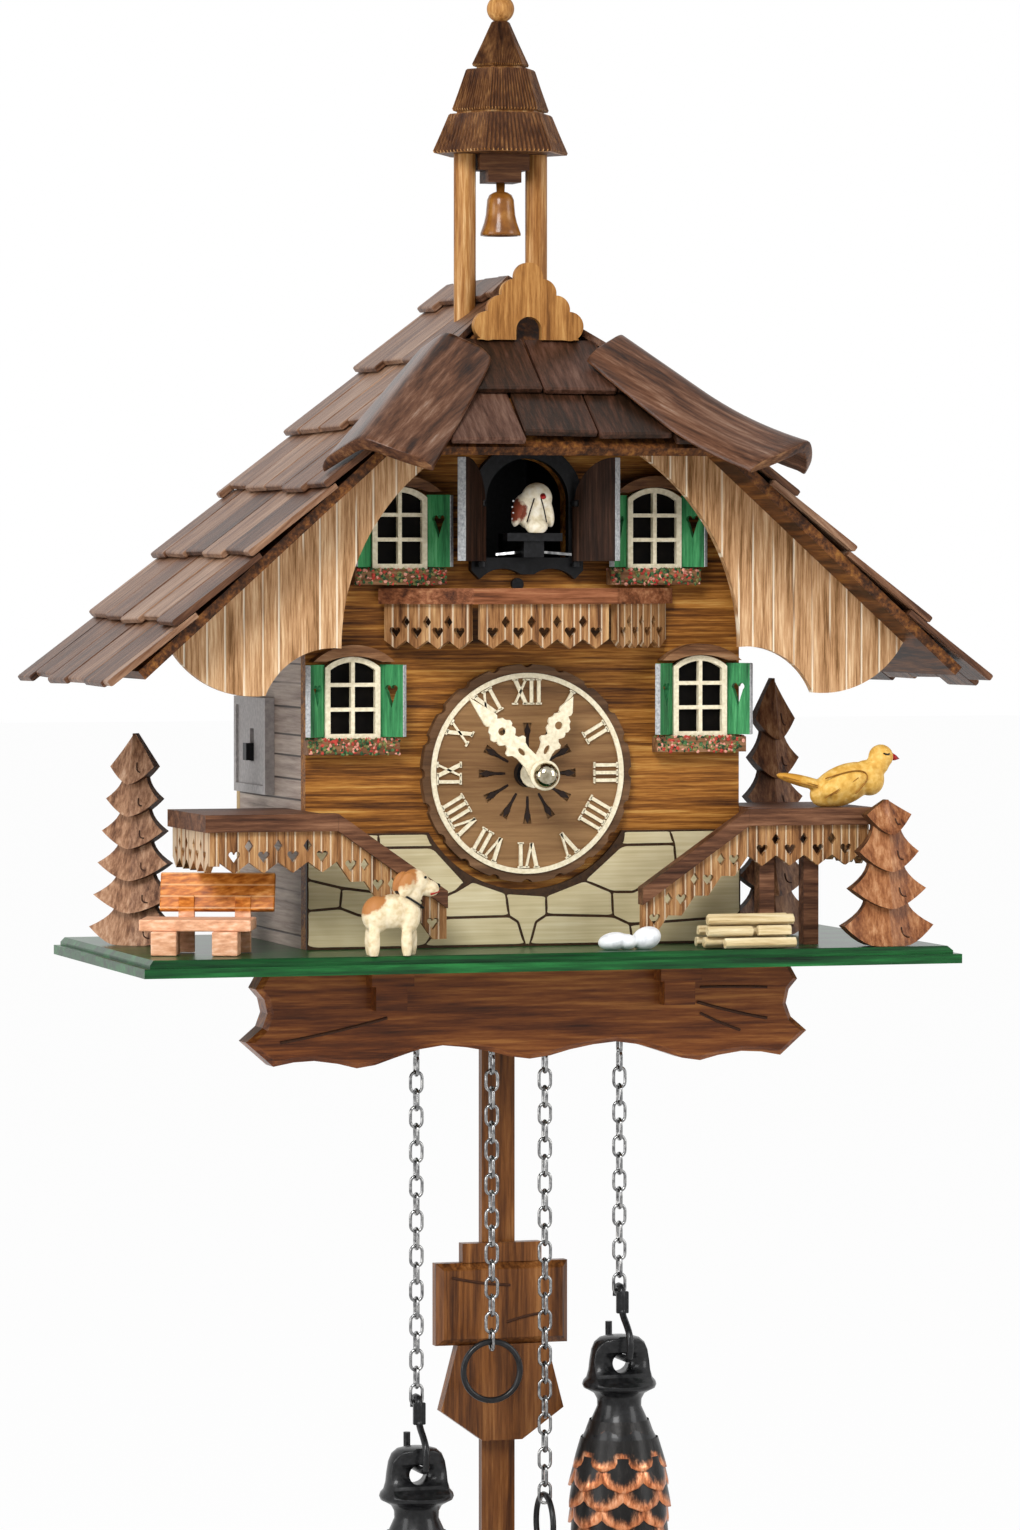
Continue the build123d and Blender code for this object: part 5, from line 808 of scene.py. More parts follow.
# %% The scales' node tree
def scale_tree(profile):
    tree, size = node_tree("cone_scales", {"Rows": "Int", "Around": "Int", "Row Pitch": "Float",
                                           "First Drop": "Float", "Scale": "Object", "Finish": "Material"})
    count = put(tree, "ShaderNodeMath", {0: size["Rows"], 1: size["Around"]}, operation="MULTIPLY")
    spots = put(tree, "GeometryNodeMeshLine", {"Count": count})
    index = put(tree, "GeometryNodeInputIndex")
    share = put(tree, "ShaderNodeMath", {0: index, 1: size["Around"]}, operation="DIVIDE")
    row = put(tree, "ShaderNodeMath", {0: share}, operation="FLOOR")
    part = put(tree, "ShaderNodeMath", {0: share}, operation="FRACT")
    odd = put(tree, "ShaderNodeMath", {0: row, 1: 2.0}, operation="MODULO")
    step = put(tree, "ShaderNodeMath", {0: 0.5, 1: size["Around"]}, operation="DIVIDE")
    place = put(tree, "ShaderNodeMath", {0: odd, 1: step, 2: part}, operation="MULTIPLY_ADD")
    angle = put(tree, "ShaderNodeMath", {0: place, 1: 2 * pi}, operation="MULTIPLY")
    drop = put(tree, "ShaderNodeMath", {0: row, 1: size["Row Pitch"], 2: size["First Drop"]},
               operation="MULTIPLY_ADD")
    length, widest = profile[-1][1], max(radius for radius, drop_mm in profile)
    along = put(tree, "ShaderNodeMath", {0: drop, 1: length * MM}, operation="DIVIDE")
    shape = put(tree, "ShaderNodeFloatCurve", {"Value": along})
    mapping = shape.node.mapping
    line = mapping.curves[0].points
    while len(line) < len(profile):
        line.new(0.5, 0.5)
    for spot, (radius, drop_mm) in zip(line, profile):
        spot.location = (drop_mm / length, radius / widest)
    mapping.update()
    radius = put(tree, "ShaderNodeMath", {0: shape, 1: widest * MM}, operation="MULTIPLY")
    across = put(tree, "ShaderNodeMath", {0: angle}, operation="COSINE")
    deep = put(tree, "ShaderNodeMath", {0: angle}, operation="SINE")
    x = put(tree, "ShaderNodeMath", {0: across, 1: radius}, operation="MULTIPLY")
    y = put(tree, "ShaderNodeMath", {0: deep, 1: radius}, operation="MULTIPLY")
    z = put(tree, "ShaderNodeMath", {0: drop, 1: -1.0}, operation="MULTIPLY")
    spot = put(tree, "ShaderNodeCombineXYZ", {"X": x, "Y": y, "Z": z})
    moved = put(tree, "GeometryNodeSetPosition", {"Geometry": spots, "Position": spot})
    facing = put(tree, "ShaderNodeMath", {0: angle, 1: pi / 2}, operation="ADD")
    lean = put(tree, "ShaderNodeMapRange", {0: along, 1: 0.25, 2: 0.9, 3: -0.22, 4: 0.42})
    euler = put(tree, "ShaderNodeCombineXYZ", {"X": lean, "Z": facing})
    spin = put(tree, "FunctionNodeEulerToRotation", {0: euler})
    grow = put(tree, "ShaderNodeMapRange", {0: shape, 1: 0.3, 2: 1.0, 3: 0.42, 4: 1.0})
    form = put(tree, "GeometryNodeObjectInfo", {"Object": size["Scale"]}, take="Geometry")
    copies = put(tree, "GeometryNodeInstanceOnPoints", {"Points": moved, "Instance": form, "Rotation": spin,
                                                        "Scale": grow})
    return closed_tree(tree, copies, size["Finish"])


# Radius and drop below the cap's top, in millimetres.
BODY = [(6.5, 18.5), (6.4, 20.5), (8.2, 24.5), (10.7, 29.5), (12.4, 38), (12.9, 50), (11.9, 64), (8.8, 79),
        (4.2, 90), (0.6, 94.6)]
CAP = [(0.4, 0), (3.6, 0.1), (5.8, 0.7), (7.3, 2.0), (8.2, 4.2), (8.7, 7.2), (9.0, 10), (9.6, 12.2), (10.5, 13.2),
       (10.8, 14.2), (10.4, 15.2), (9.0, 15.9), (7.4, 16.8)]
scales_tree = scale_tree([(4.0, 0)] + BODY)


# %% Two cones
CONE_DROP, SCALE_ROWS, SCALES_AROUND, ROW_PITCH, FIRST_ROW = 22.4, 13, 7, 5.0, 24.5


def cone_weight(name, across, links):
    top = STRAND_TOP - links * LINK_PITCH - CONE_DROP
    core = turned(name, [(radius, top - drop) for radius, drop in CAP + BODY], (across, CHAIN_BACK), black_iron)
    tool = bmesh.new()
    drills = [(at(across, CHAIN_BACK, top - 8.0), "X", 2.9, 60, 32)]
    drills += [(at(across, CHAIN_BACK + face * 10.2, top - 6.6), "Y", 7.5, 40, 48) for face in (-1, 1)]
    for centre, axis, radius, depth, segments in drills:
        bmesh.ops.create_cone(tool, cap_ends=True, segments=segments, radius1=radius * MM, radius2=radius * MM,
                              depth=depth * MM, matrix=Matrix.Translation(centre) @ Matrix.Rotation(pi / 2, 4, axis))
    bit = new_object("bit", bpy.data.meshes.new("bit"))
    tool.to_mesh(bit.data)
    tool.free()
    drill = core.modifiers.new("eye", "BOOLEAN")
    drill.object = bit
    drill.solver = "EXACT"
    drill.use_self = True
    core = shade(settle(core, black_iron))
    bpy.data.objects.remove(bit)
    scale = cone_scale()
    scales = grown(name + "_scales", scales_tree,
                   {"Rows": SCALE_ROWS, "Around": SCALES_AROUND, "Row Pitch": ROW_PITCH * MM,
                    "First Drop": FIRST_ROW * MM, "Scale": scale, "Finish": copper_iron},
                   Matrix.Translation(at(across, CHAIN_BACK, top)))
    bpy.data.objects.remove(scale)
    return joined(name, [core, scales])


rides(cone_weight("left_cone_weight", -OUTER, LEFT_LINKS), "left_weight", "iron", "cone_left")
rides(cone_weight("right_cone_weight", OUTER, RIGHT_LINKS), "right_weight", "iron", "cone_right")

# %% [markdown]
# ## Shingles
# The roof is covered with split boards laid from the eave up, each row over the heads of the one below. No two
# were split to the same length, so their butts make a ragged line. One board with worn edges is modelled, and
# a node tree lays it in rows with a seeded difference in length and a slight twist.


# %% One worn board, and the tree that lays it
def worn_board(name, length, width, thick=2.0):
    points = []
    for run, inset in ((-length, 0.25), (-0.8, 0.0), (-0.25, 0.12), (0.0, 0.4)):
        half, low, high = width / 2 - inset, inset, thick - inset
        ring = [(-half, low + 0.3), (-half + 0.3, low), (half - 0.3, low), (half, low + 0.3),
                (half, high - 0.3), (half - 0.4, high), (-half + 0.4, high), (-half, high - 0.3)]
        points += [Vector((run, side, up)) * MM for side, up in ring]
    return piece(name, points, ring_faces(4, 8), roof_board, False)


def shingle_tree():
    tree, size = node_tree("shingle_rows", {"Rows": "Int", "Per Row": "Int", "Row Pitch": "Float", "Width": "Float",
                                            "Step": "Float", "Tilt": "Float", "Twist": "Float", "Seed": "Int",
                                            "Board": "Object", "Wood": "Material"})
    count = put(tree, "ShaderNodeMath", {0: size["Rows"], 1: size["Per Row"]}, operation="MULTIPLY")
    index = put(tree, "GeometryNodeInputIndex")
    share = put(tree, "ShaderNodeMath", {0: index, 1: size["Per Row"]}, operation="DIVIDE")
    row = put(tree, "ShaderNodeMath", {0: share}, operation="FLOOR")
    along = put(tree, "ShaderNodeMath", {0: index, 1: size["Per Row"]}, operation="FLOORED_MODULO")
    odd = put(tree, "ShaderNodeMath", {0: row, 1: 2.0}, operation="FLOORED_MODULO")
    phase = put(tree, "ShaderNodeMath", {0: odd, 1: -0.55, 2: along}, operation="MULTIPLY_ADD")
    across = put(tree, "ShaderNodeMath", {0: phase, 1: size["Width"]}, operation="MULTIPLY")
    short = put(tree, "FunctionNodeRandomValue", {2: 0.0, 3: size["Step"], "Seed": size["Seed"]}, take=1)
    up_slope = put(tree, "ShaderNodeMath", {0: row, 1: size["Row Pitch"], 2: short}, operation="MULTIPLY_ADD")
    down = put(tree, "ShaderNodeMath", {0: up_slope, 1: -1.0}, operation="MULTIPLY")
    drop = put(tree, "ShaderNodeMath", {0: short, 1: size["Tilt"]}, operation="MULTIPLY")
    sunk = put(tree, "ShaderNodeMath", {0: drop, 1: -1.0}, operation="MULTIPLY")
    spot = put(tree, "ShaderNodeCombineXYZ", {"X": down, "Y": across, "Z": sunk})
    spots = put(tree, "GeometryNodePoints", {"Count": count, "Position": spot})
    other = put(tree, "ShaderNodeMath", {0: size["Seed"], 1: 7.0}, operation="ADD")
    less = put(tree, "ShaderNodeMath", {0: size["Twist"], 1: -1.0}, operation="MULTIPLY")
    twist = put(tree, "FunctionNodeRandomValue", {2: less, 3: size["Twist"], "Seed": other}, take=1)
    lean = put(tree, "ShaderNodeMath", {0: size["Tilt"], 1: -1.0}, operation="MULTIPLY")
    euler = put(tree, "ShaderNodeCombineXYZ", {"X": twist, "Y": lean, "Z": twist})
    spin = put(tree, "FunctionNodeEulerToRotation", {0: euler})
    board = put(tree, "GeometryNodeObjectInfo", {"Object": size["Board"]}, take="Geometry")
    laid = put(tree, "GeometryNodeInstanceOnPoints", {"Points": spots, "Instance": board, "Rotation": spin})
    return closed_tree(tree, laid, size["Wood"])


rows_tree = shingle_tree()

# %% [markdown]
# The tree lays boards flat, with X down the slope. Each roof face then stands up into its place, and is sawn
# along the ridge, the hips and the two ends of the house, as a roofer does last.

# %% Lay the three roof faces
RIDGE, HIP_BACK = 184.6, 16.3  # the ridge's height, and how far back the hips meet it
HOUSE_RUN, HIP_RUN = 119.4, 49.5  # from the ridge out to the eaves, at the sides and in front
BOARD = 3.0  # thickness of the roof boards
EAVE_LAP, HIP_LAP, STEP_UP = 12, 2, 2.1  # how far the first row hangs over, and how high each row lies on the last
HIP = at(0, HIP_BACK, 0)


def slope(x, y):
    """Down and out of a roof face that falls towards x or y."""
    return (Vector((x * cos(PITCH), y * cos(PITCH), -sin(PITCH))),
            Vector((x * sin(PITCH), y * sin(PITCH), cos(PITCH))))


def roof_place(down, out, across, back, run, lift):
    turn = Matrix((down, out.cross(down), out)).transposed().to_4x4()
    return Matrix.Translation(at(across, back, RIDGE) + (down * run + out * (BOARD + lift)) * MM) @ turn


def lay(name, board, wood, rows, pitch, width, step, twist, seed, place, cuts):
    laid = grown(name + "_shingles", rows_tree,
                 {"Rows": rows[0], "Per Row": rows[1], "Row Pitch": pitch * MM, "Width": width * MM,
                  "Step": step * MM, "Tilt": STEP_UP / pitch, "Twist": twist, "Seed": seed, "Board": board,
                  "Wood": wood}, place)
    rides(trimmed(laid, cuts), "case", "shingle_wood", "shingles_" + name)


long_board, short_board = worn_board("long_board", 31.5, 22.6), worn_board("short_board", 25.0, 21.6)
for name, sign, seed, wood, first in (("left", -1, 5, left_shingle, 75.0), ("right", 1, 12, right_shingle, -30.0)):
    lay(name, long_board, wood, (7, 8), 27.5, 23.0, 4.6, 0.014, seed,
        roof_place(*slope(sign, 0), 0, first, HOUSE_RUN / cos(PITCH) + EAVE_LAP, 2.45),
        [(at(sign * 0.1, 0, 0), (-sign, 0, 0)), (at(0, -35.2, 0), (0, -1, 0)), (at(0, 80, 0), (0, 1, 0)),
         (HIP, (-sign, -1, 0))])
lay("hip", short_board, hip_shingle, (2, 6), 21.0, 22.0, 4.0, 0.012, 9,
    roof_place(*slope(0, -1), -44.0, HIP_BACK, HIP_RUN / cos(PITCH) + HIP_LAP, 2.55),
    [(HIP, (1, 1, 0)), (HIP, (-1, 1, 0))])
for board in (long_board, short_board):
    bpy.data.objects.remove(board)

# %% [markdown]
# ## Caps over the hips
# Where two roof faces meet, the carver fits a polished cap: two leaves with a soft ridge between them, wider
# towards the eave and drooping over the corner. It is drawn as sections along the hip line, each a soft tent,
# so the ridge and the rounded end come out smooth.

# %% Hip caps
HIP_LINE = Vector((HIP_RUN, -HIP_RUN, -HIP_RUN * sin(PITCH) / cos(PITCH)))
CAP_SEAT, CAP_THICK, CAP_START = 8.6, 3.4, 21.4


def hip_cap(name, sign, wood, over, flare):
    down = Vector((sign * HIP_LINE.x, HIP_LINE.y, HIP_LINE.z)).normalized()
    away = (slope(sign, 0)[1] + slope(0, -1)[1]).normalized()
    side = away.cross(down)
    length, start = HIP_LINE.length, HIP_LINE.length * CAP_START / HIP_RUN
    sections, across = 26, 21
    points = []
    for top in (1, 0):
        for i in range(sections):
            share = i / (sections - 1)
            wide = 13.5 + 6.5 * share ** 0.8
            sweep = flare * max(0.0, (share - 0.45) / 0.55) ** 2
            tuck = 0.5 * (1 - top) * max(0.0, share - 0.97) / 0.03
            for j in range(across):
                part = 2 * j / (across - 1) - 1
                run = start + (length + over - 3.2 * part * part - start) * share
                fall = (sqrt(part * part + 0.02) - 0.14) * wide * 0.53
                edge = 0.55 * CAP_THICK * max(0.0, abs(part) - 0.86) / 0.14
                lift = CAP_SEAT - fall + sweep + top * (CAP_THICK - edge) - tuck
                spot = down * run + side * part * wide * 0.88 + away * lift
                points.append(at(0, HIP_BACK, RIDGE) + spot * MM)
    shell = piece(name, points, shell_faces(sections, across), wood)
    shell.data.materials.append(beam_spruce)
    for face in list(shell.data.polygons)[3 - 2 * across::2]:  # the sawn end over the eave
        face.material_index = 1
    return shade(bevelled(shell, 0.5))


caps = joined("hip_cap_pair", [hip_cap("left_cap", -1, left_cap_lime, 11, 0.0),
                               hip_cap("right_cap", 1, right_cap_lime, 20, 5.5)])
rides(caps, "case", "brown_wood", "hip_caps")

# %% [markdown]
# ## Carved firs
# Three flat firs are carved in relief: every tier is a skirt of two faces that meet in a ridge, drooping in the
# middle and lifting at its tips, with a gouge cut in one face, drawn as a dark line of painted shade with the stain
# in it. Only the fronts are carved, and the sawn edges are dark. A tier is a small grid pulled into that shape.

# %% Firs
GOUGE = [(0.40, 0.62), (0.36, 0.72), (0.40, 0.82), (0.5, 0.86)]  # across and down a tier


def fir(name, across, back, turn, height, half, tiers, wood):
    along = Vector((cos(radians(turn)), sin(radians(turn)), 0))
    out = Vector((sin(radians(turn)), -cos(radians(turn)), 0))
    foot = at(across, back, 0.05)
    pitch, columns, levels = 0.76 * height / (tiers - 1), 15, 7
    parts = []
    for k in range(tiers):
        wide = half * (1 - 0.5 * k / (tiers - 1))
        low, last = pitch * k, k == tiers - 1
        top = height if last else low + 1.3 * pitch

        def spot(u, v):
            width = wide * (0.03 + 0.97 * v if last else 0.45 + 0.55 * v ** 2)
            floor_at = low + 0.55 * pitch * (abs(u) if k else max(0.0, abs(u) - 0.35) / 0.65) ** 1.6
            depth = 2.2 + 1.9 * v * v + 2.8 * (1 - abs(u)) * (0.5 + 0.5 * v)
            rise = Vector((0, 0, (top + (floor_at - top) * v) * MM))
            return foot + (along * u * width + out * depth) * MM + rise

        grid = [spot(2 * i / (columns - 1) - 1, j / (levels - 1)) for j in range(levels) for i in range(columns)]
        flat = [point - out * (point - foot).dot(out) for point in grid]
        tier = piece(name + str(k), grid + flat, shell_faces(levels, columns), wood, False)
        tier.data.materials.append(beam_spruce)
        for face in tier.data.polygons:
            face.material_index = 0 if face.normal.dot(out) > 0.25 else 1
        # Each gouge is a dark line on the face: painted shade of the cut, with stain.
        cut = [spot(u, v) + out * 0.1 * MM for u, v in GOUGE]
        parts += [tier, wire(name + "_cut", cut, 0.22, cut_shade_and_stain, resolution=3)]
    return joined(name, parts)


firs = joined("carved_firs", [fir("left_fir", -104.5, 39, -40, 61, 14, 6, left_fir_lime),
                              fir("middle_fir", 86, 34, 8, 76, 13, 6, fir_lime),
                              fir("right_fir", 100.5, -25, 4, 42, 14, 4, right_fir_lime)])
rides(firs, "case", "brown_wood", "carved_trees")

# %% [markdown]
# ## Painted figures
# The dog, the garden bird and the cuckoo are small carvings, painted by hand. Soft lumps pressed into one skin
# give the rounded carving, and the paint goes on in patches. Beaks, eyes and the collar are pieces of their own.
# A lump is a centre, three radii and a lean in degrees. Each figure has its own way to name a place on it.


# %% Spikes and dots
def spike(name, foot, tip, radius, material):
    out = (tip - foot).normalized()
    side = out.orthogonal().normalized()
    other = out.cross(side)
    ring = [foot + (side * c + other * s) * radius * MM for c, s in circle(12)]
    waist = [foot + (tip - foot) * 0.55 + (point - foot) * 0.62 for point in ring]
    faces = [(k, (k + 1) % 12, 12 + (k + 1) % 12, 12 + k) for k in range(12)]
    faces += [(12 + k, 12 + (k + 1) % 12, 24) for k in range(12)] + [tuple(range(12))]
    return piece(name, ring + waist + [tip], faces, material)


def dot(name, centre, radius, material):
    return pressed(name, [(centre, (radius, radius, radius), 0)], radius / 4, material, 2)


print("spikes and dots ready")


# %% The dog
def on_dog(run, up, ahead=31.0):
    return at(run - 58.0, -ahead, up)


dog_paint = hand_painted("painted_dog", [(0.34, "c9b48d"), (0.5, "d8c7a4"), (0.68, "e3d5b8")],
                         [(on_dog(3.4, 15.6), 4.6, "a9713f"), (on_dog(12.9, 21.4), 4.6, "a8703e")])
DOG = [(on_dog(5.4, 11.6), (4.3, 3.9, 5.3), 0), (on_dog(9.8, 12.4), (6.4, 3.9, 4.9), -12),
       (on_dog(14.6, 11.6), (3.6, 3.8, 5.6), 0), (on_dog(15.2, 17.0), (3.4, 3.2, 4.4), 20),
       (on_dog(16.6, 20.6), (4.0, 3.5, 3.8), 0), (on_dog(20.6, 18.8), (3.1, 2.4, 2.4), 10)]
DOG += [(on_dog(13.3, 20.0, ahead), (2.4, 1.2, 3.8), 20) for ahead in (34.0, 28.0)]
DOG += [(on_dog(run, 4.2, ahead), (wide, 1.5, 5.6), 0)
        for run, ahead, wide in ((4.0, 33.2, 1.9), (4.4, 28.8, 1.9), (13.6, 33.2, 1.7), (16.2, 28.8, 1.7))]
body = trimmed(pressed("dog_body", DOG, 0.42, dog_paint, 5), [(at(0, 0, 0.05), (0, 0, -1))])
collar = wire("dog_collar", [on_dog(15.0 + 4.0 * c, 15.6 - 2.4 * c, 31 + 3.7 * s) for c, s in circle(12)],
              0.32, black_abs, True)
nose = dot("dog_nose", on_dog(23.3, 19.4), 0.75, eye_black)
eyes = [dot("dog_eye", on_dog(18.9, 22.0, ahead), 0.42, eye_black) for ahead in (33.7, 28.3)]
mouth = wire("dog_mouth", [on_dog(20.6, 17.2, 33.2), on_dog(22.2, 17.4, 32.8), on_dog(23.4, 18.0, 31.6)],
             0.26, beak_red)
rides(joined("dog_carving", [body, collar, nose, mouth] + eyes), "case", "figure_paint", "dog")


# %% The garden bird
def on_bird(run, up, ahead=12.5):
    return at(run + 73.0, -ahead, up + 39.65)


def bird_lines(name, runs, radius):
    return [wire(name, [on_bird(*spot) for spot in run], radius, wing_stain) for run in runs]


bird_paint = hand_painted("painted_bird", [(0.32, "c69440"), (0.48, "d6a750"), (0.62, "e0b765"), (0.78, "e9c67e")],
                          [(on_bird(3, 7.8), 4.0, "c08a34")])
BIRD = [(on_bird(19.6, 6.2), (10.8, 4.3, 5.8), -22), (on_bird(27.2, 8.2), (4.8, 4.0, 5.4), -30),
        (on_bird(30.4, 12.6), (3.3, 3.1, 3.8), 0), (on_bird(31.2, 14.3), (3.7, 3.2, 3.6), 0),
        (on_bird(8.0, 7.2), (9.2, 2.6, 1.7), 14)]
BIRD += [(on_bird(18.6, 6.4, ahead), (7.4, 1.5, 3.2), -20) for ahead in (15.6, 9.4)]
body = trimmed(pressed("bird_body", BIRD, 0.42, bird_paint), [(at(0, 0, 39.7), (0, 0, -1))])
feathers = bird_lines("feather", [[(12.6 + 1.6 * k, 2.6 + 0.6 * k, 16.6), (17 + 1.3 * k, 5.2 + 0.5 * k, 17.05),
                                   (20.4 + 1.2 * k, 7.6 + 0.4 * k, 16.7)] for k in range(3)], 0.17)
feathers += bird_lines("wing_edge", [[(13, 8.2, 15.9), (19, 10.2, 16.4), (25, 10.6, 16.2), (26.2, 7.6, 16.6),
                                      (22, 3.8, 16.7)]], 0.2)
feathers += bird_lines("tail_cut", [[(0.6, 7.9 + k, 14.3), (6, 6.9 + 0.7 * k, 14.9), (11, 5.6 + 0.6 * k, 14.9)]
                                    for k in (0, 0.9)], 0.16)
eye = wire("bird_eye", [on_bird(31.0, 15.4, 15.6), on_bird(32.0, 14.7, 15.6), on_bird(32.9, 15.2, 15.3)],
           0.24, eye_black)
beak = spike("bird_beak", on_bird(34.2, 14.3), on_bird(37.0, 13.6), 1.25, beak_red)
rides(joined("garden_bird", [body, eye, beak] + feathers), "case", "yellow_paint", "yellow_bird")


# %% The cuckoo
def on_cuckoo(across, up, ahead):
    return at(across, -ahead, up + 118.65)


cuckoo_paint = hand_painted("painted_cuckoo", [(0.32, "d8c9a6"), (0.5, "ebe0c6"), (0.7, "f6efdf")],
                            [(on_cuckoo(-5.2, 6.4, 9.0), 3.4, "7c3a26")])
CUCKOO = [(on_cuckoo(0, 5.9, 7.6), (4.9, 4.6, 5.2), 0), (on_cuckoo(0.9, 9.9, 9.2), (4.5, 4.0, 4.5), 0),
          (on_cuckoo(-4.4, 6.4, 8.2), (1.5, 3.6, 4.8), 12), (on_cuckoo(4.4, 6.2, 8.2), (1.5, 3.6, 4.8), -12),
          (on_cuckoo(0.4, 2.0, 10.6), (3.4, 2.2, 2.6), 0)]
body = trimmed(pressed("cuckoo_body", CUCKOO, 0.36, cuckoo_paint), [(on_cuckoo(0, 0.02, 0), (0, 0, -1))])
# The breast's two lines take the dark cut finish: painted shade of carved lines.
lines = [wire("cuckoo_line", [on_cuckoo(side * 1.0, 9.8, 13.1), on_cuckoo(side * 2.1, 6.6, 12.9),
                              on_cuckoo(side * 2.9, 3.0, 12.2)], 0.2, carved_shadow) for side in (-1, 1)]
flecks = [dot("wing_fleck", on_cuckoo(-6.1, 4.0 + 1.7 * k, 8.4 + 0.9 * (k % 2)), 0.3, white_stone)
          for k in range(4)]
beak = spike("cuckoo_beak", on_cuckoo(1.6, 10.4, 12.9), on_cuckoo(1.9, 10.0, 14.6), 0.95, beak_red)
rides(joined("cuckoo_carving", [body, beak] + lines + flecks), "cuckoo_slider", "figure_paint", "cuckoo_bird")

# %% [markdown]
# ## Firewood and pebbles
# The thin logs are split, so their sections are uneven many-sided shapes, drawn with a seed of their own. Two
# white pebbles lie by the porch.

# %% Logs and pebbles
LOG, LOG_STEP, LOG_RISE, LOG_SIDES = 1.75, 3.7, 3.25, 7
# Place in its row, row, and how far each end departs from the pile's ends.
LOGS = [(0, 0, 5.0, 0.4), (1, 0, 0, -2.0), (2, 0, 1, 0), (3, 0, 0, 1), (0.5, 1, 0.4, -12), (0.5, 1, 15.5, -0.5),
        (1.5, 1, 1.5, 0.5), (2.5, 1, 0, -1), (1, 2, 1, 1), (2, 2, 2.5, 0.2)]


def split_log(name, first, last, back, up, seed):
    draw = random.Random(seed)
    sides = [(2 * pi * k / LOG_SIDES + draw.uniform(-0.25, 0.25), LOG * draw.uniform(0.82, 1.0))
             for k in range(LOG_SIDES)]
    points = [at(across, back + reach * cos(angle) * 0.98, up + reach * sin(angle) * 0.98)
              for across in (first, last) for angle, reach in sides]
    return bevelled(piece(name, points, ring_faces(2, LOG_SIDES), log_spruce, False), 0.25)


logs = [split_log("log", 45.0 + start, 71.0 + stop, -31.8 + place * LOG_STEP, LOG + 0.05 + row * LOG_RISE, k)
        for k, (place, row, start, stop) in enumerate(LOGS)]
rides(joined("split_logs", logs), "case", "cream_plastic", "log_pile")
stones = pressed("porch_pebbles", [
    (at(19.6, -23, 2.4), (4.6, 3.8, 2.6), -8), (at(23.2, -23.6, 2.2), (3.0, 3.2, 2.3), 0),
    (at(29.4, -23, 3.1), (4.4, 3.9, 3.3), -20)], 0.4, white_stone)
rides(trimmed(stones, [(at(0, 0, 0.06), (0, 0, -1))]), "case", "figure_paint", "pebbles")

# %% [markdown]
# ## Numerals
# The hours are Roman numerals pressed in cream plastic, all with their feet towards the centre. Every numeral is
# a few bars and small serifs, so it is written as strokes and set round the dial.

# %% Numerals round the dial
NUMERAL_IN, NUMERAL_OUT, NUMERAL_HIGH, DIAL_FACE = 20.0, 26.9, 0.75, 2.9
SERIF_HALF, SERIF_THICK = 0.85, 0.5
# A letter's width, and its strokes: across and up at both ends, with up from 0 to 1, and thickness.
GLYPHS = {"I": (2.2, [(0, 0, 0, 1, 0.95)]), "V": (4.2, [(-1.55, 1, 0, 0, 1.1), (1.55, 1, 0, 0, 0.6)]),
          "X": (4.4, [(-1.6, 1, 1.6, 0, 1.1), (1.6, 1, -1.6, 0, 0.6)])}
HOURS = ["XII", "I", "II", "III", "IIII", "V", "VI", "VII", "VIII", "IX", "X", "XI"]


def dial_axes(angle):
    """To the right and outwards on the dial, for a numeral or a hand that points this way."""
    return Vector((cos(angle), 0, -sin(angle))), Vector((sin(angle), 0, cos(angle)))


def numeral(hour, text):
    right, out = dial_axes(2 * pi * hour / 12)
    tall = NUMERAL_OUT - NUMERAL_IN
    bars = []
    pen = -sum(GLYPHS[letter][0] for letter in text) / 2
    for letter in text:
        width, strokes = GLYPHS[letter]
        middle = pen + width / 2
        for x0, y0, x1, y1, thick in strokes:
            bars.append(((middle + x0, y0 * tall), (middle + x1, y1 * tall), thick))
            for x, y in ((x0, y0), (x1, y1)):
                if letter != "V" or y:
                    serif = [(middle + x + side * SERIF_HALF, y * tall) for side in (-1, 1)]
                    bars.append((*serif, SERIF_THICK))
        pen += width
    points, faces = [], []
    for start, stop, thick in bars:
        run = Vector((stop[0] - start[0], stop[1] - start[1]))
        flank = Vector((-run.y, run.x)).normalized() * thick / 2
        faces += [tuple(len(points) + k for k in face) for face in ring_faces(2, 4)]
        for ahead in (DIAL_FACE, DIAL_FACE + NUMERAL_HIGH):
            for foot, hand in ((start, 1), (start, -1), (stop, -1), (stop, 1)):
                spot = Vector(foot) + flank * hand
                points.append(at(0, -ahead, DIAL_UP) + (right * spot.x + out * (NUMERAL_IN + spot.y)) * MM)
    return piece("numeral", points, faces, cream_ps, False)


rides(joined("hour_numerals", [numeral(hour, text) for hour, text in enumerate(HOURS)]), "case", "cream_plastic")

# %% [markdown]
# ## Field stones on the plinth
# The plinth under the dial is printed with pale stones between dark joints. Here the board took the dark colour
# above and each stone is a thin pad with worn corners, so the joints are the gaps that are left. The pads follow
# the round of the dial.

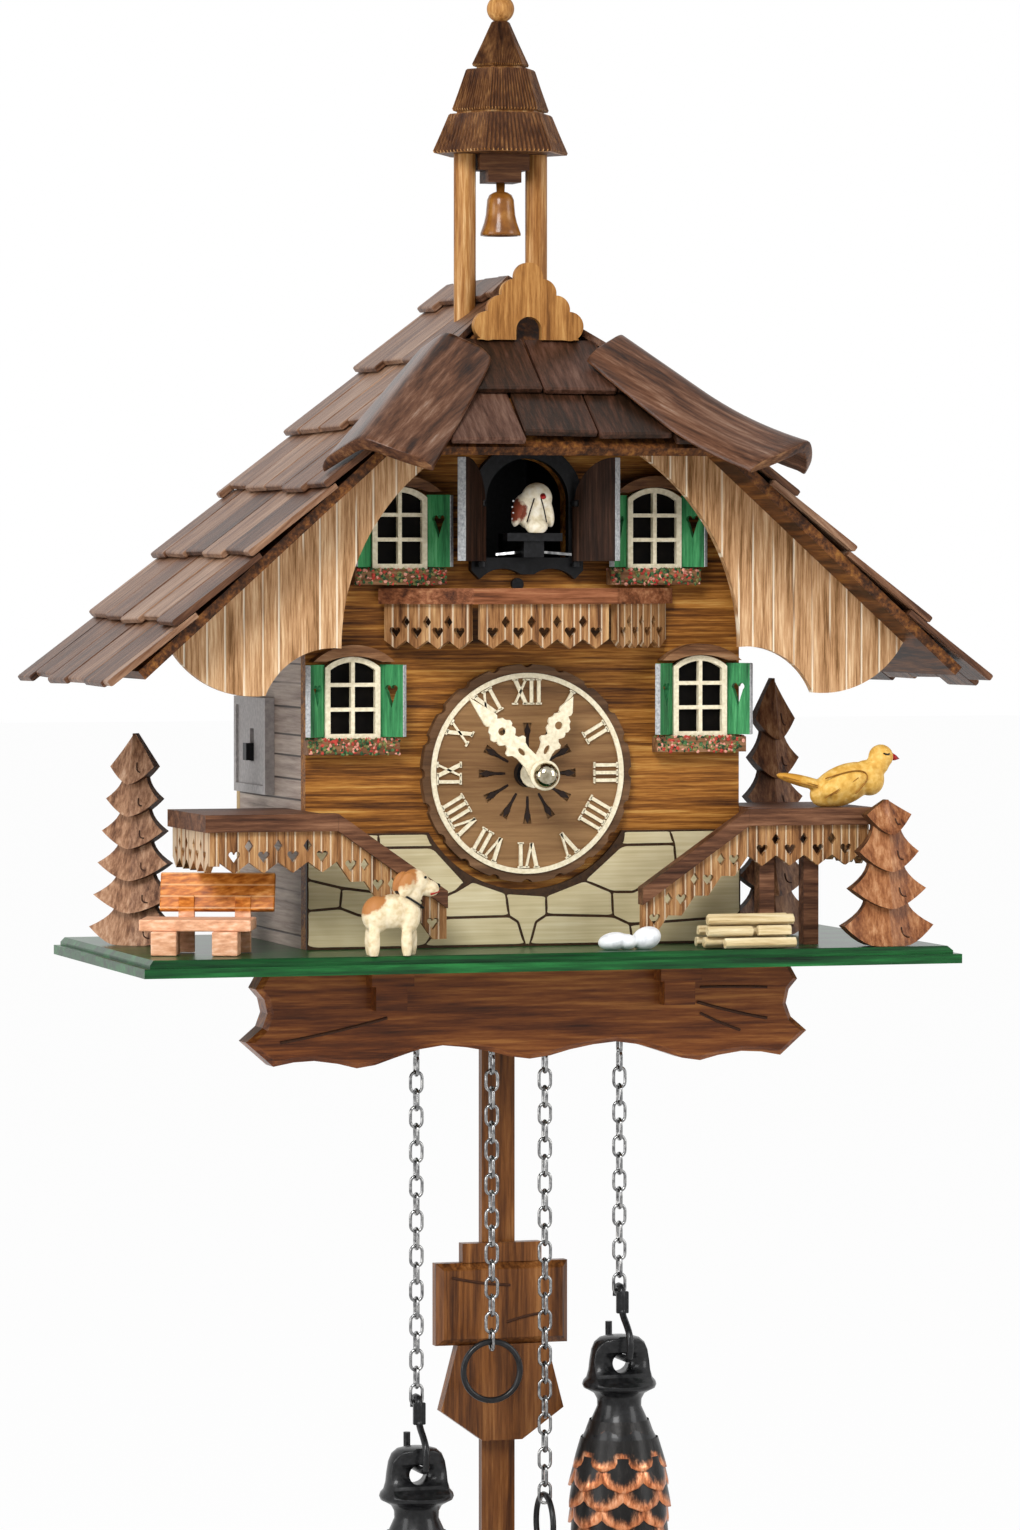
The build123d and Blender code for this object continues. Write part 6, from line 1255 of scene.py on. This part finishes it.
# %% Field stones
SCOOP, JOINT_HALF, STONE_AHEAD = 33.6, 0.4, (1.5, 1.68)
STONES = [
    [(-64.9, 32.9), (-44, 32.9), (-43.7, 28.9), (-64.9, 28)],
    [(-44, 32.9), (-29.6, 32.9), (-27.8, 28.9), (-43.7, 28.9)],
    [(-43.7, 28.9), (-27.8, 28.9), (-18.3, 18.8), (-20.9, 16.2), (-26.8, 13.8), (-54.7, 17.6), (-64.9, 20.1),
     (-64.9, 28)],
    [(-20.9, 16.2), (-15.9, 19), (-6, 15.5), (-5.1, 8.8), (-24.5, 8.6), (-26.8, 13.8)],
    [(-6, 15.5), (6, 14.6), (6.2, 9), (3, 7), (1.2, 0.4), (-0.3, 0.4), (-2.4, 7.1), (-5.1, 8.8)],
    [(6, 14.6), (17.5, 18.8), (25.9, 15.3), (26.2, 8.3), (6.2, 9)],
    [(17.5, 18.8), (28.9, 28.8), (44.7, 28.9), (45.3, 23.1), (32.6, 15.2), (25.9, 15.3)],
    [(28.9, 28.8), (29.6, 32.9), (43.4, 32.9), (44.7, 28.9)],
    [(43.4, 32.9), (64.9, 32.9), (64.9, 22.8), (45.3, 23.1), (44.7, 28.9)],
    [(6.2, 9), (26.2, 8.3), (31.4, 5.9), (32, 0.4), (1.2, 0.4), (3, 7)],
    [(-24.5, 8.6), (-5.1, 8.8), (-2.4, 7.1), (-0.3, 0.4), (-30.4, 0.4)],
    [(26.2, 8.3), (25.9, 15.3), (32.6, 15.2), (45.3, 23.1), (64.9, 22.8), (64.9, 7.7), (31.4, 5.9)],
    [(31.4, 5.9), (64.9, 7.7), (64.9, 0.4), (32, 0.4)],
    [(-64.9, 20.1), (-54.7, 17.6), (-55.3, 11.9), (-64.9, 11.2)],
    [(-55.3, 11.9), (-54.7, 17.6), (-26.8, 13.8), (-24.5, 8.6), (-49.4, 9.6)],
    [(-64.9, 11.2), (-55.3, 11.9), (-49.4, 9.6), (-24.5, 8.6), (-30.4, 0.4), (-64.9, 0.4)],
]


def stone_pad(corners):
    centre = Vector((0.0, DIAL_UP))
    ring = []
    for a, b in zip(corners, corners[1:] + corners[:1]):
        for k in range(4):
            spot = Vector(a).lerp(Vector(b), k / 4)
            if (spot - centre).length < SCOOP:
                spot = centre + (spot - centre).normalized() * SCOOP
            ring.append(spot)
    area = sum(a.x * b.y - b.x * a.y for a, b in zip(ring, ring[1:] + ring[:1]))
    inwards = JOINT_HALF if area > 0 else -JOINT_HALF
    inner = []
    for before, spot, after in zip(ring[-1:] + ring[:-1], ring, ring[1:] + ring[:1]):
        run = (after - before).normalized()
        inner.append(spot + Vector((-run.y, run.x)) * inwards)
    for turn in range(2):
        inner = [a.lerp(b, share) for a, b in zip(inner, inner[1:] + inner[:1]) for share in (0.25, 0.75)]
    points = [at(spot.x, -ahead, spot.y) for ahead in STONE_AHEAD for spot in inner]
    return piece("stone", points, ring_faces(2, len(inner)), plinth_print, False)


rides(joined("field_stones", [stone_pad(corners) for corners in STONES]), "case", "stone_print")

# %% [markdown]
# ## Flowers in the boxes
# The window boxes are covered with coloured scatter, glued on. A node tree drops small grains on the front and
# top of every box, once for each colour, and the seed keeps them where they fell.


# %% Scatter
def scatter_tree():
    tree, size = node_tree("flower_scatter", {"Beds": "Object", "Density": "Float", "Grain": "Float",
                                              "Seed": "Int", "Paint": "Material"})
    beds = put(tree, "GeometryNodeObjectInfo", {"Object": size["Beds"]}, take="Geometry")
    spots = put(tree, "GeometryNodeDistributePointsOnFaces",
                {"Mesh": beds, "Density": size["Density"], "Seed": size["Seed"]}, take=None)
    grain = put(tree, "GeometryNodeMeshIcoSphere", {"Radius": size["Grain"], "Subdivisions": 1})
    scale = put(tree, "FunctionNodeRandomValue", {0: (0.5, 0.5, 0.4), 1: (1.3, 1.3, 1.1), "Seed": size["Seed"]},
                data_type="FLOAT_VECTOR")
    laid = put(tree, "GeometryNodeInstanceOnPoints", {"Points": spots["Points"], "Instance": grain,
                                                      "Rotation": spots["Rotation"], "Scale": scale})
    return closed_tree(tree, laid, size["Paint"])


WINDOWS = [(-52, 60), (52, 60), (-38.1, 108.3), (38.1, 108.3)]  # middle and sill
BED_HALF, BED_DROP, GRAIN, GRAINS_PER_M2, FIRST_SEED = 13.4, 4.45, 0.56, 300000.0, 11
points, faces = [], []
for across, sill in WINDOWS:
    n = len(points)
    points += [at(across + side * BED_HALF, -ahead, sill - BED_DROP + rise)
               for ahead, rise in ((5.05, 0.1), (5.05, 4.4), (0.6, 4.4)) for side in (-1, 1)]
    faces += [(n, n + 1, n + 3, n + 2), (n + 2, n + 3, n + 5, n + 4)]
beds = piece("flower_beds", points, faces, lintel_oak, False)
grains_tree = scatter_tree()
# Dyed scatter: matt grains in two reds and three greens.
BLOOMS = [("red", "8c2a24", "c04a3c"), ("salmon", "b5705f", "d99a86"), ("green", "2b4a2c", "4f7145"),
          ("bottle", "1c3320", "2f4d30"), ("olive", "55562c", "85824e")]
blooms = [cast_surface("scatter_" + name, [(0.3, dark), (0.6, plain)], 0.8, 0.7) for name, dark, plain in BLOOMS]
grains = [grown("grains", grains_tree, {"Beds": beds, "Density": GRAINS_PER_M2, "Grain": GRAIN * MM,
                                        "Seed": FIRST_SEED + k, "Paint": bloom}) for k, bloom in enumerate(blooms)]
bpy.data.objects.remove(beds)
rides(joined("box_flowers", grains), "case", "flower_mix")

# %% [markdown]
# ## Door edges and cuts
# The cuckoo's doors were stained on their faces only, so their sawn edges show pale and grey. The apron and the
# pendulum's leaf are finished with a few strokes of a gouge, drawn as dark lines: painted shade of the cuts, with the
# stain in them.

# %% Door edges
DOOR_LEAN = Vector((0.643, -0.766, 0))  # outwards along an open leaf
for name, sign in (("left", -1), ("right", 1)):
    leaf, face = Vector((sign * DOOR_LEAN.x, DOOR_LEAN.y, 0)), Vector((-DOOR_LEAN.y, sign * DOOR_LEAN.x, 0))
    edge = slab(name + "_door_edge", at(sign * 23.15, -15.4, 125.4) - leaf * 0.02 * MM, (leaf, face, (0, 0, 1)),
                (0.2, 2.5, 29.4), pale_edge, 0.05)
    rides(edge, name + "_leaf", "grey_plastic")


# %% Cuts of the gouge
# A dark line for a gouge cut: painted shade of the cut, with the stain in it.
def stroke(name, ahead, first, last, bend, deep):
    (x0, z0), (x1, z1) = first, last
    middle = ((x0 + x1) / 2, (z0 + z1) / 2 + bend)
    return wire(name, [at(x, -ahead, z) for x, z in (first, middle, last)], deep, cut_shade_and_stain)


APRON_CUTS = [((-74.3, -25.7), (-42.9, -19.3), -0.8, 0.45), ((50.9, -12.3), (71.3, -12.7), 0.3, 0.4),
              ((50, -16.6), (71.3, -21.7), -0.6, 0.45), ((50.9, -19.8), (63.1, -25), -0.5, 0.4)]
BOB_CUTS = [((-15.6, -97.5), (2, -100.1), -0.8, 0.4), ((1, -110.9), (11.7, -108.6), 0.6, 0.4)]
for name, body, ahead, cuts in (("apron", "case", 7.0, APRON_CUTS), ("bob", "pendulum", -20.9, BOB_CUTS)):
    rides(joined(name + "_cuts", [stroke(name + "_cut", ahead, *cut) for cut in cuts]), body, "dark_wood")

# %% [markdown]
# ## Hands, darts and nut
# The hands are pressed in cream plastic with a rosette half way and a spear at the end. Half an outline, mirrored and
# filled round its openings, gives each. Twelve darts are stamped in the dial, drawn as thin dark pieces on its face:
# the shade in the stamped recesses, painted. A polished dome holds the hands.

# %% Hands
HUB = [(3.9 * cos(radians(angle)), 3.9 * sin(radians(angle))) for angle in (180, 155, 130, 105, 80, 60)]
# Distance along the hand and half its width, from the prong and from the rosette.
PRONG = [(-6, 2.3), (-3, 2.2), (-1.4, 2.6), (-0.4, 3.7), (0.4, 3.5), (0.9, 2.3)]
ROSETTE = [(-3.4, 1.8), (-2.9, 2.6), (-2.2, 3.3), (-1.3, 3.2), (-0.9, 2.9), (-0.4, 3.7), (0.6, 3.9), (1.3, 3.2),
           (1.8, 2.9), (2.6, 2.8), (3.1, 2.0), (3.6, 1.4), (4.3, 2.1), (5.2, 2.1)]


def hand(name, ahead, angle, length, rosette, prong, size):
    side = HUB + [(prong + run, wide * size) for run, wide in PRONG]
    side += [(rosette + run, wide * size) for run, wide in ROSETTE] + [(length, 0.0)]
    rings = [[(wide, run) for run, wide in side] + [(-wide, run) for run, wide in side[-2:0:-1]]]
    for centre, tall, wide in ((0.0, 1.7, 1.7), (prong - 2.6, 1.5, 0.8), (rosette, 1.25, 1.25)):
        rings.append([(wide * c, centre + tall * s) for c, s in circle(20)])
    curve = bpy.data.curves.new(name, "CURVE")
    curve.dimensions = "2D"
    curve.fill_mode = "BOTH"
    curve.extrude = 0.5 * MM
    curve.bevel_depth = 0.1 * MM
    for ring in rings:
        line = curve.splines.new("POLY")
        line.points.add(len(ring) - 1)
        line.use_cyclic_u = True
        for spot, (x, y) in zip(line.points, ring):
            spot.co = (x * MM, y * MM, 0.0, 1.0)
    place = Matrix((*dial_axes(radians(angle)), Vector((0, -1, 0)))).transposed().to_4x4()
    return settle(new_object(name, curve), cream_ps, Matrix.Translation(at(0, -ahead - 0.6, DIAL_UP)) @ place)


def lathed_ahead(name, profile, material):
    """A turned form on the hands' axis: pairs of radius and distance ahead of the wall."""
    points = [at(radius * c, -ahead, DIAL_UP + radius * s) for radius, ahead in profile for c, s in circle(40)]
    return piece(name, points, ring_faces(len(profile), 40), material)


sleeve = lathed_ahead("hour_sleeve", [(2.5, 3.0), (2.5, 9.0), (1.7, 9.05)], black_abs)
rides(joined("hour_pointer", [hand("hour_blade", 9.0, 27.7, 24.7, 15.6, 10.4, 0.88), sleeve]), "hour_hands",
      "cream_plastic", "hour_hand")
rides(hand("minute_pointer", 18.5, -45.0, 31.0, 17.65, 12.0, 1.0), "minute_hands", "cream_plastic", "minute_hand")

# %% Nut and darts
flange = lathed_ahead("nut_flange", [(1.6, 19.7), (4.0, 19.72), (4.35, 20.1), (4.35, 20.6), (4.0, 20.95),
                                     (3.4, 21.0)], cream_ps)
dome = lathed_ahead("nut_dome", [(3.6, 20.8), (3.62, 21.5), (3.4, 22.4), (2.9, 23.2), (2.1, 23.9), (1.1, 24.3),
                                 (0.05, 24.4)], polished_nickel)
rides(joined("hand_nut", [flange, dome]), "minute_hands", "chain_metal")
DART = [(6.6, 0.3), (8.0, 0.45), (11.2, 0.38), (11.7, 0.85), (12.3, 0.95), (14.4, 0.05)]
outline = DART + [(run, -wide) for run, wide in reversed(DART)]
points, faces = [], []
for hour in range(12):
    right, out = dial_axes(pi * hour / 6)
    faces += [tuple(len(points) + k for k in face) for face in ring_faces(2, len(outline))]
    points += [at(0, -ahead, DIAL_UP) + (out * run + right * wide) * MM for ahead in (DIAL_FACE, DIAL_FACE + 0.12)
               for run, wide in outline]
# Painted shade: thin dark darts laid on the dial where its stamped recesses are shaded.
rides(piece("dial_darts", points, faces, carved_shadow, False), "case", "dark_wood")

# %% [markdown]
# ## Spire and bell
# The bell tower's roof is turned and then cut to six sides in three tiers. A V tool grooves every face, which
# leaves pale crumbled edges along the eaves and a pale collar under each tier. The rings below follow a six-sided
# outline, pressed in at every groove.

# %% Spire
TOWER_BACK, SPIRE_LOW, CUTS, CUT_DEEP = 24.0, 228.4, 15, 0.5
PLAIN, WORN, BARE = 0, 1, 2  # a ring's band: stained, crumbled at the grooves, or pale all round
TIERS = [(2.8, 8.6, 25.3, 38.5), (10.5, 14.6, 12.25, 24.6), (15.7, 20.4, 0.0, 11.55)]  # radii, then foot and top
rows = []  # each ring's radius, height, share of the groove's depth, and band
for high, low, foot, top in TIERS:
    rows += [(high - 0.5, top, 0.0, PLAIN), (high, top - 0.4, 0.5, PLAIN),
             ((high + low) / 2, (foot + top) / 2, 1.0, PLAIN), (low, foot + 0.7, 1.0, PLAIN),
             (low - 0.3, foot + 0.1, 0.7, WORN), (low - 1.4, foot, 0.0, BARE), (low - 1.4, foot - 0.7, 0.0, BARE)]
rows[-1] = (rows[-1][0], 0.0, 0.0, BARE)
ring = 6 * CUTS * 4
points, bands = [], []
for row, (radius, up, deep, band) in enumerate(rows):
    for k in range(ring):
        facet, share = divmod(k / (CUTS * 4), 1.0)
        first, last = [Vector((cos(pi * corner / 3), sin(pi * corner / 3))) for corner in (facet, facet + 1)]
        spot = first.lerp(last, share) * radius
        if k % 4 > 1:
            spot -= (first + last).normalized() * CUT_DEEP * deep
        points.append(at(spot.x, TOWER_BACK + spot.y, SPIRE_LOW + up))
        pale = band == BARE or (band == WORN and k % 4 == 0)
        if row:
            # Groove bottoms take the dark cut finish: painted shade in the grooves.
            bands.append(1 if pale else 2 if deep > 0.6 and k % 4 == 2 else 0)
spire = piece("spire", points, ring_faces(len(rows), ring), spire_lime, False)
spire.data.materials.append(post_ramin)
spire.data.materials.append(cut_shade_and_stain)
for face, band in zip(spire.data.polygons, bands + [0, 0]):
    face.material_index = band
print("spire of", len(rows), "rings with", 6 * CUTS, "grooves round it")

# %% Finial and bell
BALL, BALL_UP = 4.0, SPIRE_LOW + 42.1
arc = [(sin(pi * k / 16), cos(pi * k / 16)) for k in range(17)]
ball = turned("finial", [(max(BALL * s, 0.02), BALL_UP + BALL * c) for s, c in arc], (0, TOWER_BACK), crest_oak, 40)
rides(joined("spire_and_finial", [spire, ball]), "case", "brown_wood", "tower_roof")
BELL_TOP = SPIRE_LOW - 0.05 - 4.7 - 3.5 - 0.05  # under the stepped beam
BELL = [(0.05, 0), (1.3, 0), (1.2, -2.4), (2.2, -2.7), (3.3, -3.4), (3.9, -4.8), (4.1, -7), (4.3, -9.2), (4.8, -11.4),
        (5.5, -13.4), (5.9, -14.6), (5.85, -15.2), (5.2, -15.2), (4.2, -12.5), (3.4, -8), (2.4, -4.6), (0.05, -4.2)]
bell = turned("bell_turned", [(radius, BELL_TOP + up) for radius, up in BELL], (0, TOWER_BACK), bell_lacquer)
rides(bell, "case", "brass_bell", "bell")

# %% [markdown]
# ## Edges of the shutters
# The shutters were sawn from painted board, so their outer edges stay bare and grey. Each gets a thin strip on
# the edge, turned as far as the shutter stands open.

# %% Shutter edges
SHUTTER_OPEN, SHUTTER_WIDE, SHUTTER_THICK, SHUTTER_HALF_TALL = radians(44), 7.62, 1.6, 10.3
strips = []
for across, sill in WINDOWS:
    for sign in (-1, 1):
        along = Vector((sign * cos(SHUTTER_OPEN), -sin(SHUTTER_OPEN), 0))
        face = Vector((-sin(SHUTTER_OPEN), -sign * cos(SHUTTER_OPEN), 0)) * sign
        outwards = 8.1 + SHUTTER_THICK * sin(SHUTTER_OPEN) + 0.05
        hinge = at(across + sign * outwards, -1.7, sill + 0.6 + SHUTTER_HALF_TALL)
        middle = hinge + (along * SHUTTER_WIDE + face * SHUTTER_THICK / 2) * MM
        strips.append(slab("strip", middle, (along, face, (0, 0, 1)), (0.3, SHUTTER_THICK, 20.4), pale_edge, 0.08))
rides(joined("shutter_edges", strips), "case", "grey_plastic")

# %% [markdown]
# ## Garden bench and the corners of the rails
# The bench is a plank on two blocks, with a lined backrest pegged on behind it, set over to one side as on the
# real one. Where the porch rails turn, one narrow picket closes the corner under the cap.

# %% Bench and corner pickets
along = Vector((cos(BENCH_TURN), -sin(BENCH_TURN), 0))
behind = Vector((sin(BENCH_TURN), cos(BENCH_TURN), 0))
RAKE = 0.36  # how far the backrest leans
rake = Vector((0, 0, 1)) * cos(RAKE) + behind * sin(RAKE)


def bench_board(name, place, size, edge, sides=(along, behind, (0, 0, 1))):
    run, back, up = place
    centre = at(-100, -13, up + 0.05) + (along * run + behind * back) * MM
    return slab(name, centre, sides, size, bench_wood, edge)


boards = [bench_board("block", (side * 8.6, -2, 3.45), (7.2, 10, 6.8), 0.35) for side in (-1, 1)]
boards.append(bench_board("seat", (0, 3.0, 8.5), (31.5, 16.5, 3.3), 0.4))
boards += [bench_board("peg", (side * 8 + 4, 10.6, 8.1), (4.5, 2.2, 16), 0.25) for side in (-1, 1)]
boards.append(bench_board("backrest", (4.6, 12.6, 17.0), (32.5, 2.2, 11.2), 0.35, (along, rake.cross(along), rake)))
rides(joined("garden_bench", boards), "case", "oak_wood", "bench")
PORCH_OUT, PORCH_AHEAD, PICKET_TIP, PICKET_TOP, PICKET_THICK = 97.0, 20.0, 23.1, 34.6, 2.0
size = (PICKET_THICK + 0.9, PICKET_THICK - 0.1, PICKET_TOP - PICKET_TIP - 2)
corners = [slab("corner", at(side * (PORCH_OUT - 0.5), PICKET_THICK / 2 - PORCH_AHEAD,
                             (PICKET_TIP + PICKET_TOP) / 2 + 1), SQUARE, size, picket_oak) for side in (-1, 1)]
rides(joined("corner_pickets", corners), "case", "oak_wood")

# %% [markdown]
# ## Camera, floor and light
# The photograph was taken from the left and a little above the base, with a long lens. The studio is white
# all round, so the world and the floor show white to the camera, to polished metal and through glass, and light
# the clock more softly. The floor keeps a little of its own shading, so the clock's shadow stays on it.

# %% Camera
lens = bpy.data.cameras.new("camera")
lens.sensor_fit = "VERTICAL"
lens.sensor_height = 36.0
lens.lens = 145.87
eye = new_object("camera", lens)
eye.location = at(-513.48, -1703.65, 109.56)
eye.rotation_euler = (radians(90 - 1.85), 0, radians(-16.64))
scene.camera = eye
print("camera at", tuple(eye.location))


# %% Floor, world and lamps
def sees_studio(tree):
    """One for a ray from the camera, from a mirror or through glass, and zero for a ray that only lights."""
    ray = put(tree, "ShaderNodeLightPath", take=None)
    bent = put(tree, "ShaderNodeMath", {0: ray["Is Glossy Ray"], 1: ray["Is Transmission Ray"]}, operation="MAXIMUM")
    return put(tree, "ShaderNodeMath", {0: ray["Is Camera Ray"], 1: bent}, operation="MAXIMUM")


WHITE, VEIL, WORLD_LIGHT, FLOOR_UP = (1.0, 1.0, 1.0, 1.0), 0.965, 0.34, -0.42
# Matt white paper on the floor, veiled so that only the shadow shows.
floor_paint, tree, where = new_finish("matt_white_floor", {"Roughness": 0.9})
haze = put(tree, "ShaderNodeTexNoise", {"Vector": where, "Scale": 3.0, "Detail": 2.0})
pale = put(tree, "ShaderNodeValToRGB", {0: haze}, [(0.3, "fbfbfb"), (0.7, "fefefe")])
paper = tree.nodes["Principled BSDF"]
tree.links.new(pale, paper.inputs["Base Color"])
veil = put(tree, "ShaderNodeMath", {0: sees_studio(tree), 1: VEIL}, operation="MULTIPLY")
bright = put(tree, "ShaderNodeEmission", {"Color": WHITE, "Strength": 1.0})
mixed = put(tree, "ShaderNodeMixShader", {0: veil, 1: paper.outputs[0], 2: bright})
tree.links.new(mixed, tree.nodes["Material Output"].inputs["Surface"])
sides = [(x, y, FLOOR_UP) for x, y in ((-9, -4), (9, -4), (9, 14), (-9, 14))]
floor = piece("floor", sides, [(0, 1, 2, 3)], floor_paint, False)

scene.world = bpy.data.worlds.new("studio")
scene.world.use_nodes = True
tree = scene.world.node_tree
sky = tree.nodes["Background"]
sky.inputs["Color"].default_value = WHITE
level = put(tree, "ShaderNodeMapRange", {0: sees_studio(tree), 3: WORLD_LIGHT, 4: 1.0})
tree.links.new(level, sky.inputs["Strength"])


def lamp(name, place, target, size, power):
    data = bpy.data.lights.new(name, "AREA")
    data.shape = "RECTANGLE"
    data.size, data.size_y = size
    data.energy = power
    made = new_object(name, data)
    made.location = place
    made.rotation_euler = (Vector(target) - Vector(place)).to_track_quat("-Z", "Y").to_euler()


lamp("key", (-0.7, -1.2, 0.9), (0, -0.1, -0.1), (0.6, 0.6), 22)
lamp("left", (-1.4, -0.5, 0.15), (0, -0.08, -0.08), (0.6, 0.9), 9)
lamp("side", (1.2, -1.0, 0.3), (0, -0.1, -0.1), (0.6, 0.9), 9)
scene.view_settings.view_transform = "Standard"
print("studio lit")
